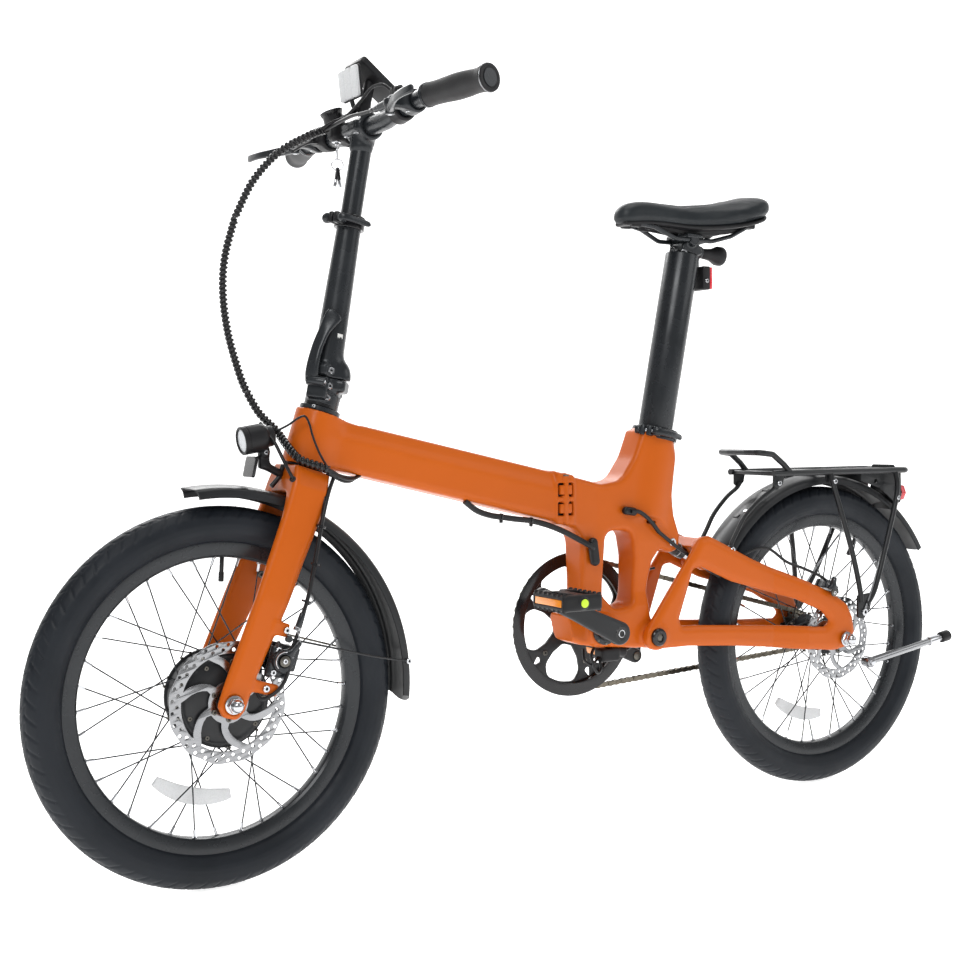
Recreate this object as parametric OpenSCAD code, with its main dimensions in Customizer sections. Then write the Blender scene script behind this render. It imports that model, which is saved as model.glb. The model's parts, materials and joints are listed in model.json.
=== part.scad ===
// Folding bicycle with a front hub motor, a hinged beam frame, a folding and
// telescoping handlepost, rear suspension, disc brakes, fenders and a rear rack.
// Units are millimetres. +X is rearward, +Y is the rider's right, +Z is up.
// The origin is on the ground midway between the two axles.

/* [Wheels] */
// Distance between the two axles
wheelbase = 1076; // [1070:1:1082]
// Outer radius of both tyres
tyre_r = 252; // [251:0.5:253]
// Radius of the tyre's round section
tyre_sec = 25.7; // [25:0.1:26]
// Spokes in each wheel
spoke_n = 36; // [36:36:36]
// Radius of a spoke
spoke_r = 1.0; // [0.9:0.05:1.2]
// Radius of the front brake rotor
front_rotor_r = 80; // [78:1:81]
// Radius of the rear brake rotor
rear_rotor_r = 70; // [68:1:70]
// Radius of the hub motor shell
motor_r = 59; // [56:1:60]
// Radius of the two wheel axles
axle_r = 6; // [6:1:6]
// Radial running clearance on every shaft
fit = 0.05; // [0.03:0.01:0.08]

/* [Frame] */
// Half width of the hinged beam
beam_hw = 28; // [27:0.5:28]
// Steering axis lean from vertical in degrees
head_ang = 17.5; // [17.5:0.5:17.5]
// Outer radius of the head tube
head_r = 31; // [30:0.5:32]
// Seat tube lean from vertical in degrees
seat_ang = 11.1; // [11.1:0.1:11.1]
// Radius of the fold hinge knuckles
knuckle_r = 8; // [7:0.5:8]

/* [Handlebar and post] */
// Handlepost lean from vertical in degrees
post_ang = 10.2; // [10.2:0.1:10.2]
// Overall handlebar width
bar_w = 580; // [576:1:584]
// Radius of the upper handlepost tube
upper_r = 14.3; // [14:0.1:14.5]
// Radius of the grips
grip_r = 16; // [15:0.5:17]

/* [Seat] */
// Radius of the seat post
seatpost_r = 27; // [26.5:0.1:27]
// Saddle cushion half width at the tail
saddle_hw = 84; // [78:1:88]

/* [Drive] */
// Crank length between bottom bracket and pedal axis
crank_len = 152; // [150:1:154]
// Crank angle above the forward direction in degrees
crank_ang = 25.2; // [20:1:30]
// Radius over the chain guard
guard_r = 113; // [111:0.5:113]
// Pitch radius of the chainring, 52 teeth
ring_r = 105.2; // [105.2:0.1:105.2]
// Pitch radius of the rear sprocket, 16 teeth
cog_r = 32.6; // [32.6:0.1:32.6]

/* [Hidden] */
$fn = 48;
fx = -wheelbase/2;
rx = wheelbase/2;
az = tyre_r;
crown = [-411.4, 548.5];
post0 = [-385.5, 629];
seat0 = [190.4, 598];
bb = [68, 298];
piv = [163, 281];
shA = [206, 425];
shE = [274, 390];
sh_len = norm(shE - shA);
sh_ang = atan2(shE[1]-shA[1], shE[0]-shA[0]);
pin = [0, -30];
orange = [0.93, 0.36, 0.10];
black = [0.10, 0.10, 0.11];
rub = [0.06, 0.06, 0.065];
steel = [0.75, 0.76, 0.78];

// ---- helpers ----
module ext_y(p, y0, y1) translate([0, y1, 0]) rotate([90, 0, 0]) linear_extrude(y1 - y0) polygon(p);
module ext_x(p, x0, x1) translate([x0, 0, 0]) rotate([90, 0, 90]) linear_extrude(x1 - x0) polygon(p);
module ext_z(p, z0, z1) translate([0, 0, z0]) linear_extrude(z1 - z0) polygon(p);
module cy(p, r, y0, y1) translate([p[0], y1, p[1]]) rotate([90, 0, 0]) cylinder(r = r, h = y1 - y0);
module rod(a, b, r) {
  d = b - a; l = norm(d);
  translate(a) rotate([0, acos(d[2]/l), atan2(d[1], d[0])]) cylinder(r = r, h = l, $fn = 24);
}
module ball(p, r) translate(p) sphere(r = r, $fn = 24);
module tube_path(pts, r) {
  for (i = [0:len(pts)-2]) rod(pts[i], pts[i+1], r);
  for (i = [1:len(pts)-2]) ball(pts[i], r + 0.12);
}
module at_fork() translate([crown[0], 0, crown[1]]) rotate([0, head_ang, 0]) children();
module at_post() translate([post0[0], 0, post0[1]]) rotate([0, post_ang, 0]) children();
module at_seat() translate([seat0[0], 0, seat0[1]]) rotate([0, seat_ang, 0]) children();
module at_shock() translate([shA[0], 0, shA[1]]) rotate([0, -sh_ang, 0]) children();
module spin(x) translate([x, 0, az]) rotate([90, 0, 0]) rotate_extrude($fn = 96) children();
module arc(x, a0, a1) translate([x, 0, az]) rotate([90, 0, 0]) rotate([0, 0, a0]) rotate_extrude(angle = a1 - a0, $fn = 96) children();
module mir() { children(); mirror([0, 1, 0]) children(); }
module rbox(a, b) translate(a) cube(b - a);

// ---- sweep of a round cable along a smooth route ----
function cat(a, b, c, d, t) = 0.5*((2*b) + (c - a)*t + (2*a - 5*b + 4*c - d)*t*t + (3*b - a - 3*c + d)*t*t*t);
function route(p, k) = [for (i = [0:len(p)-2]) for (j = [0:k-1])
   cat(p[max(i-1, 0)], p[i], p[i+1], p[min(i+2, len(p)-1)], j/k), p[len(p)-1]];
function unit(v) = v/norm(v);
function tang(q, i) = unit(q[min(i+1, len(q)-1)] - q[max(i-1, 0)]);
function ringpts(q, i, r, n) = let (t = tang(q, i), u = unit(cross(t, [0.31, 0.95, 0.05])), v = cross(t, u))
   [for (k = [0:n-1]) q[i] + r*(cos(360*k/n)*u + sin(360*k/n)*v)];
module cable(p, r, k, n) {
  q = route(p, k); m = len(q);
  pts = [for (i = [0:m-1]) each ringpts(q, i, r, n)];
  fcs = concat([[for (k = [n-1:-1:0]) k]], [[for (k = [0:n-1]) (m-1)*n + k]],
     [for (i = [0:m-2]) for (k = [0:n-1]) [i*n + k, i*n + (k+1)%n, (i+1)*n + (k+1)%n, (i+1)*n + k]]);
  polyhedron(points = pts, faces = fcs, convexity = 6);
}

// ---- rear main frame ----
rf_side = [[0.3,535.8],[70,519.5],[100,521],[120,535],[138,562],[152,588],[186,588],[216,562],[207,500],
 [211,467],[219,440],[221,425],[215,412],[203,409],[186,414],[170,399],[160,353],[166,310],[178,298],[180,281],
 [176,266],[140,264],[74,271],[34,277],[4,288],[-2,303],[6,322],[33,333],[33,451],[18,459],[0.3,461]];
rf_slot = [[79,446],[124,446],[133,436],[131,345],[117,328],[92,330],[76,352]];
module knuckles(z) { for (s = z) translate([pin[0], pin[1], s[0]]) cylinder(r = knuckle_r, h = s[1] - s[0]); }
rk = [[463,477],[492,505],[520,533]];
fk = [[477.5,491.5],[505.5,519.5]];
module rear_frame() color(orange) difference() {
  union() {
    ext_y(rf_side, -26, 26);
    at_seat() translate([0, 0, -130]) cylinder(r = 31, h = 130);
    cy(bb, 24, -34, 34);
    cy(piv, 17, -30, 30);
    mir() cy(shA, 13, 11.6, 22);
    knuckles(rk);
    for (s = rk) rbox([0.3, -30, s[0]], [12, -20, s[1]]);
    ext_y([[0.3,535.8],[12,533],[12,461],[0.3,461]], -29, 29);
    rbox([3, 25, 484], [16, 40, 512]);
  }
  ext_y(rf_slot, -40, 40);
  at_seat() translate([0, 0, -145]) cylinder(r = seatpost_r + fit, h = 160);
  at_seat() rbox([20, -1.2, -28], [40, 1.2, 1]);
  cy(bb, 17.5, -40, 40);
  cy(piv, 8.02, -60, 60);
  cy(shA, 4.02, -60, 60);
  cy(shA, 13.5, -11.6, 11.6);
  at_shock() rbox([-4, -11.6, -12], [70, 11.6, 14]);
  for (s = fk) translate([pin[0], pin[1], s[0] - 0.5]) cylinder(r = knuckle_r + 0.6, h = s[1] - s[0] + 1);
  translate([pin[0], pin[1], 400]) cylinder(r = 4.02, h = 200);
  // hollow casting behind the hinge, open into the seat tube
  ext_y([[6,528],[70,513],[104,514],[128,532],[150,560],[178,560],[165,500],[150,462],[60,466],[6,474]], -21, 21);
}
module frame_pins() color(steel) {
  translate([pin[0], pin[1], 462]) cylinder(r = 4, h = 72);
  difference() { cy(piv, 8, -50, 44.2); for (s = [-50, 39.2]) cy(piv, 3, s - 1, s + 6, $fn = 6); }
  cy(shA, 4, -25, 25);
}
module bb_cups() color(black) mir() difference() {
  union() { cy(bb, 17.45, 20, 34.1); cy(bb, 22, 34.1, 38.5); }
  cy(bb, 8.5 + fit + 0.02, 10, 50);
}
module seat_collar() color(black) at_seat() difference() {
  union() {
    translate([0, 0, -13]) cylinder(r = 36, h = 18);
    rotate([0, 0, 215]) rbox([32, -9, -12], [50, 9, 4]);
  }
  translate([0, 0, -20]) cylinder(r = 31.1, h = 20.3);
  translate([0, 0, -20]) cylinder(r = seatpost_r + 0.1, h = 60);
  rotate([0, 0, 215]) rbox([26, -1.5, -20], [60, 1.5, 20]);
}
module seat_lever() color(black) at_seat() rotate([0, 0, 215]) {
  translate([42, 16.5, -10]) cylinder(r = 6, h = 12);
  ext_z([[42,10.5],[48,14],[48,22],[22,41],[-10,45],[-10,40.5],[16,36.8],[38,14]], -8, 0);
}

// ---- front half of the frame ----
fb_side = [[-400,616],[-395,622],[-366,617.5],[-0.3,535.9],[-0.3,461],[-343,541.5],[-408,556]];
module front_beam() color(orange) difference() {
  union() {
    ext_y(fb_side, -beam_hw, beam_hw);
    at_fork() translate([0, 0, 5]) cylinder(r = head_r, h = 75);
    knuckles(fk);
    for (s = fk) rbox([-12, -30, s[0]], [-0.3, -20, s[1]]);
    ext_y([[-0.3,535.9],[-12,538.6],[-12,464],[-0.3,461]], -29, 29);
    rbox([-34, 28, 482], [-22, 38, 514]);
  }
  at_fork() translate([0, 0, -20]) cylinder(r = 24.1, h = 130);
  for (s = rk) translate([pin[0], pin[1], s[0] - 0.5]) cylinder(r = knuckle_r + 0.6, h = s[1] - s[0] + 1);
  translate([pin[0], pin[1], 400]) cylinder(r = 4 + fit, h = 200);
  ext_y([[-350,610],[-8,531],[-8,470],[-335,546]], -23.5, 23.5);
  ext_y([[-300,570],[-286,570],[-286,500],[-300,500]], -8, 8);
  rbox([-28.5, 31, 470], [-27.5, 32, 471]);
}
module headset() color(black) at_fork() {
  difference() { union() { translate([0,0,2]) cylinder(r = 24, h = 12); translate([0,0,2]) cylinder(r = 28, h = 2.8); } translate([0,0,-5]) cylinder(r = 14.3 + fit, h = 30); }
  difference() { union() { translate([0,0,70]) cylinder(r = 24, h = 12); translate([0,0,80.2]) cylinder(r = 28, h = 7.3); } translate([0,0,60]) cylinder(r = 14.3 + fit, h = 40); }
}
module frame_latch() color(black) difference() {
  union() {
    translate([-28, 44.8, 490]) cylinder(r = 6, h = 16);
    ext_z([[-33,41],[-33,48],[-110,46],[-124,41],[-124,36],[-108,39]], 492, 504);
  }
}

// ---- fork group ----
fork_side = [[-26,1.4],[24,1.4],[23,-60],[10,-170],[-10,-285],[-14,-330],[-22,-338],[-38,-338],[-47,-328],[-48,-300],[-36,-170],[-27,-60]];
fork_front = [[-38,1.4],[38,1.4],[47,-22],[60,-180],[64,-290],[64,-340],[50.5,-340],[50.5,-300],[46,-180],[36,-70],[28,-38],[-28,-38],[-36,-70],[-46,-180],[-50.5,-300],[-50.5,-340],[-64,-340],[-64,-290],[-60,-180],[-47,-22]];
module fork() color(orange) at_fork() difference() {
  union() {
    intersection() { ext_y(fork_side, -80, 80); ext_x(fork_front, -80, 60); }
    cylinder(r = 14.3, h = 118);
    // caliper tabs behind the left leg
    ext_y([[-20,-300],[22,-296],[24,-284],[-6,-282]], -62, -52);
    ext_y([[-8,-222],[16,-212],[14,-202],[-8,-206]], -62, -52);
  }
  translate([-31.6, 0, -320.8]) rotate([90, 0, 0]) cylinder(r = axle_r + 0.2, h = 200, center = true);
  translate([0, 0, -37]) cylinder(r = 10, h = 170);
}
module front_fender() color(black) {
  arc(fx, -7, 99) polygon([[262,-30],[272,-28.5],[276,-20],[278,0],[276,20],[272,28.5],[262,30],[263.5,31],[273.5,30],[278,21],[280,0],[278,-21],[273.5,-30],[263.5,-31]]);
  for (s = [-1, 1]) rod([fx + 279*cos(6), s*31, az + 268*sin(6)], [-467, s*66.5, 330], 1.5);
}
module headlight() color(black) {
  difference() {
    union() {
      rod([-500, 0, 588], [-464, 0, 594], 19);
      rod([-464, 0, 594], [-456, 0, 595.5], 14);
      rbox([-474, -3, 552], [-462, 3, 582]);
      rod([-468, 0, 556], [-445, 0, 545], 5);
      ext_y([[-492,540],[-488,540],[-482,568],[-486,568]], -18, 18);
      rod([-486, 0, 566], [-468, 0, 572], 2.5);
    }
    rod([-501, 0, 587.8], [-492, 0, 589.3], 16);
  }
  rod([-499.5, 0, 588.1], [-493, 0, 589.15], 15.5);
}
module front_caliper() color(black) at_fork() difference() {
  union() {
    rbox([2, -62, -276], [34, -49, -230]);
    rbox([2, -40, -266], [34, -34, -230]);
    rbox([30, -62, -264], [40, -34, -230]);
    translate([18, -66, -252]) rotate([90, 0, 0]) cylinder(r = 15, h = 7, center = true);
    rod([20, -71, -240], [38, -71, -215], 3.5);
  }
  rbox([-5, -80, -236.5], [8, -30, -222]);
}
module nuts(x, y) mir() translate([x, y, az]) rotate([-90, 0, 0]) { cylinder(r = 12, h = 2); cylinder(r = 9.8, h = 10, $fn = 6); translate([0,0,9]) intersection() { sphere(r = 8.2, $fn = 32); cylinder(r = 9, h = 9); } }
module front_axle() color(steel) { cy([fx, az], axle_r, -74, 74); nuts(fx, 64.6); }
module stem_base() color(black) {
  at_post() rotate([0, 0, 45]) translate([32, 0, 44.4]) rotate([90, 0, 0]) cylinder(r = 3, h = 33, center = true);
  difference() {
  union() {
    at_post() rotate([0, 0, 45]) mir() translate([32, 12.1, 44.4]) rotate([90, 0, 0]) cylinder(r = 8, h = 9.8, center = true);
    at_fork() translate([0, 0, 88.2]) cylinder(r = 23, h = 22);
    at_post() translate([0, 0, 10]) cylinder(r = 21, h = 34.4);
    at_post() rotate([0, 0, 45]) rbox([8, -17, 26], [35, 17, 44.4]);
    at_post() rotate([0, 0, 225]) rbox([12, -12, 26], [25.2, 12, 44.4]);
  }
  at_fork() translate([0, 0, 60]) cylinder(r = 14.35, h = 58.5);
  at_post() rotate([0, 0, 45]) translate([32, 0, 44.4]) rotate([90, 0, 0]) cylinder(r = 8.6, h = 14, center = true);
  }
}

// ---- wheels ----
module tyre2d(rr) {
  difference() { translate([226.3, 0]) circle(r = tyre_sec); translate([226.3, 0]) circle(r = tyre_sec - 4.2); translate([150, -40]) square([59.4, 80]); }
  for (s = [-1, 1]) polygon([[209.4, s*19],[209.4, s*10.9],[203, s*10.9],[203, s*7],[209, s*8.5],[213, s*13.5],[214, s*17]]);
}
module rim2d() polygon([[209,-12.6],[209,-11.1],[202.6,-11.1],[198,-5],[198,5],[202.6,11.1],[209,11.1],[209,12.6],[197,12.6],[185,8.5],[184.3,6],[184.3,-6],[185,-8.5],[197,-12.6]]);
module lacing(x, hub_r, off, fl, fr) translate([x, 0, az]) rotate([90, 0, 0])
  for (k = [0:spoke_n-1]) {
    side = (k % 2) == 0 ? 1 : -1; y = (k % 2) == 0 ? fl : fr;
    lead = (floor(k/2) % 2) == 0 ? 1 : -1;
    a = 360*k/spoke_n; b = a + lead*off;
    p0 = [hub_r*cos(b), hub_r*sin(b), side*(y + (lead > 0 ? 1.6 : -1.6))];
    p1 = [183.9*cos(a), 183.9*sin(a), side*3];
    rod(p0, p1, spoke_r);
    rod(p1 + 0.065*(p0 - p1), p1, 1.9);
  }
module front_tyre() color(rub) spin(fx) tyre2d(tyre_r);
module rear_tyre() color(rub) spin(rx) tyre2d(tyre_r);
module front_rim() color(black) { spin(fx) rim2d(); lacing(fx, 63.5, 36, 28, 28); }
module rear_rim() color(black) { spin(rx) rim2d(); lacing(rx, 33.5, 60, 27, 25); }
module hub_motor() color(black) spin(fx) polygon([[6+fit,-46],[14,-46],[16,-40],[40,-39],[54,-36],[motor_r,-31],[motor_r,-30],[61.5,-30],[61.5,-26],[motor_r,-26],[motor_r,26],[61.5,26],[61.5,30],[motor_r,30],[motor_r,31],[54,36],[40,39],[16,42],[14,48],[6+fit,48]]);
module rotor(x, y, r, n, arms) translate([x, y, az]) rotate([90, 0, 0]) linear_extrude(1.8) difference() {
  union() {
    difference() {
      polygon([for (i = [0:143]) let (a = i*2.5) (r - 0.8 + 0.8*cos(12*a))*[cos(a), sin(a)]]);
      circle(r = r - 17);
      for (i = [0:n-1]) rotate(360*i/n) { translate([r - 5, 0]) circle(r = 2.2, $fn = 16); rotate(180/n) translate([r - 12, 0]) circle(r = 2.2, $fn = 16); }
    }
    difference() { circle(r = 27); circle(r = 16.2); }
    for (i = [0:arms-1]) rotate(360*i/arms) polygon([[22,-4],[24,6],[r-19,18],[r-15,17],[r-15,9],[r-22,9]]);
  }
  for (i = [0:5]) rotate(60*i + 30) translate([22, 0]) circle(r = 2.6, $fn = 16);
}
module front_rotor() color(steel) rotor(fx, -43.2, front_rotor_r, 24, 6);
module rear_rotor() color(steel) rotor(rx, -50.6, rear_rotor_r, 20, 6);
module rear_hub() color(black) spin(rx) polygon([[6+fit,54],[14,54],[16,53],[16,48],[25,48],[25,44],[19,42],[19,30],[31,29],[31,25],[17,22],[17,-20],[31,-23],[31,-27],[20,-29],[20,-44],[6+fit,-44]]);
module rear_axle() color(steel) { cy([rx, az], axle_r, -80, 80); nuts(rx, 72.2); cy(shE, 4, -24, 24); }

// ---- handlepost ----
module handlepost() color(black) at_post() difference() {
  union() {
    translate([0, 0, 45]) cylinder(r1 = 20.5, r2 = 16.6, h = 209);
    rotate([0, 0, 45]) rbox([6, -16, 54], [34, 16, 66]);
    rotate([0, 0, 45]) rbox([10, -6.4, 46], [31, 6.4, 60]);
    rotate([0, 0, 45]) translate([32, 0, 44.4]) rotate([90, 0, 0]) cylinder(r = 8, h = 12.8, center = true);
    rotate([0, 0, 225]) rbox([12, -9, 46], [26, 9, 58]);
  }
  translate([0, 0, 69]) cylinder(r = upper_r + fit, h = 240);
  translate([0, 0, 30]) cylinder(r = 11, h = 60);
  rotate([0, 0, 45]) translate([32, 0, 44.4]) rotate([90, 0, 0]) cylinder(r = 3.05, h = 80, center = true);
}
module post_collar() color(black) at_post() difference() {
  union() {
    translate([0, 0, 252]) cylinder(r = 21, h = 18);
    rotate([0, 0, 200]) rbox([18, -9, 253], [34, 9, 269]);
  }
  translate([0, 0, 250]) cylinder(r = 16.8, h = 4.3);
  translate([0, 0, 250]) cylinder(r = upper_r + 0.09, h = 40);
  rotate([0, 0, 200]) rbox([10, -1, 250], [40, 1, 272]);
}
module hinge_lever() color(black) at_post() rotate([0, 0, 225]) difference() {
  union() {
    translate([32, 0, 36]) rotate([90, 0, 0]) cylinder(r = 6, h = 26, center = true);
    ext_y([[27,34],[38,34],[38,56],[31,90],[28,118],[24,118],[23.5,92],[28.5,60]], -12, 12);
  }
  rbox([20, -12.6, 20], [29, 12.6, 58.6]);
}
module collar_lever() color(black) at_post() rotate([0, 0, 200]) {
  translate([28, 15, 255]) cylinder(r = 5, h = 12);
  ext_z([[28,10],[33,13],[34,20],[10,28],[-14,30],[-14,26],[8,22.6],[24,14]], 257, 265);
}
module upper_post() color(black) difference() {
  union() {
    at_post() translate([0, 0, 165]) cylinder(r = upper_r, h = 215);
    translate([-316.3, 0, 1016.5]) rotate([90, 0, 0]) cylinder(r = 18, h = 48, center = true);
    at_post() translate([0, 0, 372]) cylinder(r = 17, h = 12);
  }
  translate([-316.3, 0, 1016.5]) rotate([90, 0, 0]) cylinder(r = 12.75, h = 80, center = true);
  at_post() translate([0, 0, 150]) cylinder(r = 12.3, h = 215);
}
function barp(s) = [[-316.3, 0, 1016.5],[-316.3, s*70, 1016.5],[-319, s*165, 1025.6],[-319, s*(bar_w/2 - 112), 1026],[-290, s*bar_w/2, 1029.4]];
module handlebar() color(black) { rod([-316.3, -72, 1016.5], [-316.3, 72, 1016.5], 12.7); for (s = [-1, 1]) { p = barp(s); rod(p[1], p[2], 11.1); rod(p[2], p[3], 11.1); rod(p[3], p[4] + 0.02*(p[3]-p[4]), 11.1); ball(p[2], 11.1); ball(p[3], 11.1); ball(p[1], 11.1); } }
module grip(s) { p = barp(s); difference() { rod(p[3] + 0.03*(p[4]-p[3]), p[4], grip_r); rod(p[3], p[4] + 0.01*(p[3]-p[4]), 11.25); } }
module left_grip() color(rub) grip(-1);
module right_grip() color(rub) grip(1);
module display() color(black) {
  translate([-301, 2, 1084]) rotate([0, 38, 0]) cube([74, 56, 9], center = true);
  rod([-306, 4, 1082], [-315.5, 4, 1045], 6);
  difference() { rod([-316.3, -4, 1016.5], [-316.3, 12, 1016.5], 1); rod([-316.3, -4.5, 1016.5], [-316.3, 13, 1016.5], 2); }
  translate([-337, 0, 1076]) rotate([0, -6, 0]) cube([8, 58, 44], center = true);
  rod([-335, 2, 1066], [-316, 2, 1052], 3);
}
module clamp_ring(c, y, w, r) translate([c[0], y, c[1]]) rotate([90, 0, 0]) difference() { cylinder(r = r, h = w, center = true); cylinder(r = 11.4, h = w + 2, center = true); }
module bar_controls() color(black) for (s = [-1, 1]) {
  c = [-318.5, 1023.9];
  // brake lever perch, split clamp and cable stop
  translate([0, s*148, 0]) difference() {
    union() { rod([-318.5, -9, 1023.9], [-318.5, 9, 1023.9], 15.5); rbox([-352, -8, 1014], [-328, 8, 1030]); rod([-350, s*-6, 1022], [-352, s*-30, 1020], 4.5); }
    rod([-318.3, -s*30, 1021.3], [-318.9, s*30, 1026.6], 11.5);
  }
  // switch pods inboard of the perch
  translate([0, s*112, 0]) difference() {
    union() { rod([-317.6, -12, 1020.5], [-317.6, 12, 1020.5], 16.5); if (s == -1) rbox([-330, -12, 1028], [-306, 12, 1050]); else rbox([-342, -10, 1012], [-322, 10, 1030]); }
    rod([-316.9, -s*30, 1017.6], [-318.2, s*30, 1023.3], 11.5);
  }
  if (s == 1) difference() {
    union() { rod([-316.3, 30, 1016.5], [-316.3, 52, 1016.5], 17.5); rbox([-349, 32, 1007], [-326, 50, 1027]); }
    rod([-316.3, 20, 1016.5], [-316.3, 62, 1016.5], 12.85);
  }
}
module key() color(steel) { rod([-339, 40, 1000], [-339, 40, 1006], 3); rod([-339, 40, 1000], [-338, 40, 972], 1.2); ext_y([[-342,972],[-334,972],[-335,950],[-341,950]], 38.5, 41.5); }
module brake_lever(s) ext_z([[-362, s*140],[-346, s*140],[-350, s*158],[-366, s*190],[-376, s*225],[-376, s*262],[-385, s*264],[-386, s*222],[-374, s*184],[-364, s*156]], 1009.5, 1013.5);
module left_brake_lever() color(black) { brake_lever(-1); translate([-354, -149, 1004]) cylinder(r = 6, h = 9.6); }
module right_brake_lever() color(black) { brake_lever(1); translate([-354, 149, 1004]) cylinder(r = 6, h = 9.6); }

// ---- seat ----
module seat_post() color(black) at_seat() difference() {
  translate([0, 0, -95]) cylinder(r = seatpost_r, h = 380);
  translate([0, 0, -100]) cylinder(r = seatpost_r - 3, h = 378);
}
module seat_clamp() color(black) {
  ext_y([[232,882.4],[262,876.6],[268,884],[262,896],[234,896]], -18, 18);
  difference() { ext_y([[232,896.2],[264,896.2],[262,910],[236,910]], -26, 26); mir() rod([200, 22, 900], [300, 22, 900], 3.6); }
  rod([268, 0, 884], [300, 0, 882], 7);
  rod([273, 0, 884.2], [297, 0, 882.4], 13);
  ext_y([[271.5,852],[276,851],[277.5,880],[273.5,880]], -4, 4);
  ext_y([[269,830],[288,826],[291,852],[271,856]], -14, 14);
}
module saddle_rails() color(steel) mir() tube_path([[140, 12, 919], [176, 18, 916], [212, 22, 900], [286, 22, 900], [318, 32, 908], [346, 42, 922]], 3.5);
sad_top = [[115,0],[116,-12],[124,-20],[160,-24],[210,-32],[250,-48],[290,-70],[330,-saddle_hw],[356,-saddle_hw+4],[372,-saddle_hw+22],[378,-34],[379,0],[378,34],[372,saddle_hw-22],[356,saddle_hw-4],[330,saddle_hw],[290,70],[250,48],[210,32],[160,24],[124,20],[116,12]];
module saddle_shell() color(black) difference() {
  intersection() {
    ext_y([[120,921],[150,924],[210,920],[270,917],[330,922],[366,934],[366,942],[330,931],[270,926],[210,929],[150,931],[120,928]], -100, 100);
    ext_z(sad_top, 800, 1100);
  }
  mir() tube_path([[140, 12, 919], [176, 18, 916], [212, 22, 900], [286, 22, 900], [318, 32, 908], [346, 42, 922]], 3.8);
}
module saddle_cushion() color(black) intersection() {
  ext_y([[115,916],[119,914],[119.5,928.6],[150,931.6],[210,929.6],[270,926.6],[330,931.6],[366.6,942.6],[367,930],[376,940],[380,958],[372,972],[358,976],[336,971],[300,960],[250,953],[200,955],[160,957],[130,952],[116,938]], -100, 100);
  ext_z(sad_top, 800, 1100);
}

// ---- swingarm group ----
sw_side = [[163,262],[225,262],[307,256],[436,242],[520,234],[548,240],[558,256],[557,286],[547,307],[512,331],[444,358],[357,392],[282,426],[268,432],[252,430],[240,420],[150,297],[144,281],[150,268]];
sw_win = [[208,306],[214,297],[232,294],[500,276],[507,284],[492,299],[443,322],[313,358],[256,382],[238,382]];
sw_out = [[140,44.4],[190,44.6],[400,47],[462,64],[560,71.5],[600,71.5],[600,60.5],[560,60.5],[478,57],[410,37.5],[260,34],[190,31],[140,31]];
module swingarm() color(orange) difference() {
  union() {
    intersection() {
      ext_y(sw_side, -90, 90);
      mir() ext_z(sw_out, 200, 460);
    }
    mir() cy(piv, 19, 31, 44.4);
    rbox([198, -36, 266], [226, 36, 288]);
    ext_y([[549,246],[562,240],[590,222],[590,200],[566,198],[538,230]], -75.4, -62);
    ext_y([[240,417],[256,428],[282,422],[286,404],[262,403]], -36, 36);
    mir() ext_y([[262,406],[262,388],[266,380],[278,378],[286,388],[288,408]], 11.8, 22);
  }
  ext_y(sw_win, -90, 90);
  cy(piv, 8 + fit, -60, 60);
  cy(shE, 4.02, -60, 60);
  cy([rx, az], axle_r + 0.3, -90, 90);
  cy(shE, 12.6, -11.8, 11.8);
  at_shock() rbox([-10, -11.8, -12.4], [sh_len + 2, 11.8, 12.4]);
}
module rear_fender() color(black) {
  arc(rx, 29, 150) polygon([[256,-30],[265.5,-28.5],[269.5,-20],[271.5,0],[269.5,20],[265.5,28.5],[256,30],[257.5,31],[267,30],[271.5,21],[273.5,0],[271.5,-21],[267,-30],[257.5,-31]]);
}
module rear_rack() color(black) {
  tube_path([[386, 53, 530], [690, 53, 530], [704, 42, 530.5], [707, 20, 531], [707, -20, 531], [704, -42, 530.5], [690, -53, 530], [386, -53, 530]], 5);
  tube_path([[431, 53, 528], [408, 51, 548], [386, 42, 556], [380, 20, 556.5], [380, -20, 556.5], [386, -42, 556], [408, -51, 548], [431, -53, 528]], 4.8);
  rod([392, -53, 530], [392, 53, 530], 4.5);
  mir() {
    // struts down to the dropouts
    tube_path([[520, 53, 530], [524, 58, 500], [566, 76, 338], [570, 77.5, 306]], 4.5);
    tube_path([[672, 53, 530], [672, 58, 470], [600, 76, 330], [574, 77.5, 306]], 4.5);
    rbox([560, 72.4, 286], [584, 78, 316]);
  }
  for (y = [-26, 0, 26]) rod([391, y, 530.4], [704, y, 530.7], 3.5);
  rod([520, -53, 530], [520, 53, 530], 4);
  rod([660, -53, 530], [660, 53, 530], 4);
  // plates that carry the fender and the tail light
  ext_y([[384,528],[400,528],[398,505],[388,500]], -4, 4);
  ext_y([[655,528],[708,528],[712,500],[708,474],[698,478],[668,505]], -3, 3);
}
module tail_light() color([0.7, 0.05, 0.05]) ext_x([[-38,476],[38,476],[44,490],[38,504],[-38,504],[-44,490]], 712.4, 736);
module rear_caliper() color(black) difference() {
  union() {
    translate([505, 0, 330]) rotate([0, -60, 0]) { rbox([-18, -68, -14], [18, -54, 14]); rbox([-18, -47, -14], [18, -40, 14]); }
    translate([505, 0, 330]) rotate([0, -60, 0]) rbox([0, -68, -14], [18, -40, 14]);
  }
  ext_y([[400,300],[600,300],[547,307.6],[512,331.8],[444,358.8],[400,376]], -90, -20);
  rbox([558, -100, 280], [600, -50, 340]);
}
module kickstand() color(steel) {
  cy([577, 212], 9, -93, -75.8);
  rod([577, -84.5, 212], [760, -84.5, 240], 6);
  rod([752, -84.5, 238.8], [771, -84.5, 241.7], 9.5);
}

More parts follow.
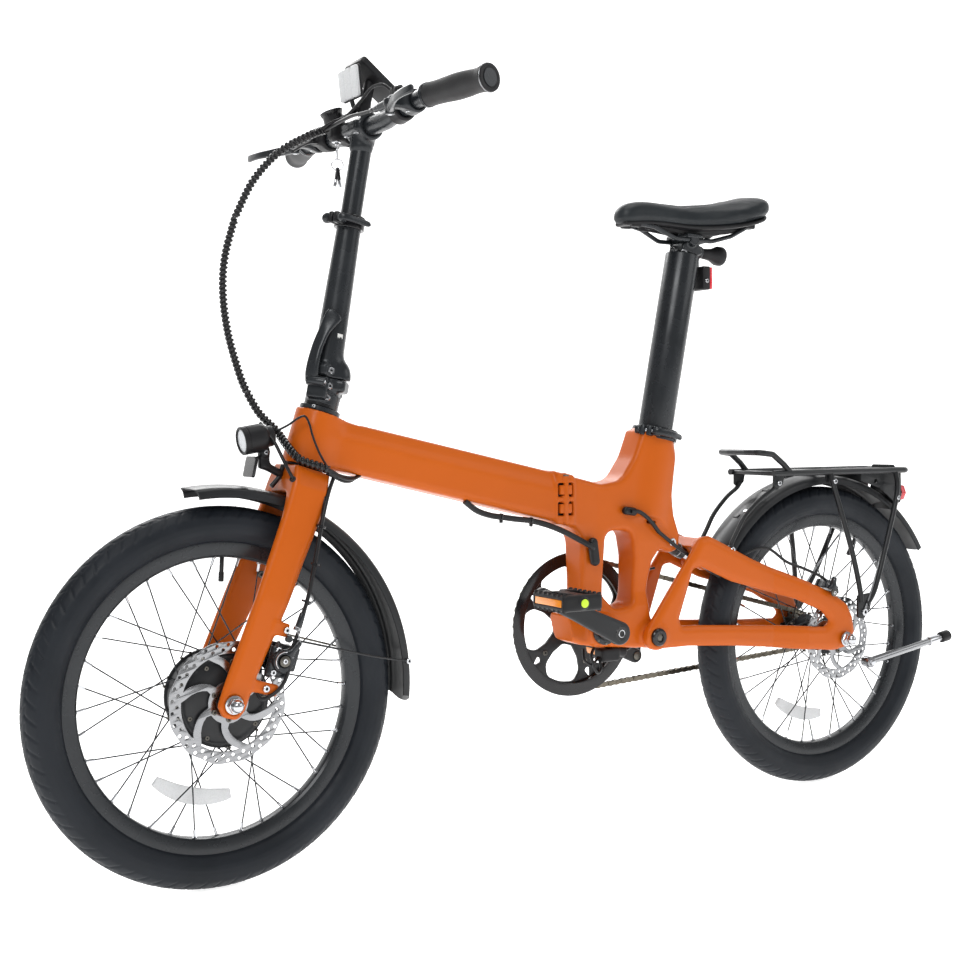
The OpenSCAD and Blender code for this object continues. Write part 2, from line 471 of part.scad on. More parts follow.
// ---- drive ----
function dirc(a) = [-cos(a), sin(a)];
module arm2d(l) { hull() { circle(r = 17); translate([l*0.55, 0]) circle(r = 13.5); } hull() { translate([l*0.55, 0]) circle(r = 13.5); translate([l, 0]) circle(r = 12); } }
module cranks() color(black) {
  translate([bb[0], -64, bb[1]]) rotate([0, 180 + crank_ang, 0]) rotate([90, 0, 0]) linear_extrude(14) difference() { arm2d(crank_len); translate([crank_len, 0]) circle(r = 6.9); }
  translate([bb[0], 76, bb[1]]) rotate([0, crank_ang, 0]) rotate([90, 0, 0]) linear_extrude(14) difference() { arm2d(crank_len); translate([crank_len, 0]) circle(r = 6.9); }
  cy(bb, 8.5, -70, 70);
  cy(bb, 16, -64.5, -42);
  cy(bb, 16, 42, 64.5);
  translate([bb[0], 62.5, bb[1]]) rotate([90, 0, 0]) linear_extrude(5) difference() {
    union() { circle(r = 30); for (i = [0:4]) rotate(72*i + 4) translate([0, -8]) square([72, 16]); }
  }
}
module chainring() color(black) difference() {
  translate([bb[0], 57.2, bb[1]]) rotate([90, 0, 0]) {
    linear_extrude(5.2) difference() { circle(r = 98); for (i = [0:4]) rotate(72*i + 40) translate([62, 0]) circle(r = 27.5); circle(r = 17); }
    translate([0, 0, 5.2]) linear_extrude(2.2) difference() { polygon([for (i = [0:103]) (i % 2 == 0 ? ring_r + 1.6 : ring_r - 3.4)*[cos(i*360/104), sin(i*360/104)]]); circle(r = 91); }
    translate([0, 0, 7.4]) linear_extrude(3) difference() { circle(r = 98); circle(r = 91); }
    translate([0, 0, 10.4]) linear_extrude(1.6) difference() { circle(r = guard_r); circle(r = 91); }
  }
  cy(bb, 16.3, 30, 70);
}
module sprocket() color(steel) translate([rx, 55, az]) rotate([90, 0, 0]) difference() {
  union() {
    translate([0, 0, 3]) linear_extrude(2.2) polygon([for (i = [0:31]) (i % 2 == 0 ? cog_r + 1.6 : cog_r - 3.4)*[cos(i*11.25), sin(i*11.25)]]);
    cylinder(r = 22, h = 10.5);
  }
  translate([0, 0, -1]) cylinder(r = axle_r + fit, h = 20);
}
ped = bb + crank_len*dirc(crank_ang);
ped2 = bb - crank_len*dirc(crank_ang);
module sleeve(p) difference() {
  union() { cy(p, 6.8, 63, 80); cy(p, 9.5, 78.6, 92); ext_y([for (q = [[-12,-8],[12,-8],[12,8],[-12,8]]) p + q], 92, 104); }
  translate([p[0], 98, p[1]]) rotate([0, 90, 0]) cylinder(r = 3.05, h = 40, center = true);
}
module pedal(p) difference() {
  union() {
    difference() {
      ext_y([for (q = [[-33,-8],[-29,-12],[29,-12],[33,-8],[33,8],[29,12],[-29,12],[-33,8]]) p + q], 93, 175);
      ext_y([for (q = [[-13,-20],[13,-20],[13,20],[-13,20]]) p + q], 90, 110.5);
      for (s = [-1, 1]) ext_z([[p[0]+s*27, 115],[p[0]+s*27, 165],[p[0]+s*9, 165],[p[0]+s*9, 115]], p[1] - 20, p[1] + 20);
    }
    translate([p[0], 98, p[1]]) rotate([0, 90, 0]) cylinder(r = 3, h = 30, center = true);
    cy(p, 8, 170, 177);
  }
}
module left_sleeve() color(black) mirror([0,1,0]) sleeve(ped);
module right_sleeve() color(black) sleeve(ped2);
module left_pedal() color(black) mirror([0,1,0]) pedal(ped);
module right_pedal() color(black) pedal(ped2);
module shock_body() color(black) at_shock() difference() {
  union() { rotate([90, 0, 0]) cylinder(r = 11, h = 22, center = true); rotate([0, 90, 0]) cylinder(r = 11, h = 46); }
  rotate([90, 0, 0]) cylinder(r = 4 + fit, h = 40, center = true);
  translate([20, 0, 0]) rotate([0, 90, 0]) cylinder(r = 6 + fit, h = 60);
}
module shock_shaft() color(steel) at_shock() difference() {
  union() { translate([36, 0, 0]) rotate([0, 90, 0]) cylinder(r = 6, h = sh_len - 36); translate([sh_len, 0, 0]) rotate([90, 0, 0]) cylinder(r = 10.5, h = 21, center = true); }
  translate([sh_len, 0, 0]) rotate([90, 0, 0]) cylinder(r = 5.2, h = 40, center = true);
}
cang = asin((ring_r - cog_r)/norm([rx - bb[0], az - bb[1]]));
clin = atan2(az - bb[1], rx - bb[0]);
function cloop(d) = concat([for (i = [0:24]) let (a = clin + 90 - cang + i*(180 + 2*cang)/24) bb + (ring_r + d)*[cos(a), sin(a)]],
  [for (i = [0:12]) let (a = clin - 90 + cang + i*(180 - 2*cang)/12) [rx, az] + (cog_r + d)*[cos(a), sin(a)]]);
module chain() color([0.35, 0.34, 0.3]) {
  difference() { ext_y(cloop(4), 47.6, 49.4); ext_y(cloop(-4), 40, 60); }
  difference() { ext_y(cloop(4), 52.6, 54.4); ext_y(cloop(-4), 40, 60); }
  for (i = [0:12]) for (s = [1, -1]) { a = clin + s*(90 - cang); p = (bb + ring_r*[cos(a), sin(a)])*(1 - (i + 1.5)/16) + ([rx, az] + cog_r*[cos(a), sin(a)])*(i + 1.5)/16; cy(p, 2, 49.4, 52.6); }
}

// ---- cables ----
module cable_upper() color(black) cable([[-356,34,1018],[-386,26,1006],[-424,44,982],[-452,68,945],[-474,80,895]], 5, 6, 8);
module cable_middle() color(black) cable([[-474.6,80.3,893],[-488,84,840],[-492,82,790],[-489,72,735],[-480,55,680],[-474,44,655]], 5, 6, 8);
module cable_lower() color(black) cable([[-473.4,43,653],[-462,30,626],[-446,9,602],[-441,-15,582],[-433,-40,564],[-405,-50,553],[-375,-42,534],[-345,-26,522],[-310,-14,516]], 5, 5, 8);

rear_frame();
frame_pins();
bb_cups();
seat_collar();
seat_lever();
front_beam();
headset();
frame_latch();
fork();
front_fender();
headlight();
front_caliper();
front_axle();
stem_base();
front_tyre();
front_rim();
hub_motor();
front_rotor();
handlepost();
post_collar();
hinge_lever();
collar_lever();
upper_post();
handlebar();
left_grip();
right_grip();
display();
bar_controls();
left_brake_lever();
right_brake_lever();
key();
seat_post();
seat_clamp();
saddle_rails();
saddle_shell();
saddle_cushion();
swingarm();
rear_fender();
rear_rack();
tail_light();
rear_caliper();
rear_axle();
kickstand();
rear_tyre();
rear_rim();
rear_hub();
rear_rotor();
sprocket();
cranks();
chainring();
left_sleeve();
right_sleeve();
left_pedal();
right_pedal();
shock_body();
shock_shaft();
chain();
cable_upper();
cable_middle();
cable_lower();
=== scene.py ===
import json
import math
import random

import bmesh
import bpy
import numpy as np
from mathutils import Matrix, Vector


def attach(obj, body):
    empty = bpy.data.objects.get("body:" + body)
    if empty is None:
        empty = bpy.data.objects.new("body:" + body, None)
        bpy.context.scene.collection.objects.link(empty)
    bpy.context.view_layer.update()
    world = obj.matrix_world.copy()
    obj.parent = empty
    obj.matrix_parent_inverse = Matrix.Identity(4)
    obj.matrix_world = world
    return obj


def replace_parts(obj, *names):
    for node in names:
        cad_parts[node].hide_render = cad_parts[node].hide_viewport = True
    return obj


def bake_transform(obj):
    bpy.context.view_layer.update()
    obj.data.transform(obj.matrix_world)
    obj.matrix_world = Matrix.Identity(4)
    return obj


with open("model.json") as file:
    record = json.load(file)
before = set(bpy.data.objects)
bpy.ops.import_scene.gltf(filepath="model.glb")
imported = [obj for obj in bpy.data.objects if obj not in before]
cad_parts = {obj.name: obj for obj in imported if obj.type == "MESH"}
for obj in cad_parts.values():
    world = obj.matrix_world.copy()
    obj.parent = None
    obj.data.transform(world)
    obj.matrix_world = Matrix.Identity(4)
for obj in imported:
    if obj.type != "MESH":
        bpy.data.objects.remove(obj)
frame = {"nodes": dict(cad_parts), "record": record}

random.seed(7)
np.random.seed(7)
MM = 0.001
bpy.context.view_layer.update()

# ------------------------------------------------------------------ numbers shared with the CAD (mm)
FX, RX, AZ = -538.0, 538.0, 252.0
CROWN = np.array([-411.4, 0.0, 548.5])
POST0 = np.array([-385.5, 0.0, 629.0])
SEAT0 = np.array([190.4, 0.0, 598.0])
BB = np.array([68.0, 0.0, 298.0])
PIV = (163.0, 281.0)
SHA, SHE = (206.0, 425.0), (274.0, 390.0)
HEAD, PANG, SANG = 17.5, 10.2, 11.1


def local(origin, ang, zrot=0.0):
    """4x4 (mm) of a frame at origin leaning back by ang, then turned by zrot about its own axis."""
    return Matrix.Translation(Vector(origin)) @ Matrix.Rotation(math.radians(ang), 4, "Y") @ Matrix.Rotation(math.radians(zrot), 4, "Z")


M_FORK, M_POST, M_SEAT = local(CROWN, HEAD), local(POST0, PANG), local(SEAT0, SANG)


# ------------------------------------------------------------------ materials
MATS = {}


def nodes_of(name):
    m = bpy.data.materials.new(name)
    m.use_nodes = True
    nt = m.node_tree
    b = nt.nodes["Principled BSDF"]
    tc = nt.nodes.new("ShaderNodeTexCoord")
    MATS[name] = m
    return m, nt, b, tc


def noise(nt, tc, scale, detail=4.0, rough=0.55, stretch=None):
    n = nt.nodes.new("ShaderNodeTexNoise")
    n.inputs["Scale"].default_value = scale
    n.inputs["Detail"].default_value = detail
    n.inputs["Roughness"].default_value = rough
    if stretch:
        mp = nt.nodes.new("ShaderNodeMapping")
        mp.inputs["Scale"].default_value = stretch
        nt.links.new(tc.outputs["Object"], mp.inputs["Vector"])
        nt.links.new(mp.outputs["Vector"], n.inputs["Vector"])
    else:
        nt.links.new(tc.outputs["Object"], n.inputs["Vector"])
    return n


def remap(nt, out, a, b, lo=0.3, hi=0.7):
    r = nt.nodes.new("ShaderNodeMapRange")
    r.inputs["From Min"].default_value = lo
    r.inputs["From Max"].default_value = hi
    r.inputs["To Min"].default_value = a
    r.inputs["To Max"].default_value = b
    nt.links.new(out, r.inputs["Value"])
    return r.outputs["Result"]


def mixcol(nt, fac, c1, c2):
    m = nt.nodes.new("ShaderNodeMix")
    m.data_type = "RGBA"
    m.inputs[6].default_value = (*c1, 1)
    m.inputs[7].default_value = (*c2, 1)
    nt.links.new(fac, m.inputs[0])
    return m.outputs[2]


def bump(nt, b, out, strength, dist):
    n = nt.nodes.new("ShaderNodeBump")
    n.inputs["Strength"].default_value = strength
    n.inputs["Distance"].default_value = dist
    nt.links.new(out, n.inputs["Height"])
    nt.links.new(n.outputs["Normal"], b.inputs["Normal"])
    return n


def surface(name, c1, c2, rough, rvar, metallic=0.0, coat=0.0, grain=900, gdist=0.00004, gstr=0.35, blotch=9, stretch=None, spec=0.5, coat_rough=0.12):
    """A finish with a colour that drifts a little, a roughness that varies like handling wear, and a fine grain."""
    m, nt, b, tc = nodes_of(name)
    n1 = noise(nt, tc, blotch, 5)
    nt.links.new(mixcol(nt, remap(nt, n1.outputs["Fac"], 0, 1), c1, c2), b.inputs["Base Color"])
    n2 = noise(nt, tc, blotch * 4, 6)
    nt.links.new(remap(nt, n2.outputs["Fac"], rough - rvar, rough + rvar), b.inputs["Roughness"])
    n3 = noise(nt, tc, grain, 3, 0.6, stretch)
    bump(nt, b, n3.outputs["Fac"], gstr, gdist)
    b.inputs["Metallic"].default_value = metallic
    b.inputs["Coat Weight"].default_value = coat
    b.inputs["Coat Roughness"].default_value = coat_rough
    b.inputs["Specular IOR Level"].default_value = spec
    return m


ORANGE = surface("orange_paint", (0.505, 0.094, 0.003), (0.555, 0.107, 0.0045), 0.38, 0.04, 0.0, 0.10, grain=420, gdist=0.00003, gstr=0.25, blotch=3, coat_rough=0.16, spec=0.2)
BLACK_ALLOY = surface("black_alloy", (0.0135, 0.0155, 0.018), (0.020, 0.023, 0.0265), 0.27, 0.06, 0.25, 0.0, grain=1400, gdist=0.00002, spec=0.5)
BLACK_PAINT = surface("black_paint", (0.010, 0.011, 0.012), (0.016, 0.017, 0.019), 0.36, 0.06, 0.0, 0.08, grain=800, gdist=0.00003, spec=0.32)
PLASTIC = surface("black_plastic", (0.008, 0.008, 0.009), (0.013, 0.013, 0.0145), 0.46, 0.08, 0.0, 0.0, grain=1600, gdist=0.00005, spec=0.28)
GLOSSP = surface("gloss_plastic", (0.007, 0.007, 0.008), (0.011, 0.011, 0.0125), 0.2, 0.05, 0.0, 0.1, grain=900, gdist=0.00002, spec=0.4)
RUBBER = surface("tyre_rubber", (0.0075, 0.0098, 0.0135), (0.013, 0.016, 0.021), 0.5, 0.09, 0.0, 0.0, grain=700, gdist=0.00008, blotch=14, spec=0.24)
HARD_RUBBER = surface("cable_rubber", (0.007, 0.007, 0.008), (0.012, 0.012, 0.013), 0.34, 0.07, 0.0, 0.0, grain=1100, gdist=0.00003, spec=0.32)
STEEL = surface("bright_steel", (0.27, 0.275, 0.285), (0.35, 0.355, 0.365), 0.26, 0.07, 1.0, 0.0, grain=500, gdist=0.00003, stretch=(1, 1, 1))
CHROME = surface("chrome", (0.50, 0.51, 0.53), (0.58, 0.59, 0.61), 0.12, 0.04, 1.0, 0.0, grain=300, gdist=0.00001)
DARKSTEEL = surface("dark_steel", (0.10, 0.095, 0.085), (0.16, 0.15, 0.13), 0.34, 0.09, 1.0, 0.0, grain=800, gdist=0.00003)
LEATHER = surface("saddle_cover", (0.012, 0.0148, 0.0172), (0.0175, 0.0215, 0.0245), 0.42, 0.07, 0.0, 0.0, grain=520, gdist=0.00016, gstr=0.5, spec=0.3)
AMBER = surface("amber_reflector", (0.80, 0.24, 0.01), (0.95, 0.36, 0.03), 0.16, 0.04, 0.0, 0.6, grain=260, gdist=0.0003, gstr=0.6)
LIME = surface("lime_button", (0.55, 0.80, 0.03), (0.66, 0.88, 0.05), 0.4, 0.05, 0.0, 0.0, grain=500)
RED = surface("red_lens", (0.55, 0.008, 0.02), (0.70, 0.015, 0.03), 0.16, 0.04, 0.0, 0.6, grain=240, gdist=0.0003, gstr=0.6)
WHITE_LABEL = surface("paper_label", (0.62, 0.62, 0.60), (0.72, 0.72, 0.70), 0.5, 0.05, 0.0, 0.0, grain=900)
BROWN = surface("spring_cover", (0.045, 0.018, 0.012), (0.065, 0.025, 0.016), 0.4, 0.07, 0.0, 0.0, grain=900)


def lens_mat(name, tint, rough):
    """A clear moulded reflector: small cube corners cut into pale plastic."""
    m, nt, b, tc = nodes_of(name)
    v = nt.nodes.new("ShaderNodeTexVoronoi")
    v.inputs["Scale"].default_value = 420
    nt.links.new(tc.outputs["Object"], v.inputs["Vector"])
    nt.links.new(mixcol(nt, remap(nt, v.outputs["Distance"], 0, 1, 0.0, 0.7), tuple(0.9 * c for c in tint), tint), b.inputs["Base Color"])
    bump(nt, b, v.outputs["Distance"], 0.7, 0.0006)
    b.inputs["Roughness"].default_value = rough
    b.inputs["Transmission Weight"].default_value = 0.12
    b.inputs["IOR"].default_value = 1.49
    b.inputs["Alpha"].default_value = 0.92
    return m


CLEAR = lens_mat("clear_reflector", (0.72, 0.73, 0.74), 0.3)
GLASSY = lens_mat("lamp_lens", (0.80, 0.83, 0.86), 0.06)


def anodised_grip():
    m, nt, b, tc = nodes_of("grip_rubber")
    v = nt.nodes.new("ShaderNodeTexVoronoi")
    v.inputs["Scale"].default_value = 520
    nt.links.new(tc.outputs["Object"], v.inputs["Vector"])
    n = noise(nt, tc, 40, 4)
    nt.links.new(mixcol(nt, remap(nt, n.outputs["Fac"], 0, 1), (0.012, 0.012, 0.013), (0.02, 0.02, 0.021)), b.inputs["Base Color"])
    bump(nt, b, v.outputs["Distance"], 0.5, 0.0003)
    b.inputs["Roughness"].default_value = 0.58
    return m


GRIP = anodised_grip()


# ------------------------------------------------------------------ mesh helpers (input in mm)
def put(name, verts, faces, mat, body=None, smooth=True, angle=None, mtx=None):
    v = np.asarray(verts, float).reshape(-1, 3)
    if mtx is not None:
        a = np.array(mtx)
        v = v @ a[:3, :3].T + a[:3, 3]
    me = bpy.data.meshes.new(name)
    me.from_pydata((v * MM).tolist(), [], [tuple(int(i) for i in f) for f in faces])
    me.validate()
    o = bpy.data.objects.new(name, me)
    bpy.context.collection.objects.link(o)
    if isinstance(mat, (list, tuple)):
        for m in mat:
            me.materials.append(m)
    else:
        me.materials.append(mat)
    if smooth:
        me.polygons.foreach_set("use_smooth", [True] * len(me.polygons))
        if angle is not None:
            sharp(o, angle)
    if body:
        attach(o, body)
    return o


def sharp(o, angle):
    bm = bmesh.new()
    bm.from_mesh(o.data)
    lim = math.radians(angle)
    for e in bm.edges:
        if len(e.link_faces) == 2:
            e.smooth = e.calc_face_angle(0) < lim
    bm.to_mesh(o.data)
    bm.free()


def join(objs, name):
    objs = [o for o in objs if o]
    bpy.ops.object.select_all(action="DESELECT")
    for o in objs:
        o.select_set(True)
    bpy.context.view_layer.objects.active = objs[0]
    bpy.ops.object.join()
    objs[0].name = name
    return objs[0]


def modify(o, kind, **kw):
    m = o.modifiers.new(kind, kind)
    for k, v in kw.items():
        setattr(m, k, v)
    return m


def bake(o):
    """Turns the modifiers into mesh."""
    dg = bpy.context.evaluated_depsgraph_get()
    me = bpy.data.meshes.new_from_object(o.evaluated_get(dg))
    old = o.data
    o.modifiers.clear()
    o.data = me
    bpy.data.meshes.remove(old)
    return o


def bevelled(o, w, seg=3, angle=30):
    modify(o, "BEVEL", width=w * MM, segments=seg, limit_method="ANGLE", angle_limit=math.radians(angle), harden_normals=False)
    bake(o)
    o.data.polygons.foreach_set("use_smooth", [True] * len(o.data.polygons))
    sharp(o, 40)
    return o


def catmull(pts, n):
    p = np.asarray(pts, float)
    out = []
    for i in range(len(p) - 1):
        a, b, c, d = p[max(i - 1, 0)], p[i], p[i + 1], p[min(i + 2, len(p) - 1)]
        for j in range(n):
            t = j / n
            out.append(0.5 * ((2 * b) + (c - a) * t + (2 * a - 5 * b + 4 * c - d) * t * t + (3 * b - a - 3 * c + d) * t ** 3))
    out.append(p[-1])
    return np.array(out)


def frames(path):
    """Tangent and two normals along a path, without twist."""
    t = np.gradient(path, axis=0)
    t /= np.linalg.norm(t, axis=1)[:, None]
    up = np.array([0.0, 0.0, 1.0]) if abs(t[0][2]) < 0.9 else np.array([1.0, 0.0, 0.0])
    u = np.cross(t[0], up); u /= np.linalg.norm(u)
    us = [u]
    for i in range(1, len(path)):
        u = us[-1] - t[i] * np.dot(us[-1], t[i])
        us.append(u / np.linalg.norm(u))
    us = np.array(us)
    return t, us, np.cross(t, us)


def sweep(path, radius, sides=12, closed=False, caps=True, section=None):
    """Verts and faces of a tube along path. radius may vary; section is a unit outline of (a, b) pairs."""
    path = np.asarray(path, float)
    n = len(path)
    r = np.broadcast_to(np.asarray(radius, float), (n,))
    if closed:
        t = np.roll(path, -1, 0) - np.roll(path, 1, 0)
        t /= np.linalg.norm(t, axis=1)[:, None]
        us = np.tile(np.array([0.0, 1.0, 0.0]), (n, 1))
        us = us - t * np.sum(us * t, axis=1)[:, None]
        us /= np.linalg.norm(us, axis=1)[:, None]
        vs = np.cross(t, us)
    else:
        t, us, vs = frames(path)
    if section is None:
        a = np.linspace(0, 2 * math.pi, sides, endpoint=False)
        section = np.stack([np.cos(a), np.sin(a)], 1)
    section = np.asarray(section, float)
    s = len(section)
    v = path[:, None, :] + r[:, None, None] * (section[None, :, 0:1] * us[:, None, :] + section[None, :, 1:2] * vs[:, None, :])
    v = v.reshape(-1, 3)
    f = []
    m = n if closed else n - 1
    for i in range(m):
        j = (i + 1) % n
        for k in range(s):
            l = (k + 1) % s
            f.append((i * s + k, i * s + l, j * s + l, j * s + k))
    if caps and not closed:
        f.append(tuple(range(s - 1, -1, -1)))
        f.append(tuple((n - 1) * s + k for k in range(s)))
    return v, f


def tube(name, pts, r, mat, body=None, sides=16, n=10, smooth_path=True, angle=40, mtx=None):
    p = catmull(pts, n) if smooth_path else np.asarray(pts, float)
    v, f = sweep(p, r, sides)
    return put(name, v, f, mat, body, True, angle, mtx)


def round_path(pts, radius, seg=8):
    """A polyline with its corners turned into arcs, like a bent tube."""
    p = [np.asarray(q, float) for q in pts]
    out = [p[0]]
    for i in range(1, len(p) - 1):
        a, b, c = p[i - 1], p[i], p[i + 1]
        u, w = a - b, c - b
        lu, lw = np.linalg.norm(u), np.linalg.norm(w)
        u, w = u / lu, w / lw
        ang = math.acos(max(-1, min(1, float(np.dot(u, w)))))
        if ang > 3.1:
            out.append(b); continue
        rr = radius[i] if isinstance(radius, (list, tuple)) else radius
        d = min(rr / math.tan(ang / 2), lu * 0.48, lw * 0.48)
        rr = d * math.tan(ang / 2)
        bis = u + w; bis /= np.linalg.norm(bis)
        cen = b + bis * (rr / math.sin(ang / 2))
        s, e = b + u * d - cen, b + w * d - cen
        tot = math.acos(max(-1, min(1, float(np.dot(s, e) / (np.linalg.norm(s) * np.linalg.norm(e))))))
        for k in range(seg + 1):
            t = k / seg
            q = (math.sin((1 - t) * tot) * s + math.sin(t * tot) * e) / math.sin(tot)
            out.append(cen + q)
    out.append(p[-1])
    return np.array(out)


def bent(name, pts, rad, bend, mat, body=None, sides=16, mtx=None):
    """A bent tube: straight runs joined by rounded corners."""
    p = round_path(pts, bend)
    v, f = sweep(p, rad, sides)
    return put(name, v, f, mat, body, True, 45, mtx)


def lathe(name, prof, mat, body=None, centre=(0, 0, 0), axis="Y", seg=96, close=False, angle=32, mtx=None, arc=None):
    """prof is [(radius, along)]. axis Y turns round a wheel axle; Z round an upright."""
    prof = np.asarray(prof, float)
    n = len(prof)
    if arc:
        th = np.radians(np.linspace(arc[0], arc[1], seg))
    else:
        th = np.linspace(0, 2 * math.pi, seg, endpoint=False)
    c, s = np.cos(th)[:, None], np.sin(th)[:, None]
    r, h = prof[:, 0][None, :], prof[:, 1][None, :]
    if axis == "Y":
        v = np.stack([r * c, np.broadcast_to(h, (len(th), n)), r * s], -1)
    else:
        v = np.stack([r * c, r * s, np.broadcast_to(h, (len(th), n))], -1)
    v = v.reshape(-1, 3) + np.asarray(centre, float)
    f = []
    m = len(th) if not arc else len(th) - 1
    k2 = n if close else n - 1
    for i in range(m):
        j = (i + 1) % len(th)
        for k in range(k2):
            l = (k + 1) % n
            q = (i * n + k, i * n + l, j * n + l, j * n + k)
            f.append(q if axis == "Y" else q[::-1])
    if arc and close:
        f.append(tuple(range(n)))
        f.append(tuple((len(th) - 1) * n + k for k in range(n - 1, -1, -1)))
    o = put(name, v, f, mat, None, True, None, mtx)
    bm = bmesh.new(); bm.from_mesh(o.data)
    bmesh.ops.remove_doubles(bm, verts=bm.verts, dist=1e-7)
    bmesh.ops.recalc_face_normals(bm, faces=bm.faces)
    bm.to_mesh(o.data); bm.free()
    sharp(o, angle)
    if body:
        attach(o, body)
    return o


def plate(name, loops, thick, mat, body=None, mtx=None, bev=0.4, res=4, bseg=2):
    """A flat plate from 2D outlines (first is outside, the rest are holes), lying in local XY, thick along Z, with eased edges."""
    cu = bpy.data.curves.new(name, "CURVE")
    cu.dimensions = "2D"
    cu.fill_mode = "BOTH"
    for lp in loops:
        sp = cu.splines.new("POLY")
        sp.points.add(len(lp) - 1)
        sp.points.foreach_set("co", [c for p in lp for c in (p[0] * MM, p[1] * MM, 0, 1)])
        sp.use_cyclic_u = True
    cu.extrude = max(thick / 2 - bev, 0.02) * MM
    cu.bevel_depth = bev * MM
    cu.bevel_resolution = bseg
    cu.offset = -bev * MM
    t = bpy.data.objects.new(name + "_c", cu)
    bpy.context.collection.objects.link(t)
    dg = bpy.context.evaluated_depsgraph_get()
    me = bpy.data.meshes.new_from_object(t.evaluated_get(dg))
    bpy.data.objects.remove(t)
    o = bpy.data.objects.new(name, me)
    bpy.context.collection.objects.link(o)
    me.materials.clear()
    me.materials.append(mat)
    bm = bmesh.new(); bm.from_mesh(me)
    bmesh.ops.remove_doubles(bm, verts=bm.verts, dist=1e-6)
    bm.to_mesh(me); bm.free()
    me.polygons.foreach_set("use_smooth", [True] * len(me.polygons))
    sharp(o, 28)
    if mtx is not None:
        a = Matrix(mtx).copy()
        a.translation = a.translation * MM
        me.transform(a)
    if body:
        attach(o, body)
    return o


def circle2(r, n=32, c=(0, 0), rev=False):
    t = np.linspace(0, 2 * math.pi, n, endpoint=False)
    if rev:
        t = t[::-1]
    return [(c[0] + r * math.cos(a), c[1] + r * math.sin(a)) for a in t]


def fillet(pts, seg=6):
    """Outline from (x, y, r) corners with each corner rounded."""
    out = []
    n = len(pts)
    for i in range(n):
        b = np.array(pts[i][:2], float); r = pts[i][2] if len(pts[i]) > 2 else 0
        a = np.array(pts[i - 1][:2], float); c = np.array(pts[(i + 1) % n][:2], float)
        u, w = a - b, c - b
        lu, lw = np.linalg.norm(u), np.linalg.norm(w)
        u, w = u / lu, w / lw
        ang = math.acos(max(-1, min(1, float(np.dot(u, w)))))
        if r <= 0 or ang > 3.12:
            out.append(tuple(b)); continue
        d = min(r / math.tan(ang / 2), lu * 0.49, lw * 0.49)
        rr = d * math.tan(ang / 2)
        bis = u + w; bis /= np.linalg.norm(bis)
        cen = b + bis * (rr / math.sin(ang / 2))
        s, e = b + u * d - cen, b + w * d - cen
        tot = math.pi - ang
        for k in range(seg + 1):
            t = k / seg
            q = (math.sin((1 - t) * tot) * s + math.sin(t * tot) * e) / math.sin(tot)
            out.append(tuple(cen + q))
    return out


def box(name, a, b, mat, body=None, bev=1.5, mtx=None, seg=3):
    a, b = np.minimum(a, b), np.maximum(a, b)
    v = [(x, y, z) for x in (a[0], b[0]) for y in (a[1], b[1]) for z in (a[2], b[2])]
    f = [(0, 1, 3, 2), (4, 6, 7, 5), (0, 4, 5, 1), (2, 3, 7, 6), (0, 2, 6, 4), (1, 5, 7, 3)]
    o = put(name, v, f, mat, None, True, None, mtx)
    bevelled(o, bev, seg)
    if body:
        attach(o, body)
    return o


def cyl(name, p, q, r, mat, body=None, seg=32, bev=0.6, mtx=None, r2=None):
    """A turned pin or barrel with eased ends from p to q."""
    p, q = np.asarray(p, float), np.asarray(q, float)
    r2 = r if r2 is None else r2
    d = q - p; L = np.linalg.norm(d)
    bev = min(bev, r * 0.5, r2 * 0.5, L * 0.3)
    prof = [(0, 0), (r - bev, 0), (r - bev * 0.3, bev * 0.3), (r, bev), (r2, L - bev), (r2 - bev * 0.3, L - bev * 0.3), (r2 - bev, L), (0, L)]
    z = Vector(d / L)
    m = Matrix.Translation(Vector(p)) @ z.to_track_quat("Z", "Y").to_matrix().to_4x4()
    if mtx is not None:
        m = mtx @ m
    return lathe(name, prof, mat, body, axis="Z", seg=seg, mtx=m)


def screw_head(name, p, d, r, h, mat, body=None, kind="hex", mtx=None):
    """A cap screw with a socket, or a hexagon bolt, standing on p along d."""
    d = Vector(d).normalized()
    m = Matrix.Translation(Vector(p)) @ d.to_track_quat("Z", "Y").to_matrix().to_4x4()
    if mtx is not None:
        m = mtx @ m
    if kind == "hex":
        return plate(name, [circle2(r, 6)], h, mat, body, m @ Matrix.Translation((0, 0, h / 2)), bev=min(0.5, h / 4))
    o = lathe(name, [(r * 0.55, h - 1.2), (r * 0.58, h), (r * 0.86, h), (r, h - 0.14 * r), (r, 0), (0, 0)], mat, None, axis="Z", seg=24, mtx=m)
    s = plate(name + "_s", [circle2(r * 0.60, 24), circle2(r * 0.46, 6)], 0.5, mat, None, m @ Matrix.Translation((0, 0, h - 0.35)), bev=0.05)
    # the socket is lined with near-black plastic: painted shade inside the screw's recess
    k = lathe(name + "_k", [(0, h * 0.35), (r * 0.5, h * 0.35), (r * 0.5, h - 0.5)], PLASTIC, None, axis="Z", seg=6, mtx=m)
    o = join([o, s, k], name)
    if body:
        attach(o, body)
    return o


# ------------------------------------------------------------------ smooth castings from a distance field
def sd_poly(px, pz, poly):
    P = np.asarray(poly, float)
    d = np.full(np.broadcast(px, pz).shape, 1e18)
    s = np.ones(d.shape)
    for i in range(len(P)):
        a, b = P[i], P[i - 1]
        ex, ez = b[0] - a[0], b[1] - a[1]
        wx, wz = px - a[0], pz - a[1]
        t = np.clip((wx * ex + wz * ez) / (ex * ex + ez * ez + 1e-12), 0, 1)
        dx, dz = wx - ex * t, wz - ez * t
        d = np.minimum(d, dx * dx + dz * dz)
        c1, c2, c3 = pz >= a[1], pz < b[1], (ex * wz) > (ez * wx)
        s = np.where((c1 & c2 & c3) | (~c1 & ~c2 & ~c3), -s, s)
    return s * np.sqrt(d)


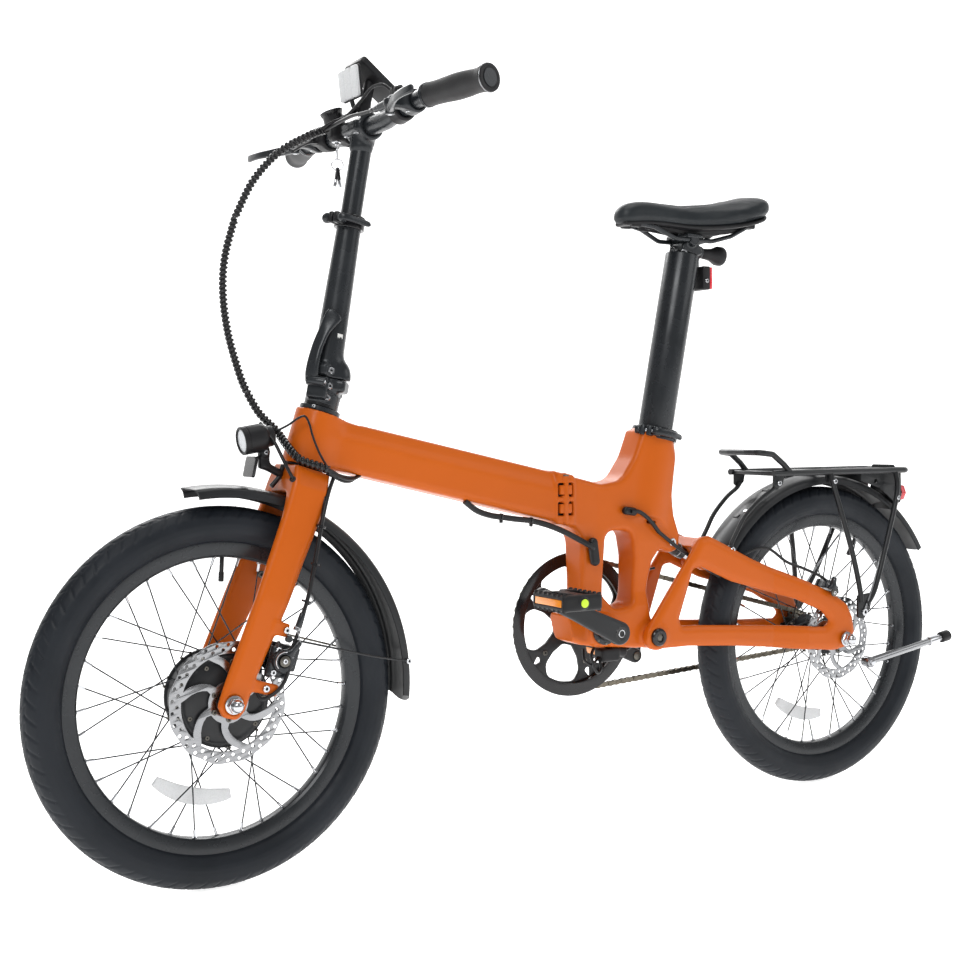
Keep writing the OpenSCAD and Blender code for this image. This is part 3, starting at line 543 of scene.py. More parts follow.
def ext(d2, y, h, r):
    a, b = d2 + r, np.abs(y) - h + r
    return np.minimum(np.maximum(a, b), 0) + np.hypot(np.maximum(a, 0), np.maximum(b, 0)) - r


def smin(a, b, k):
    h = np.clip(0.5 + 0.5 * (b - a) / k, 0, 1)
    return b * (1 - h) + a * h - k * h * (1 - h)


def smax(a, b, k):
    return -smin(-a, -b, k)


def sd_cyl(x, y, z, p, q, r, rnd=2.0):
    p, q = np.asarray(p, float), np.asarray(q, float)
    d = q - p; L = np.linalg.norm(d); d = d / L
    wx, wy, wz = x - p[0], y - p[1], z - p[2]
    t = wx * d[0] + wy * d[1] + wz * d[2]
    rr = np.sqrt(np.maximum(wx * wx + wy * wy + wz * wz - t * t, 0))
    a, b = rr - r + rnd, np.abs(t - L / 2) - L / 2 + rnd
    return np.minimum(np.maximum(a, b), 0) + np.hypot(np.maximum(a, 0), np.maximum(b, 0)) - rnd


def sd_box(x, y, z, lo, hi, rnd=2.0):
    lo, hi = np.asarray(lo, float), np.asarray(hi, float)
    c, h = (lo + hi) / 2, (hi - lo) / 2
    qx, qy, qz = np.abs(x - c[0]) - h[0] + rnd, np.abs(y - c[1]) - h[1] + rnd, np.abs(z - c[2]) - h[2] + rnd
    out = np.sqrt(np.maximum(qx, 0) ** 2 + np.maximum(qy, 0) ** 2 + np.maximum(qz, 0) ** 2)
    return out + np.minimum(np.maximum(qx, np.maximum(qy, qz)), 0) - rnd


def casting(name, f, lo, hi, h, mat, body=None, mtx=None):
    """A mesh of the surface f = 0, with every point moved onto it."""
    xs, ys, zs = (np.arange(lo[i], hi[i] + h, h) for i in range(3))
    V = np.empty((len(xs), len(ys), len(zs)), np.float32)
    V[:] = f(xs[:, None, None], ys[None, :, None], zs[None, None, :])
    S = V < 0
    nx, ny, nz = V.shape
    acc = np.zeros((nx - 1, ny - 1, nz - 1, 3), np.float32)
    cnt = np.zeros((nx - 1, ny - 1, nz - 1), np.float32)
    quads = []
    for ax in range(3):
        A = [slice(None)] * 3; B = [slice(None)] * 3
        A[ax] = slice(0, -1); B[ax] = slice(1, None)
        v0, v1 = V[tuple(A)], V[tuple(B)]
        cross = S[tuple(A)] != S[tuple(B)]
        idx = np.argwhere(cross)
        i0 = v0[cross]; i1 = v1[cross]
        t = i0 / (i0 - i1)
        p = idx.astype(np.float32)
        p[:, ax] += t
        b, c = (ax + 1) % 3, (ax + 2) % 3
        lim = np.array([nx - 1, ny - 1, nz - 1])
        for db in (0, -1):
            for dc in (0, -1):
                ci = idx.copy(); ci[:, b] += db; ci[:, c] += dc
                ok = np.all((ci >= 0) & (ci < lim), axis=1)
                k = ci[ok]
                np.add.at(acc, (k[:, 0], k[:, 1], k[:, 2]), p[ok])
                np.add.at(cnt, (k[:, 0], k[:, 1], k[:, 2]), 1)
        ok = (idx[:, b] > 0) & (idx[:, c] > 0) & (idx[:, b] < lim[b]) & (idx[:, c] < lim[c])
        e = idx[ok]
        neg = S[e[:, 0], e[:, 1], e[:, 2]]
        q = []
        for db, dc in ((-1, -1), (0, -1), (0, 0), (-1, 0)):
            ci = e.copy(); ci[:, b] += db; ci[:, c] += dc
            q.append((ci[:, 0] * (ny - 1) + ci[:, 1]) * (nz - 1) + ci[:, 2])
        q = np.stack(q, 1)
        q[~neg] = q[~neg][:, ::-1]
        quads.append(q)
    q = np.concatenate(quads)
    ids = np.unique(q)
    remap_ = np.zeros((nx - 1) * (ny - 1) * (nz - 1), np.int64)
    remap_[ids] = np.arange(len(ids))
    q = remap_[q]
    a = acc.reshape(-1, 3)[ids] / cnt.reshape(-1)[ids][:, None]
    P = a.astype(float) * h + np.array([xs[0], ys[0], zs[0]])
    for it in range(5):
        v = f(P[:, 0], P[:, 1], P[:, 2])
        e = 0.25
        g = np.stack([(f(P[:, 0] + dx, P[:, 1] + dy, P[:, 2] + dz) - f(P[:, 0] - dx, P[:, 1] - dy, P[:, 2] - dz)) / (2 * e)
                      for dx, dy, dz in ((e, 0, 0), (0, e, 0), (0, 0, e))], 1)
        g2 = np.maximum(np.sum(g * g, 1), 0.2)
        step = (v / g2)[:, None] * g
        ln = np.linalg.norm(step, axis=1)
        step *= np.minimum(1, (h * 0.7) / np.maximum(ln, 1e-9))[:, None]
        P -= step * (0.85 if it < 3 else 1.0)
    v = P
    if mtx is not None:
        m = np.array(mtx)
        v = v @ m[:3, :3].T + m[:3, 3]
    me = bpy.data.meshes.new(name)
    me.vertices.add(len(v)); me.vertices.foreach_set("co", (v * MM).ravel())
    me.loops.add(len(q) * 4); me.loops.foreach_set("vertex_index", q.ravel().astype(np.int32))
    me.polygons.add(len(q))
    me.polygons.foreach_set("loop_start", np.arange(0, len(q) * 4, 4, dtype=np.int32))
    me.update(calc_edges=True)
    me.validate()
    o = bpy.data.objects.new(name, me)
    bpy.context.collection.objects.link(o)
    me.materials.append(mat)
    me.polygons.foreach_set("use_smooth", [True] * len(me.polygons))
    if body:
        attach(o, body)
    return o


def many(name, items, mat, body=None, sides=8, mtx=None):
    """Many thin straight rods (p, q, r) in one mesh."""
    V, F = [], []
    base = 0
    for p, q, r in items:
        v, f = sweep(np.array([p, q], float), r, sides)
        V.append(v); F += [tuple(i + base for i in g) for g in f]
        base += len(v)
    return put(name, np.concatenate(V), F, mat, body, True, 40, mtx)


def sd_rod(x, y, z, a, b, r):
    a, b = np.asarray(a, float), np.asarray(b, float)
    d = b - a
    t = np.clip(((x - a[0]) * d[0] + (y - a[1]) * d[1] + (z - a[2]) * d[2]) / float(d @ d), 0, 1)
    return np.sqrt((x - a[0] - t * d[0]) ** 2 + (y - a[1] - t * d[1]) ** 2 + (z - a[2] - t * d[2]) ** 2) - r


def to_local(x, y, z, origin, ang):
    """Points seen from a frame at origin that leans back by ang."""
    a = math.radians(ang)
    dx, dz = x - origin[0], z - origin[2]
    return dx * math.cos(a) - dz * math.sin(a), y, dx * math.sin(a) + dz * math.cos(a)


RES = 2.3

# ================================================================== rear half of the frame
RF = [[0.3, 535.8], [70, 519.5], [100, 521], [120, 535], [138, 562], [152, 588], [186, 588], [216, 562], [207, 500],
      [211, 467], [219, 440], [221, 425], [215, 412], [203, 409], [186, 414], [170, 399], [160, 353], [166, 310], [178, 298], [180, 281],
      [176, 266], [140, 264], [74, 271], [34, 277], [4, 288], [-2, 303], [6, 322], [33, 333], [33, 451], [18, 459], [0.3, 461]]
RF_S = fillet([(0.3, 535.8, 0), (72, 519.0, 30), (108, 524, 34), (134, 560, 60), (150, 600, 4), (188, 600, 6), (213, 562, 30), (207, 500, 40),
               (212, 466, 30), (223, 436, 12), (220, 412, 9), (203, 408, 10), (184, 415, 10), (170, 397, 20), (160, 352, 60), (166, 308, 16), (180, 296, 10),
               (182, 272, 10), (172, 263, 8), (140, 263, 20), (74, 270, 10), (34, 276, 20), (2, 288, 10), (-4, 305, 10), (6, 322, 10), (34, 334, 12), (33.5, 440, 40),
               (12, 458.5, 26), (0.3, 461, 0)], 6)
RF_SLOT = fillet([(78, 447, 16), (128, 447, 18), (134, 405, 30), (131, 330, 14), (96, 326, 16), (75, 348, 14)], 6)


def f_rear(x, y, z):
    d2 = sd_poly(x, z, RF_S)
    wide = 26 + 4 * np.clip((60 - x) / 60, 0, 1) * np.clip((z - 440) / 20, 0, 1) - 3.5 * np.clip((430 - z) / 60, 0, 1) * np.clip((z - 330) / 20, 0, 1)
    d = ext(d2, y, wide, 8.5)
    sx, sy, sz = to_local(x, y, z, SEAT0, SANG)
    r = np.hypot(sx, sy)
    post = np.maximum(r - 31, np.abs(sz + 66) - 66)
    d = smin(d, post, 18)
    d = smin(d, sd_cyl(x, y, z, (68, -34, 298), (68, 34, 298), 25, 2), 9)
    d = smin(d, sd_cyl(x, y, z, (163, -30, 281), (163, 30, 281), 18, 3), 8)
    ear = sd_cyl(x, np.abs(y), z, (206, 11.6, 425), (206, 22, 425), 13.5, 2.5)
    d = smin(d, ear, 4)
    end = ext(sd_poly(x, z, [[0.3, 535.8], [14, 532.6], [14, 459], [0.3, 461]]), y, 29.6, 3)
    d = smin(d, end, 9)
    # openings
    slot = ext(sd_poly(x, z, RF_SLOT), y, 80, 0)
    d = smax(d, -slot, 9)
    d = np.maximum(d, -np.maximum(r - 27.05, np.abs(sz + 65) - 80))
    slit = np.maximum(np.maximum(np.abs(sy) - 1.3, 10 - sx), np.abs(sz + 12) - 16)
    hole = np.maximum(np.hypot(sz + 28, sy) - 3, 10 - sx)
    d = np.maximum(d, -np.minimum(slit, hole))
    d = np.maximum(d, -(np.maximum(np.hypot(x - 68, z - 298) - 17.5, np.abs(y) - 60)))
    d = smax(d, -(np.maximum(np.hypot(x - 206, z - 425) - 14.5, np.abs(y) - 11.6)), 1.5)
    ca, sa_ = math.cos(math.radians(-27.24)), math.sin(math.radians(-27.24))
    ux, uz = (x - 206) * ca + (z - 425) * sa_, -(x - 206) * sa_ + (z - 425) * ca
    d = smax(d, -np.maximum(np.maximum(np.abs(y) - 11.6, np.abs(uz - 1) - 13.5), np.maximum(-4 - ux, ux - 70)), 1.5)
    d = np.maximum(d, 0.35 - x + np.clip((350 - z) / 4, 0, 20))
    # recess for the hinge leaves on the left face
    d = np.maximum(d, -sd_box(x, y, z, (-10, -40, 473.8), (13.5, -23.5, 495.2), 2.5))
    d = np.maximum(d, -sd_box(x, y, z, (-10, -40, 501.8), (13.5, -23.5, 523.2), 2.5))
    # grommet seats
    d = smax(d, -sd_rod(x, y, z, (48, -32, 408), (48, -32, 429), 6.5), 1.5)
    return d


rear = casting("frame_rear_half", f_rear, (-10, -44, 252), (232, 44, 606), RES, ORANGE, "rear_frame")
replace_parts(rear, "rear_frame")

# ================================================================== front half of the frame
FB_S = fillet([(-408, 612, 8), (-396, 621.6, 6), (-366, 616.5, 30), (-0.3, 535.9, 0), (-0.3, 461, 0), (-343, 541.5, 60), (-409, 553, 6)], 5)


def f_front(x, y, z):
    d2 = sd_poly(x, z, FB_S)
    # the beam's sides lean in towards the top, with a broad facet along the upper edge
    body_ = ext(d2, y, 28.5, 6)
    a = math.atan2(80.7, 366)
    up = (z - 535.9) * math.cos(a) + (x + 0.3) * math.sin(a)
    facet = (np.abs(y) - 28.5 + (up + 20) * 0.52) * 0.885
    low = (np.abs(y) - 28.5 + (-up - 66) * 0.9) * 0.74
    body_ = smax(body_, facet, 5)
    body_ = smax(body_, low, 5)
    lx, ly, lz = to_local(x, y, z, CROWN, HEAD)
    r = np.hypot(lx, ly)
    tube_ = np.maximum(r - 31.5, np.abs(lz - 42.5) - 37.5)
    d = smin(body_, tube_, 14)
    d = np.maximum(d, np.where(r < 60, np.abs(lz - 42.5) - 37.5, -9.0))
    end = ext(sd_poly(x, z, [[-0.3, 535.9], [-14, 538.9], [-14, 462.5], [-0.3, 461]]), y, 29.6, 3)
    d = smin(d, end, 9)
    d = np.maximum(d, -np.maximum(r - 24.1, np.abs(lz - 40) - 60))
    d = np.maximum(d, x + 0.35)
    d = np.maximum(d, -sd_box(x, y, z, (-13.5, -40, 473.8), (10, -23.5, 495.2), 2.5))
    d = np.maximum(d, -sd_box(x, y, z, (-13.5, -40, 501.8), (10, -23.5, 523.2), 2.5))
    return d


front = casting("frame_front_half", f_front, (-452, -44, 452), (4, 44, 638), RES, ORANGE, "front_frame")
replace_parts(front, "front_beam")

# hinge leaves: orange blocks in recesses, either side of the fold line; the near-black plates on the recess floors are
# painted shade
for k, (z0, z1) in enumerate([(477.5, 491.5), (505.5, 519.5)]):
    o = box("hinge_leaf_%d" % k, (-10.5, -31.8, z0), (10.5, -24, z1), ORANGE, "front_frame", 1.6)
    # near-black plastic plates on the recess floor round each leaf: painted shade in the recesses
    o = box("hinge_backing_%d" % k, (0.6, -25.0, z0 - 3), (13.0, -23.6, z1 + 3), PLASTIC, "rear_frame", 0.4)
    o = box("hinge_backing_f_%d" % k, (-13.0, -25.0, z0 - 3), (-0.6, -23.6, z1 + 3), PLASTIC, "front_frame", 0.4)
for k, (z0, z1) in enumerate([(463.5, 474), (493, 504), (523, 532.5)]):
    o = lathe("hinge_barrel_%d" % k, [(4.1, z0), (6.8, z0), (7.6, z0 + 0.8), (7.6, z1 - 0.8), (6.8, z1), (4.1, z1)], ORANGE, "rear_frame", (0, -26, 0), "Z", 32, True)

# ================================================================== fork
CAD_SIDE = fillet([(-27, 3, 3), (25, 3, 3), (24, -60, 40), (10, -170, 200), (-9, -280, 60), (-12, -326, 10), (-20, -340, 10), (-40, -340, 10), (-50, -328, 10), (-49, -300, 30), (-37, -170, 200), (-28, -60, 60)], 6)
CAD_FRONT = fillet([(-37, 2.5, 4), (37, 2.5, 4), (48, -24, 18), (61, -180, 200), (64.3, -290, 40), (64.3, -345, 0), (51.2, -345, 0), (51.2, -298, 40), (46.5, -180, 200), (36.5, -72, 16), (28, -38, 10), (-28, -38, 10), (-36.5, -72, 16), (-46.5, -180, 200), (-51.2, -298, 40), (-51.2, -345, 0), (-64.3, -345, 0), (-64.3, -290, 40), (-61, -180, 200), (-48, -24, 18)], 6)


def f_fork(x, y, z):
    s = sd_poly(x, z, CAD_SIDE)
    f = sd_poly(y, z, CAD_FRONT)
    d = smax(s, f, 7.0)
    # facets down the outer faces of both blades
    cx = -2 + (z + 40) * 0.105
    ridge = (np.abs(x - cx) - 25 + np.clip((-z - 60) / 12, 0, 5)) * 0.62 + (np.abs(y) - (47 + np.clip(-z - 24, 0, 160) * 0.083)) * 0.78
    d = smax(d, ridge, 3.5)
    d = smin(d, sd_box(x, y, z, (-20, -62, -300), (24, -53, -284), 3), 4)
    d = smin(d, sd_box(x, y, z, (-8, -62, -222), (16, -53, -204), 3), 4)
    d = np.maximum(d, -np.maximum(np.hypot(x + 31.6, z + 320.8) - 6.4, -(100 - np.abs(y))))
    d = smax(d, -np.maximum(np.hypot(x + 31.6, z + 320.8) - 13.5, 62.6 - np.abs(y)), 1)
    return d


fork = casting("fork", f_fork, (-56, -70, -350), (34, 70, 10), RES * 0.9, ORANGE, "fork", mtx=M_FORK)
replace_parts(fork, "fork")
cyl("steerer", (0, 0, 0), (0, 0, 117), 14.25, BLACK_ALLOY, "fork", mtx=M_FORK)
# two bolts on the caliper side
for q in [(-2, -292), (4, -213)]:
    screw_head("caliper_bolt_%d" % int(abs(q[1])), (q[0] + 8, -62, q[1]), (0, -1, 0), 4.6, 4.2, CHROME, "fork", "cap", M_FORK)

# ================================================================== swingarm
SW_SIDE = fillet([(150, 264, 14), (163, 261.5, 0), (226, 261.5, 20), (307, 255.5, 200), (436, 241, 200), (520, 233, 60), (549, 239, 14), (562, 262, 14), (557, 288, 20), (546, 309, 12), (511, 332, 24),
                  (444, 359, 200), (356, 393, 200), (284, 426, 14), (266, 434, 14), (247, 430, 12), (238, 416, 30), (148, 296, 14), (143, 280, 12)], 6)
SW_WIN = fillet([(208, 306, 0), (212, 293.5, 8), (240, 293.5, 8), (497, 275, 5), (508, 283, 4), (492, 299.5, 8), (443, 322.5, 100), (313, 358.5, 60), (252, 385, 10), (236, 383, 10)], 6)


def sw_out_y(x):
    return np.interp(x, [140, 190, 400, 462, 560, 610], [44.4, 44.6, 47, 64, 71.5, 71.5])


def sw_in_y(x):
    return np.interp(x, [140, 190, 260, 410, 478, 560, 610], [31, 31, 34, 37.5, 57, 60.5, 60.5])


def f_swing(x, y, z):
    ay = np.abs(y)
    s = sd_poly(x, z, SW_SIDE)
    w = sd_poly(x, z, SW_WIN)
    p = smax(s, -w, 0.5)
    oy, iy = sw_out_y(x), sw_in_y(x)
    mid, half = (oy + iy) / 2, (oy - iy) / 2
    slab = (np.abs(ay - mid) - half) * 0.97
    d = smax(p, slab, 6.0)
    # a soft facet running along both rails
    d = smax(d, (p + 5) * 0.45 + (ay - oy) * 0.89 + 1.2, 2.5)
    d = smin(d, sd_cyl(x, ay, z, (163, 31.2, 281), (163, 44.4, 281), 19.5, 3), 6)
    d = smin(d, sd_box(x, y, z, (196, -36, 267), (226, 36, 288), 5), 10)
    br = ext(sd_poly(x, z, [[240, 416], [254, 430], [282, 424], [287, 404], [262, 402]]), y, 36, 5)
    d = smin(d, br, 8)
    ear = np.abs(ay - 17.2) - 5
    lug = smax(np.hypot(x - 274, z - 390) - 13, ear, 2)
    lug2 = smax(sd_box(x, ay, z, (262, 12, 390), (288, 22.2, 412), 2), ear, 1)
    d = smin(d, np.minimum(lug, lug2), 3)
    # the dropout: a rounded hood over the axle slot
    d = np.maximum(d, -np.maximum(np.hypot(x - 538, z - 252) - 6.4, 40 - ay))
    d = smax(d, -np.maximum(np.hypot(x - 538, z - 252) - 13.5, 70.0 - ay), 1)
    d = smax(d, -sd_cyl(x, y, z, (163, -60, 281), (163, -41, 281), 12.6, 0.5), 1)
    d = smax(d, -np.maximum(np.hypot(x - 274, z - 390) - 14.0, ay - 11.8), 1)
    return d


swing = casting("swingarm", f_swing, (136, -78, 226), (570, 78, 440), RES, ORANGE, "swingarm")
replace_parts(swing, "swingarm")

# ================================================================== wheels
def tyre(name, x0, body, seed):
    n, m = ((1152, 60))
    th = np.linspace(0, 2 * math.pi, n, endpoint=False)
    ph = np.radians(np.linspace(-139, 139, m))
    T, P = np.meshgrid(th, ph, indexing="ij")
    u = T / (2 * math.pi)
    ap = np.abs(np.degrees(P))
    side = np.sign(P + 1e-9)
    # tread: two rows of slanted grooves on each shoulder, staggered left and right, and three fine ribs along the middle
    ph1 = (u * 74 + 0.25 * side - (ap - 22) * 0.016) % 1.0
    g1 = np.clip(1 - np.abs(ph1 - 0.5) / 0.13, 0, 1) * np.clip((ap - 21) / 3, 0, 1) * np.clip((66 - ap) / 5, 0, 1)
    ph2 = (u * 74 + 0.75 - 0.25 * side + (ap - 8) * 0.02) % 1.0
    g2 = np.clip(1 - np.abs(ph2 - 0.5) / 0.10, 0, 1) * np.clip((ap - 7) / 2, 0, 1) * np.clip((24 - ap) / 3, 0, 1)
    rib = np.clip(1 - np.abs(ap - 25) / 1.9, 0, 1) + np.clip(1 - np.abs(ap - 5.5) / 1.8, 0, 1)
    edge = np.clip(1 - np.abs(ap - 70) / 2.2, 0, 1)
    line = np.clip(1 - np.abs(ap - 92) / 1.6, 0, 1) * 0.35 - np.clip(1 - np.abs(ap - 112) / 2.6, 0, 1) * 0.8
    depth = 1.35 * np.clip(g1 + g2, 0, 1) + 0.9 * np.clip(rib, 0, 1) + 0.5 * edge + line
    sec = 25.7 - depth
    sec = sec + 0.6 * np.exp(-((ap - 62) / 7.0) ** 2)
    R = 226.3 + sec * np.cos(P)
    Y = sec * np.sin(P)
    V = np.stack([x0 + R * np.cos(T), Y, AZ + R * np.sin(T)], -1)
    inner = [(208.0, 17.4), (203.2, 11.0), (203.2, -11.0), (208.0, -17.4)]
    W = np.stack([np.stack([x0 + r * np.cos(th), np.full(n, y), AZ + r * np.sin(th)], -1) for r, y in inner], 1)
    V = np.concatenate([V, W], 1)
    k = V.shape[1]
    idx = np.arange(n * k).reshape(n, k)
    a, b = idx, np.roll(idx, -1, 0)
    c, d = np.roll(a, -1, 1), np.roll(b, -1, 1)
    F = np.stack([a, c, d, b], -1).reshape(-1, 4)
    V = V.reshape(-1, 3)
    # the little moulding hairs
    rs = np.random.RandomState(seed)
    hv, hf = [], []
    base = len(V)
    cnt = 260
    for i in range(cnt):
        t = 2 * math.pi * (i + 0.3 * rs.rand()) / cnt
        p = math.radians(rs.choice([-58, -34, 0.5, 34, 58]) + rs.uniform(-3, 3))
        nrm = np.array([math.cos(p) * math.cos(t), math.sin(p), math.cos(p) * math.sin(t)])
        p0 = np.array([x0 + (226.3 + 24.6 * math.cos(p)) * math.cos(t), 24.6 * math.sin(p), AZ + (226.3 + 24.6 * math.cos(p)) * math.sin(t)])
        tg = np.array([-math.sin(t), 0, math.cos(t)]) * rs.uniform(-1.2, 1.2) + np.array([0, 1, 0]) * rs.uniform(-.6, .6)
        p1 = p0 + nrm * rs.uniform(2.0, 3.6) + tg * 0.5
        v, f = sweep(np.array([p0, (p0 + p1) / 2 + nrm * 0.3, p1]), [0.32, 0.26, 0.1], 4)
        hv.append(v); hf += [tuple(j + base for j in g) for g in f]
        base += len(v)
    if hv:
        V = np.concatenate([V] + hv)
    o = put(name, V, [tuple(q) for q in F.tolist()] + hf, RUBBER, None, True, None)
    sharp(o, 38)
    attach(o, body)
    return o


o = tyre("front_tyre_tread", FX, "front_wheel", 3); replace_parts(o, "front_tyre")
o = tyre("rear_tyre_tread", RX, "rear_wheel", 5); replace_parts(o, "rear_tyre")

RIM = [(209, -12.4), (209.4, -11.6), (208.9, -10.9), (203, -10.6), (199, -5), (198.5, 0), (199, 5), (203, 10.6), (208.9, 10.9), (209.4, 11.6), (209, 12.4), (207, 12.8), (197, 12.6), (188, 10.2), (185.2, 7.6), (184.3, 5.2),
       (184.3, -5.2), (185.2, -7.6), (188, -10.2), (197, -12.6), (207, -12.8)]


def wheel(x0, body, pre, hub_r, off, fl, fr, node):
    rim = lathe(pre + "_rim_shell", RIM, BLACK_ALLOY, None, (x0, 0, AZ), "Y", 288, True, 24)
    sp, nip, holes, heads = [], [], [], []
    n = 36
    for k in range(n):
        side = 1 if k % 2 == 0 else -1
        y = fl if k % 2 == 0 else fr
        lead = 1 if (k // 2) % 2 == 0 else -1
        a = 2 * math.pi * k / n
        b = a + lead * math.radians(off)
        p0 = np.array([x0 + hub_r * math.cos(b), -side * (y + lead * 1.6), AZ + hub_r * math.sin(b)])
        p1 = np.array([x0 + 184.0 * math.cos(a), -side * 3.0, AZ + 184.0 * math.sin(a)])
        d = (p0 - p1) / np.linalg.norm(p0 - p1)
        sp.append((p0, p1, 1.0))
        nip.append((p1 - d * 1.5, p1 + d * 11, 1.75))
        holes.append((p1 - d * 2, p1 + d * 0.6, 3.0))
        y2 = -side * (y + lead * 3.2)
        heads.append(((p0[0], y2, p0[2]), (p0[0], -side * (y - 2.2), p0[2]), 1.9))
    s = many(pre + "_spokes", sp, BLACK_ALLOY, body, 8)
    many(pre + "_nipples", nip, CHROME, body, 8)
    many(pre + "_eyelets", holes, STEEL, body, 12)
    many(pre + "_spoke_heads", heads, DARKSTEEL, body, 8)
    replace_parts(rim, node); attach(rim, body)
    # valve between two spokes, pointing at the hub
    a = math.radians(86.9 if pre == "front" else 59.7)
    c, s_ = math.cos(a), math.sin(a)
    q = lambda r, y=0: (x0 + r * c, y, AZ + r * s_)
    cyl(pre + "_valve", q(186), q(163), 2.9, HARD_RUBBER, body, 16)
    cyl(pre + "_valve_cap", q(165), q(152), 3.6, PLASTIC, body, 16, 1.2)
    return rim


wheel(FX, "front_wheel", "front", 62.4, 36, 28, 28, "front_rim")
wheel(RX, "rear_wheel", "rear", 33.0, 60, 27, 25, "rear_rim")


def spoke_reflector(name, x0, a_deg, body, y, rad=132, span=22):
    """Clear moulded arc clipped between spokes."""
    a = math.radians(a_deg)
    pts_o, pts_i = [], []
    for i in range(17):
        t = a + math.radians(span * (i / 8 - 1))
        w = 7.5 * math.sqrt(max(0, 1 - ((i - 8) / 8.6) ** 2)) + 3.5
        pts_o.append((math.cos(t) * (rad + w), math.sin(t) * (rad + w)))
        pts_i.append((math.cos(t) * (rad - w), math.sin(t) * (rad - w)))
    m = Matrix.Translation((x0, y, AZ)) @ Matrix.Rotation(math.radians(90), 4, "X")
    o = plate(name, [pts_o + pts_i[::-1]], 6.5, CLEAR, body, m, 1.0)
    return o


spoke_reflector("front_wheel_reflector", FX, -106, "front_wheel", 0, 131, 24)
spoke_reflector("rear_wheel_reflector", RX, -107, "rear_wheel", 0, 137, 22)

# hub motor
MOTOR = [(6.3, -46), (12, -46), (14, -45), (14.5, -42), (16, -41.5), (16, -40), (24, -39.6), (26, -39), (40, -38.4), (47, -37.4), (54, -35.4), (57.5, -33), (59, -31), (59.2, -30.2), (61.2, -30), (61.5, -29.4), (61.5, -26.6), (61.2, -26), (59.2, -25.6),
         (58.8, -24), (58.8, 24), (59.2, 25.6), (61.2, 26), (61.5, 26.6), (61.5, 29.4), (61.2, 30), (59.2, 30.2), (59, 31), (57, 33.5), (50, 36.6), (40, 38.6), (26, 40), (16, 42), (14.5, 44), (13.5, 47.4), (12, 48), (6.3, 48)]
o = lathe("motor_shell", MOTOR, BLACK_PAINT, "front_wheel", (FX, 0, AZ), "Y", 160, True, 26)
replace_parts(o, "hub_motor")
for i in range(9):
    t = 2 * math.pi * i / 9
    screw_head("motor_screw_%d" % i, (FX + 52 * math.cos(t), -35.8, AZ + 52 * math.sin(t)), (0, -1, 0), 3.0, 1.6, DARKSTEEL, "front_wheel", "cap")
    screw_head("motor_screw_r%d" % i, (FX + 52 * math.cos(t), 35.6, AZ + 52 * math.sin(t)), (0, 1, 0), 3.0, 1.6, DARKSTEEL, "front_wheel", "cap")
RHUB = [(6.3, -54), (13, -54), (14, -53), (16, -53), (16, -48), (24.5, -48), (25, -47.5), (25, -44.5), (24, -44), (20, -42), (18.5, -40), (18.5, -31), (21, -29.4), (30.5, -29), (31, -28.4), (31, -25.6), (30.5, -25), (22, -24.6), (17, -20),
        (16.4, 0), (17, 19), (22, 22.6), (30.5, 23), (31, 23.6), (31, 26.4), (30.5, 27), (22, 28), (20, 30), (20, 43.6), (19, 44), (6.3, 44)]
o = lathe("rear_hub_shell", RHUB, BLACK_ALLOY, "rear_wheel", (RX, 0, AZ), "Y", 96, True, 26)
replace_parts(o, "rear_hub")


def rotor(name, x0, y, r, n, arms, body, node, phase):
    outer = []
    for i in range(432):
        a = 2 * math.pi * i / 432
        outer.append(((r - 0.9 + 0.9 * math.cos(12 * a)) * math.cos(a), (r - 0.9 + 0.9 * math.cos(12 * a)) * math.sin(a)))
    band_in = r - 16.5
    loops = [outer]
    # windows between the swept arms
    for i in range(arms):
        a0 = 2 * math.pi * i / arms
        w = []
        ro, ri = band_in, 27.5
        for j in range(9):
            t = a0 + (0.10 + 0.80 * j / 8) * 2 * math.pi / arms + 0.55
            w.append((ro * math.cos(t), ro * math.sin(t)))
        for j in range(5):
            f = (j + 1) / 6
            rr = ro + (ri - ro) * f
            t = a0 + 0.90 * 2 * math.pi / arms + 0.55 * (1 - f) ** 1.4 - 0.02 * f
            w.append((rr * math.cos(t), rr * math.sin(t)))
        for j in range(4):
            t = a0 + (0.86 - 0.62 * j / 3) * 2 * math.pi / arms
            w.append((ri * math.cos(t), ri * math.sin(t)))
        for j in range(4, -1, -1):
            f = (j + 1) / 6
            rr = ro + (ri - ro) * f
            t = a0 + 0.20 * 2 * math.pi / arms + 0.55 * (1 - f) ** 1.4 - 0.06
            w.append((rr * math.cos(t), rr * math.sin(t)))
        loops.append(w)
    for i in range(n):
        a = 2 * math.pi * i / n
        loops.append(circle2(2.5, 14, ((r - 5) * math.cos(a), (r - 5) * math.sin(a))))
        a += math.pi / n
        loops.append(circle2(2.5, 14, ((r - 11.5) * math.cos(a), (r - 11.5) * math.sin(a))))
    loops.append(circle2(16.4, 40))
    m = Matrix.Translation((x0, y - 0.9, AZ)) @ Matrix.Rotation(math.radians(90), 4, "X") @ Matrix.Rotation(phase, 4, "Z")
    o = plate(name, loops, 1.8, STEEL, body, m, 0.22, bseg=1)
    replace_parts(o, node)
    for i in range(6):
        a = math.radians(60 * i + 30)
        screw_head(name + "_bolt_%d" % i, (x0 + 22 * math.cos(a), y - 1.8, AZ + 22 * math.sin(a)), (0, -1, 0), 3.6, 2.2, DARKSTEEL, body, "cap")
    return o


rotor("front_brake_disc", FX, -43.2, 80, 30, 6, "front_wheel", "front_rotor", 0.3)
rotor("rear_brake_disc", RX, -50.6, 70, 26, 6, "rear_wheel", "rear_rotor", 0.1)


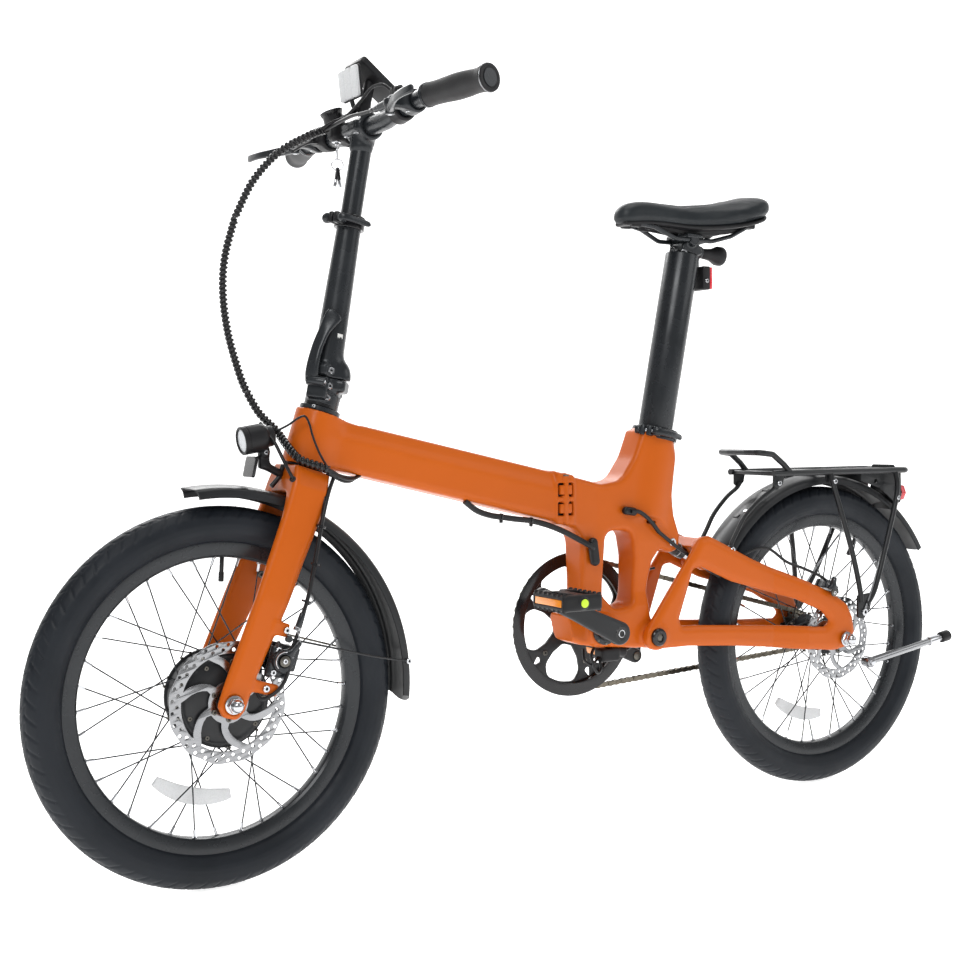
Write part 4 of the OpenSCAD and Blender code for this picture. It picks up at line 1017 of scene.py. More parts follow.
def acorn(name, x0, y, s, body):
    """Domed nut on a washer."""
    d = (0, s, 0)
    w = cyl(name + "_washer", (x0, s * y, AZ), (x0, s * (y + 1.8), AZ), 12.2, CHROME, body, 40, 0.4)
    h = screw_head(name + "_hex", (x0, s * (y + 1.8), AZ), d, 10.4, 8.2, CHROME, body, "hex")
    pr = [(0, 18.2), (2.5, 17.9), (5, 16.8), (7, 14.6), (8.1, 11.6), (8.4, 9.6), (8.4, 8)]
    m = Matrix.Translation((x0, s * (y + 1.8), AZ)) @ Vector(d).to_track_quat("Z", "Y").to_matrix().to_4x4()
    lathe(name + "_dome", pr, CHROME, body, axis="Z", seg=40, mtx=m)


for s in (-1, 1):
    acorn("front_nut_%s" % ("l" if s < 0 else "r"), FX, 64.6, s, "fork")
    acorn("rear_nut_%s" % ("l" if s < 0 else "r"), RX, 72.2, s, "swingarm")
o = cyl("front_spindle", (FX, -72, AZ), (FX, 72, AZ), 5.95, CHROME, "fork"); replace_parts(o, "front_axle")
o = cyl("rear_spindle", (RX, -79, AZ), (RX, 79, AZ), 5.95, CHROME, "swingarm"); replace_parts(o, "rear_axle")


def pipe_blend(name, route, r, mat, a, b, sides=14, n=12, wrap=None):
    """A held cable that crosses one joint. wrap adds a spiral band: (band radius, band half width, pitch, from, to)."""
    p = catmull(route, n)
    v, f = sweep(p, r, sides)
    o = put(name, v, f, mat, None, True, 50)
    objs = [o]
    if wrap:
        rad, hw, pitch, w0, w1 = wrap
        d = np.concatenate([[0], np.cumsum(np.linalg.norm(np.diff(p, axis=0), axis=1))])
        L = d[-1]
        cnt = max(24, int((w1 - w0) * L / pitch * 14))
        s = np.linspace(w0 * L, w1 * L, cnt)
        q = np.stack([np.interp(s, d, p[:, i]) for i in range(3)], 1)
        t, us, vs = frames(q)
        ang = 2 * math.pi * s / pitch
        V, F = [], []
        sec = [(-hw, -0.1), (-hw * 0.7, 0.75), (0, 0.95), (hw * 0.7, 0.75), (hw, -0.1), (0, -0.6)]
        for i in range(cnt):
            rr = us[i] * math.cos(ang[i]) + vs[i] * math.sin(ang[i])
            for al, out in sec:
                V.append(q[i] + rr * (rad + out) + t[i] * al)
        m = len(sec)
        for i in range(cnt - 1):
            for k in range(m):
                l = (k + 1) % m
                F.append((i * m + k, i * m + l, (i + 1) * m + l, (i + 1) * m + k))
        F.append(tuple(range(m))); F.append(tuple((cnt - 1) * m + k for k in range(m - 1, -1, -1)))
        w = put(name + "_wrap", V, F, GLOSSP, None, True, 50)
        objs.append(w)
    for x in objs:
        bm = bmesh.new(); bm.from_mesh(x.data)
        bmesh.ops.recalc_face_normals(bm, faces=bm.faces)
        bm.to_mesh(x.data); bm.free()
        if b:
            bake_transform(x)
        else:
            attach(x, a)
    return objs


# ================================================================== seat post, collar, clamp
o = lathe("seat_tube_post", [(17, -95), (18.6, -95), (19, -94), (20, -70), (27, -56), (27, 283), (26.5, 284.6), (25.5, 285), (24.6, 285), (24, 284), (24, -50), (17, -66), (17, -95)], BLACK_ALLOY, "seat", axis="Z", seg=96, mtx=M_SEAT)
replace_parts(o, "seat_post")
lathe("seat_post_plug", [(0, 283.4), (22, 283.4), (23.6, 282.6), (23.9, 280), (23.9, 276)], PLASTIC, "seat", axis="Z", seg=64, mtx=M_SEAT)
o = bent("seat_post_pull", [(-15, -4, 282), (-17, -4, 290), (-21, -1, 293), (-24, 3, 289), (-20, 5, 283)], 1.1, 3, STEEL, "seat", 8, M_SEAT)

o = lathe("seat_collar_ring", [(27.2, -12.6), (35, -12.8), (35.8, -12), (36, -10), (36, 3), (35.6, 4.4), (34.6, 5), (28, 5), (27.2, 4.2), (27.2, -12.6)], BLACK_ALLOY, None, axis="Z", seg=96, mtx=M_SEAT)
e1 = box("seat_collar_ear1", (33, 1.6, -12), (50, 9.5, 4), BLACK_ALLOY, None, 2.0, M_SEAT @ Matrix.Rotation(math.radians(215), 4, "Z"))
e2 = box("seat_collar_ear2", (33, -9.5, -12), (50, -1.6, 4), BLACK_ALLOY, None, 2.0, M_SEAT @ Matrix.Rotation(math.radians(215), 4, "Z"))
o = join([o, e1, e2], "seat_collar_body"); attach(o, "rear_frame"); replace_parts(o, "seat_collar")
m = M_SEAT @ Matrix.Rotation(math.radians(215), 4, "Z")
cyl("seat_collar_bolt", (43, -16, -4), (43, 16.5, -4), 3.2, CHROME, "rear_frame", 20, 0.5, m)
cyl("seat_collar_nut", (43, -17.5, -4), (43, -9.8, -4), 6.6, BLACK_ALLOY, "rear_frame", 24, 0.8, m)


def lever_blade(name, pts, widths, thick, mat, body, mtx, up=(0, 0, 1)):
    """A cast lever: pts is the centre line, widths the half width along up, thick the half thickness across."""
    p = catmull(pts, 6)
    w = np.interp(np.linspace(0, 1, len(p)), np.linspace(0, 1, len(widths)), widths)
    th = np.interp(np.linspace(0, 1, len(p)), np.linspace(0, 1, len(thick)), thick)
    t = np.gradient(p, axis=0); t /= np.linalg.norm(t, axis=1)[:, None]
    U = np.tile(np.array(up, float), (len(p), 1)); U -= t * np.sum(U * t, 1)[:, None]; U /= np.linalg.norm(U, axis=1)[:, None]
    W = np.cross(t, U)
    sec = []
    for i in range(20):
        a = 2 * math.pi * i / 20
        c, s = math.cos(a), math.sin(a)
        sec.append((math.copysign(abs(c) ** 0.55, c), math.copysign(abs(s) ** 0.75, s)))
    V, F = [], []
    n, m_ = len(p), len(sec)
    ends = np.clip(np.minimum(np.arange(n), np.arange(n)[::-1]) / 2.5, 0, 1)
    sc = np.sqrt(1 - (1 - ends) ** 2) * 0.985 + 0.015
    for i in range(n):
        for a, b in sec:
            V.append(p[i] + U[i] * a * w[i] * sc[i] + W[i] * b * th[i] * sc[i])
    for i in range(n - 1):
        for k in range(m_):
            l = (k + 1) % m_
            F.append((i * m_ + k, (i + 1) * m_ + k, (i + 1) * m_ + l, i * m_ + l))
    F.append(tuple(range(m_))); F.append(tuple((n - 1) * m_ + k for k in range(m_ - 1, -1, -1)))
    o = put(name, V, F, mat, None, True, 60, mtx)
    bm = bmesh.new(); bm.from_mesh(o.data); bmesh.ops.recalc_face_normals(bm, faces=bm.faces); bm.to_mesh(o.data); bm.free()
    modify(o, "SUBSURF", levels=1, render_levels=1); bake(o)
    if body:
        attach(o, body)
    return o


o = lever_blade("seat_quick_lever", [(43, 11, -4), (45, 19, -4), (36, 29, -4), (18, 38, -4), (-8, 43, -4)], [5.5, 5.5, 5.5, 5, 4.4], [5.5, 4.5, 2.8, 2.3, 2.0], BLACK_ALLOY, None, m)
c = cyl("seat_quick_cam", (43, 16.6, -11), (43, 16.6, 3), 6.0, BLACK_ALLOY, None, 24, 1.0, m)
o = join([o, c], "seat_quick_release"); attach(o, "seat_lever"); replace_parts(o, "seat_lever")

# clamp head under the saddle
def f_clamp(x, y, z):
    d = ext(sd_poly(x, z, fillet([(231, 882.6, 3), (262, 876.8, 3), (274, 880, 4), (270, 890, 4), (262, 897, 4), (234, 897, 5)], 4)), y, 18, 3)
    d = smin(d, sd_cyl(x, y, z, (249, -27, 900), (249, 27, 900), 9.5, 2), 5)
    d = smin(d, sd_cyl(x, y, z, (266, 0, 886), (282, 0, 884), 10, 2), 5)
    return np.maximum(d, -(np.hypot(z - 900, np.abs(y) - 22) - 3.6))


o = casting("saddle_clamp_head", f_clamp, (224, -32, 872), (290, 32, 914), 1.8, BLACK_ALLOY, "seat")
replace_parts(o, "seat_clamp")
box("saddle_clamp_top", (234, -28, 902.6), (264, 28, 910), BLACK_ALLOY, "seat", 2.5)
for y in (-10, 10):
    screw_head("saddle_clamp_bolt_%d" % (1 if y > 0 else 0), (249, y, 909.5), (0, 0, 1), 4.6, 3.6, CHROME, "seat", "cap")
    screw_head("saddle_clamp_nut_%d" % (1 if y > 0 else 0), (236, y * 1.6, 884), (-0.3, 0, -1), 4.6, 3, CHROME, "seat", "hex")
lathe("buzzer_horn", [(0, 0), (7, 0), (7.4, 2), (8.6, 20), (10.2, 31), (13.6, 38), (15.2, 42), (15.4, 50), (14.6, 52), (13.4, 52), (12.6, 50), (0, 49)], PLASTIC, "seat", axis="Z", seg=48,
      mtx=Matrix.Translation((273, 0, 884)) @ Vector((1, 0, -0.066)).to_track_quat("Z", "Y").to_matrix().to_4x4())
box("rear_reflector_stalk", (272.5, -4, 851), (276.5, 4, 879), PLASTIC, "seat", 1.2)
box("rear_reflector_body", (272, -20, 824), (286.5, 20, 861), PLASTIC, "seat", 2.4)
box("rear_reflector_lens", (285.6, -19, 825), (291.5, 19, 860), RED, "seat", 1.6)
screw_head("rear_reflector_screw", (279, -20, 838), (0, -1, 0), 3.6, 1.8, CHROME, "seat", "cap")

# ================================================================== saddle
SX = [115, 115.8, 118, 122, 128, 137, 151, 170, 190, 210, 230, 250, 270, 290, 308, 324, 340, 354, 364, 371, 376, 379, 380]
SW = [0, 7.5, 13.5, 18, 21, 22.8, 23.6, 25.6, 28.6, 32.4, 38.5, 47.6, 58.5, 69, 76.5, 81.6, 84, 81.5, 74, 62, 45, 24, 0]
ST = [930, 937, 942.5, 946.8, 950.4, 953.6, 956.2, 956.8, 955.6, 954.2, 953.2, 953.4, 955, 957.8, 961.8, 966.4, 970.8, 973.8, 974.2, 971.6, 967, 961, 955]
SB = [925, 920.5, 918, 916.6, 916, 916.6, 918, 919, 919, 917.6, 915.6, 914.8, 915, 916.4, 918.6, 921.6, 925.6, 930.4, 934.8, 939, 943.5, 948.5, 953]


def saddle_mesh(name, inset, zt_, zb_, n=72, m=64):
    xs = np.linspace(0, len(SX) - 1, n)
    ii = np.arange(len(SX))
    X, W, T, B = (np.interp(xs, ii, a) for a in (SX, SW, ST, SB))
    k = np.array([1, 2, 1]) / 4.0
    for arr in (W, T, B, X):
        arr[1:-1] = np.convolve(arr, k, "valid")
    V = []
    for i in range(n):
        w = max(W[i] - inset * min(1, W[i] / 20), 0.2)
        zt, zb = T[i] - zt_, B[i] + zb_
        zm = zb + 0.40 * (zt - zb)
        wide = np.clip((W[i] - 24) / 50, 0, 1)
        for j in range(m):
            a = 2 * math.pi * j / m
            c, s = math.cos(a), math.sin(a)
            ex = 0.86 - 0.16 * wide
            y = w * math.copysign(abs(c) ** ex, c)
            if s >= 0:
                z = zm + (zt - zm) * s ** (0.80 - 0.12 * wide)
                z -= (2.2 * wide) * math.exp(-(y / 9.0) ** 2)
            else:
                z = zm - (zm - zb) * abs(s) ** 0.62
                y *= 1 - 0.10 * abs(s) ** 2
            V.append((X[i], y, z))
    F = []
    for i in range(n - 1):
        for j in range(m):
            l = (j + 1) % m
            F.append((i * m + j, i * m + l, (i + 1) * m + l, (i + 1) * m + j))
    F.append(tuple(range(m))); F.append(tuple((n - 1) * m + j for j in range(m)))
    o = put(name, V, F, LEATHER, None, True, None)
    bm = bmesh.new(); bm.from_mesh(o.data)
    bmesh.ops.remove_doubles(bm, verts=bm.verts, dist=1e-6)
    bmesh.ops.recalc_face_normals(bm, faces=bm.faces); bm.to_mesh(o.data); bm.free()
    return o


cushion = saddle_mesh("saddle_pad", 1.6, 1.4, 1.0)
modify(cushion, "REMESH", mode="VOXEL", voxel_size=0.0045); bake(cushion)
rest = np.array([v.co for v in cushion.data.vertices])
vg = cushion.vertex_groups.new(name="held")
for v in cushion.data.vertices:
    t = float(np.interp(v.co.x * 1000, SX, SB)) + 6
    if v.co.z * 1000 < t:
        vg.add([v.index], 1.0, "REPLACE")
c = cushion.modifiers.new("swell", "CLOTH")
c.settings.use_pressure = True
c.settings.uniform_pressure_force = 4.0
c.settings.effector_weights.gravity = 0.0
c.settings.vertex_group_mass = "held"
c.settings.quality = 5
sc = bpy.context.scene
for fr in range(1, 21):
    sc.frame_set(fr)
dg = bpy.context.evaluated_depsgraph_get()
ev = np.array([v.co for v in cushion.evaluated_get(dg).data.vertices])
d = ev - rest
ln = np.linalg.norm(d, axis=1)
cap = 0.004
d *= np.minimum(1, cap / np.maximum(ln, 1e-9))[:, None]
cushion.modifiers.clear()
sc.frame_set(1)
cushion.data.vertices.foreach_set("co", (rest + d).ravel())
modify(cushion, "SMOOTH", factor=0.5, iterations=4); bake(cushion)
modify(cushion, "SUBSURF", levels=1, render_levels=1); bake(cushion)
# after the swell: the seam that runs round under the edge, two shallow panel lines and the dished middle
co = np.array([v.co for v in cushion.data.vertices]) * 1000
nrm = np.array([v.normal for v in cushion.data.vertices])
zt = np.interp(co[:, 0], SX, ST); zb = np.interp(co[:, 0], SX, SB); w = np.interp(co[:, 0], SX, SW)
fz = (co[:, 2] - zb) / np.maximum(zt - zb, 4)
seam = np.exp(-((fz - 0.22) / 0.045) ** 2) * 0.9
panel = np.exp(-((np.abs(co[:, 1]) - 0.55 * w) / 2.2) ** 2) * np.clip((co[:, 0] - 175) / 40, 0, 1) * (nrm[:, 2] > 0.3) * 0.55
co -= nrm * (seam + panel)[:, None]
lo_c = np.array([115.2, -84.5, 913.6]); hi_c = np.array([380.5, 84.5, 976])
cushion.data.vertices.foreach_set("co", (np.clip(co, lo_c, hi_c) / 1000).ravel())
cushion.data.polygons.foreach_set("use_smooth", [True] * len(cushion.data.polygons))
cushion.data.update()
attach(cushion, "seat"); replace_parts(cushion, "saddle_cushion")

# moulded base under the cushion
def f_shell(x, y, z):
    zb = np.interp(x, SX, SB)
    w = np.interp(x, SX, SW) * 0.90 - 2
    a = np.abs(z - zb - 3.0) - 3.4
    b = (np.abs(y) - w) * 0.75
    d = smax(a, b, 4)
    rib = smax(np.abs(z - (zb - 4) - 2) - 5, (np.abs(np.abs(y) - 0.45 * w) - 2.5), 2)
    d = smin(d, np.maximum(rib, np.abs(x - 255) - 90), 3)
    return smax(d, np.abs(x - 246) - 124, 3)


o = casting("saddle_base", f_shell, (118, -84, 900), (376, 84, 956), 2.4, PLASTIC, "seat")
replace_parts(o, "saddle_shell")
for s in (-1, 1):
    o = bent("saddle_rail_%s" % ("l" if s < 0 else "r"), [(140, s * 12, 921), (176, s * 18, 916), (214, s * 22, 900), (286, s * 22, 900), (318, s * 32, 909), (346, s * 42, 926)], 3.5, [0, 14, 26, 26, 20, 0], BLACK_ALLOY, "seat", 16)
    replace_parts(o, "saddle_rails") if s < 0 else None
    box("rail_socket_front_%s" % ("l" if s < 0 else "r"), (134, s * 12 - 5, 914), (152, s * 12 + 5, 924), PLASTIC, "seat", 2.5)
    box("rail_socket_rear_%s" % ("l" if s < 0 else "r"), (336, s * 42 - 8, 921), (354, s * 42 + 8, 931), PLASTIC, "seat", 2.5)

# ================================================================== headset, folding joint and post
for nm, z0, z1, zf in (("lower", 2, 4.8, 1), ("upper", 80.2, 87.5, -1)):
    o = lathe("headset_%s" % nm, [(14.4, z0), (26.5, z0), (28, z0 + 0.9), (28, z1 - 0.9), (26.5, z1), (14.4, z1)], BLACK_ALLOY, "front_frame", axis="Z", seg=72, close=True, mtx=M_FORK)
    if nm == "upper":
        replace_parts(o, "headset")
lathe("headset_spacer", [(14.4, 88.0), (23, 88.0), (23.6, 88.6), (23.6, 92.4), (23, 93), (14.4, 93)], GLOSSP, "fork", axis="Z", seg=72, close=True, mtx=M_FORK)
screw_head("headset_mark", (-17.5, -21.0, 84), (-0.62, -0.78, 0), 2.4, 7.5, CHROME, "front_frame", "cap", M_FORK)


def pol(phi, r, z):
    a = math.radians(phi)
    return np.array([r * math.cos(a), r * math.sin(a), z])


def sd_ell(x, y, z, c, r):
    k0 = np.sqrt(((x - c[0]) / r[0]) ** 2 + ((y - c[1]) / r[1]) ** 2 + ((z - c[2]) / r[2]) ** 2)
    return (k0 - 1) * min(r)


def rotz(x, y, deg):
    a = math.radians(deg)
    return x * math.cos(a) + y * math.sin(a), -x * math.sin(a) + y * math.cos(a)


def f_base(x, y, z):
    d = sd_cyl(x, y, z, (0, 0, 6), (0, 0, 44.2), 21.5, 1.2)
    # the clamp that holds the steerer, leaning with the head tube
    fx_, fy_, fz_ = x, y, z
    hx, hy, hz = rotfork(x, y, z)
    d = smin(d, np.maximum(np.hypot(hx, hy) - 23, np.abs(hz - 100) - 7.5), 4)
    u, v = rotz(x, y, 225)
    d = smin(d, sd_box(u, v, z, (6, -14, 14), (27.5, 14, 44.2), 3), 4)
    u, v = rotz(x, y, 322)
    d = smin(d, sd_box(u, v, z, (2, -15, 27), (32, 15, 44.2), 5), 7)
    u, v = rotz(x, y, 45)
    d = smin(d, sd_box(u, v, z, (4, -17, 22), (35, 17, 44.2), 4), 6)
    d = np.maximum(d, z - 44.2)
    ears = np.maximum(np.hypot(u - 32, z - 44.4) - 8, np.abs(np.abs(v) - 12.1) - 4.9)
    d = np.minimum(d, ears)
    d = np.maximum(d, -np.maximum(np.hypot(u - 32, z - 44.4) - 8.6, np.abs(v) - 7.0))
    return d


_r = np.array(M_POST.inverted() @ M_FORK)
_ri = np.linalg.inv(_r)


def rotfork(x, y, z):
    return (_ri[0, 0] * x + _ri[0, 1] * y + _ri[0, 2] * z + _ri[0, 3], _ri[1, 0] * x + _ri[1, 1] * y + _ri[1, 2] * z + _ri[1, 3],
            _ri[2, 0] * x + _ri[2, 1] * y + _ri[2, 2] * z + _ri[2, 3])


o = casting("fold_joint_base", f_base, (-34, -38, -4), (40, 36, 54), 1.5, BLACK_ALLOY, "fork", mtx=M_POST)
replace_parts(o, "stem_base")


def f_post(x, y, z):
    r = np.hypot(x, y)
    rr = 20.8 - 4.2 * np.clip((z - 45) / 209, 0, 1)
    d = (r - rr)
    d = np.maximum(d, np.abs(z - 149.6) - 104.6)
    u, v = rotz(x, y, 322)
    d = smin(d, sd_ell(u, v, z, (15, 0, 47), (20, 15.5, 26)), 7)
    u, v = rotz(x, y, 45)
    d = smin(d, sd_box(u, v, z, (4, -16, 46), (34, 16, 64), 5), 8)
    u2, v2 = rotz(x, y, 225)
    d = smin(d, sd_box(u2, v2, z, (8, -10, 46), (26, 10, 62), 4), 6)
    d = np.maximum(d, 45.2 - z)
    kn = np.maximum(np.hypot(u - 32, z - 44.4) - 8, np.abs(v) - 6.4)
    web = sd_box(u, v, z, (14, -6.3, 44.5), (32, 6.3, 60), 2)
    d = np.minimum(d, np.minimum(kn, web))
    return np.maximum(d, -(r - 14.4) - np.where(z > 69, 0, 50))


o = casting("folding_post_lower", f_post, (-30, -36, 34), (42, 36, 258), 1.7, BLACK_ALLOY, "handlepost", mtx=M_POST)
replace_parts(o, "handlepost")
cyl("fold_joint_pin", (32, -17.6, 44.4), (32, 17.6, 44.4), 3.0, CHROME, "fork", 20, 0.5, M_POST @ Matrix.Rotation(math.radians(45), 4, "Z"))
for i, (phi, z, bdy) in enumerate([(262, 54, "handlepost"), (265, 33, "fork"), (262, 17, "fork")]):
    q = pol(phi, 20.6, z); d = pol(phi, 1, 0)
    b_ = cyl("fold_joint_boss_%d" % i, tuple(q - d * 4), tuple(q + d * 2.6), 6.2, BLACK_ALLOY, bdy, 24, 1.0, M_POST)
    screw_head("fold_joint_bolt_%d" % i, tuple(q + d * 1.4), tuple(d), 4.2, 3.0, CHROME, bdy, "cap", M_POST)
cyl("safety_catch", tuple(pol(196, 20, 83)), tuple(pol(196, 29, 84)), 3.0, CHROME, "handlepost", 20, 1.0, M_POST)
box("safety_catch_base", (-25, -11, 74), (-15, -2, 92), BLACK_ALLOY, "handlepost", 2, M_POST)
# paper label, left blank
q = [pol(268 + 26 * i / 8, 19.9, 0) for i in range(9)]
V = [(a[0], a[1], 84.0) for a in q] + [(a[0] * 0.985, a[1] * 0.985, 106.0) for a in q]
put("blank_label", V, [(i, i + 1, 10 + i, 9 + i) for i in range(8)], WHITE_LABEL, "handlepost", True, 60, M_POST)

# the long cast lever that locks the joint
LP = [pol(208, 27, 33), pol(208, 30.5, 46), pol(209, 31.5, 62), pol(211, 29.5, 82), pol(218, 27, 100), pol(229, 25, 115), pol(240, 24.5, 126), pol(250, 24.5, 133)]
p = catmull(LP, 8)
n_ = len(p)
t_ = np.gradient(p, axis=0); t_ /= np.linalg.norm(t_, axis=1)[:, None]
rad_ = p.copy(); rad_[:, 2] = 0; rad_ /= np.linalg.norm(rad_, axis=1)[:, None]
rad_ -= t_ * np.sum(rad_ * t_, 1)[:, None]; rad_ /= np.linalg.norm(rad_, axis=1)[:, None]
wid_ = np.cross(t_, rad_)
hw_ = np.interp(np.linspace(0, 1, n_), [0, .15, .4, .62, .8, .93, 1], [9.5, 10, 8.6, 8.4, 11, 12, 10])
th_ = np.interp(np.linspace(0, 1, n_), [0, .2, .5, 1], [5.5, 5, 3.6, 3.2])
e_ = np.clip(np.minimum(np.arange(n_) / 2.0, (n_ - 1 - np.arange(n_)) / 7.0), 0, 1)
e_ = np.sqrt(1 - (1 - e_) ** 2) * 0.99 + 0.01
V, F = [], []
M_ = 24
for i in range(n_):
    for k in range(M_):
        a = 2 * math.pi * k / M_
        c, s = math.cos(a), math.sin(a)
        V.append(p[i] + wid_[i] * hw_[i] * e_[i] * math.copysign(abs(c) ** 0.6, c) + rad_[i] * th_[i] * e_[i] ** 0.5 * math.copysign(abs(s) ** 0.8, s))
for i in range(n_ - 1):
    for k in range(M_):
        l = (k + 1) % M_
        F.append((i * M_ + k, i * M_ + l, (i + 1) * M_ + l, (i + 1) * M_ + k))
F.append(tuple(range(M_))); F.append(tuple((n_ - 1) * M_ + k for k in range(M_)))
o = put("fold_lever_blade", V, F, BLACK_ALLOY, None, True, None, M_POST)
bm = bmesh.new(); bm.from_mesh(o.data); bmesh.ops.recalc_face_normals(bm, faces=bm.faces); bm.to_mesh(o.data); bm.free()
modify(o, "SUBSURF", levels=1, render_levels=1); bake(o)
m = M_POST @ Matrix.Rotation(math.radians(225), 4, "Z")
c1 = cyl("fold_lever_hub", (32, -13, 36), (32, 13, 36), 6.4, BLACK_ALLOY, None, 32, 1.2, m)
c2 = cyl("fold_lever_pin", (32, -14.2, 36), (32, 14.2, 36), 2.6, CHROME, None, 20, .4, m)
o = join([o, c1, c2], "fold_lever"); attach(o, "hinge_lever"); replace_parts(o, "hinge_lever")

# collar with its quick release
m = M_POST @ Matrix.Rotation(math.radians(200), 4, "Z")
o = lathe("post_collar_ring", [(14.5, 252.3), (20.4, 252.3), (21, 253), (21, 269.2), (20.4, 270), (14.5, 270)], GLOSSP, None, axis="Z", seg=72, close=True, mtx=M_POST)
e1 = box("pc1", (17, 1.2, 253.4), (34, 8.6, 269), GLOSSP, None, 2, m); e2 = box("pc2", (17, -8.6, 253.4), (34, -1.2, 269), GLOSSP, None, 2, m)
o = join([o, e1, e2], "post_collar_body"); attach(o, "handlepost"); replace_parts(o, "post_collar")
cyl("post_collar_bolt", (28, -15, 261), (28, 14, 261), 2.8, CHROME, "handlepost", 20, .4, m)
lathe("post_collar_knob", [(0, 11), (5.2, 11), (6.6, 10), (7.2, 8), (7.2, 3), (6.4, 1), (5, 0), (0, 0)], BLACK_ALLOY, "handlepost", axis="Z", seg=32,
      mtx=m @ Matrix.Translation((28, -9.2, 261)) @ Vector((0, -1, 0)).to_track_quat("Z", "Y").to_matrix().to_4x4())
o = lever_blade("post_quick_lever", [(28, 9, 261), (31, 16, 261), (26, 22, 261), (10, 26, 261), (-13, 28.6, 261)], [5, 5, 4.6, 4.2, 4], [5, 4.5, 2.6, 2, 1.8], BLACK_ALLOY, None, m)
c = cyl("pqc", (28, 15, 255.4), (28, 15, 266.8), 5, BLACK_ALLOY, None, 24, 1.0, m)
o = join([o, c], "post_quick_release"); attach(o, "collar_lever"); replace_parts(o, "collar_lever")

o = lathe("folding_post_upper", [(12.4, 165), (13.8, 165), (14.3, 165.6), (14.3, 371), (15.5, 372), (17, 373.5), (17, 381), (16, 383.5), (12.4, 384), (12.4, 165)], BLACK_ALLOY, None, axis="Z", seg=72, mtx=M_POST)
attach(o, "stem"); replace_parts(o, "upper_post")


def f_barclamp(x, y, z):
    d = sd_cyl(x, y, z, (-316.3, -24, 1016.5), (-316.3, 24, 1016.5), 18.5, 2.5)
    d = smin(d, sd_rod(x, y, z, (-319.6, 0, 1000), (-321, 0, 992), 16.5), 8)
    d = smin(d, sd_box(x, y, z, (-342, -22, 1009), (-320, 22, 1024), 3), 4)
    d = np.maximum(d, -(np.hypot(x + 316.3, z - 1016.5) - 12.75))
    return np.maximum(d, -np.maximum(np.abs(z - 1016.5) - 0.7, x + 320))


casting("bar_clamp", f_barclamp, (-346, -28, 974), (-294, 28, 1040), 1.6, BLACK_ALLOY, "stem")
for y in (-15, 15):
    screw_head("bar_clamp_bolt_%d" % (y > 0), (-335, y, 1009.4), (0, 0, -1), 4.4, 3.6, CHROME, "stem", "cap")


# ================================================================== cockpit
def align(p, d):
    """Local Z along d, standing on p."""
    return Matrix.Translation(Vector(p)) @ Vector(d).normalized().to_track_quat("Z", "Y").to_matrix().to_4x4()


def vsweep(name, pts, rad, mat, body=None, sides=28, n=8, mtx=None, angle=50):
    p = catmull(pts, n)
    r = np.interp(np.linspace(0, 1, len(p)), np.linspace(0, 1, len(rad)), rad)
    v, f = sweep(p, r, sides)
    return put(name, v, f, mat, body, True, angle, mtx)


def barp(s):
    return [np.array(q, float) for q in ((-316.3, 0, 1016.5), (-316.3, s * 70, 1016.5), (-319, s * 165, 1025.6), (-319, s * 178, 1026), (-290, s * 290, 1029.4))]


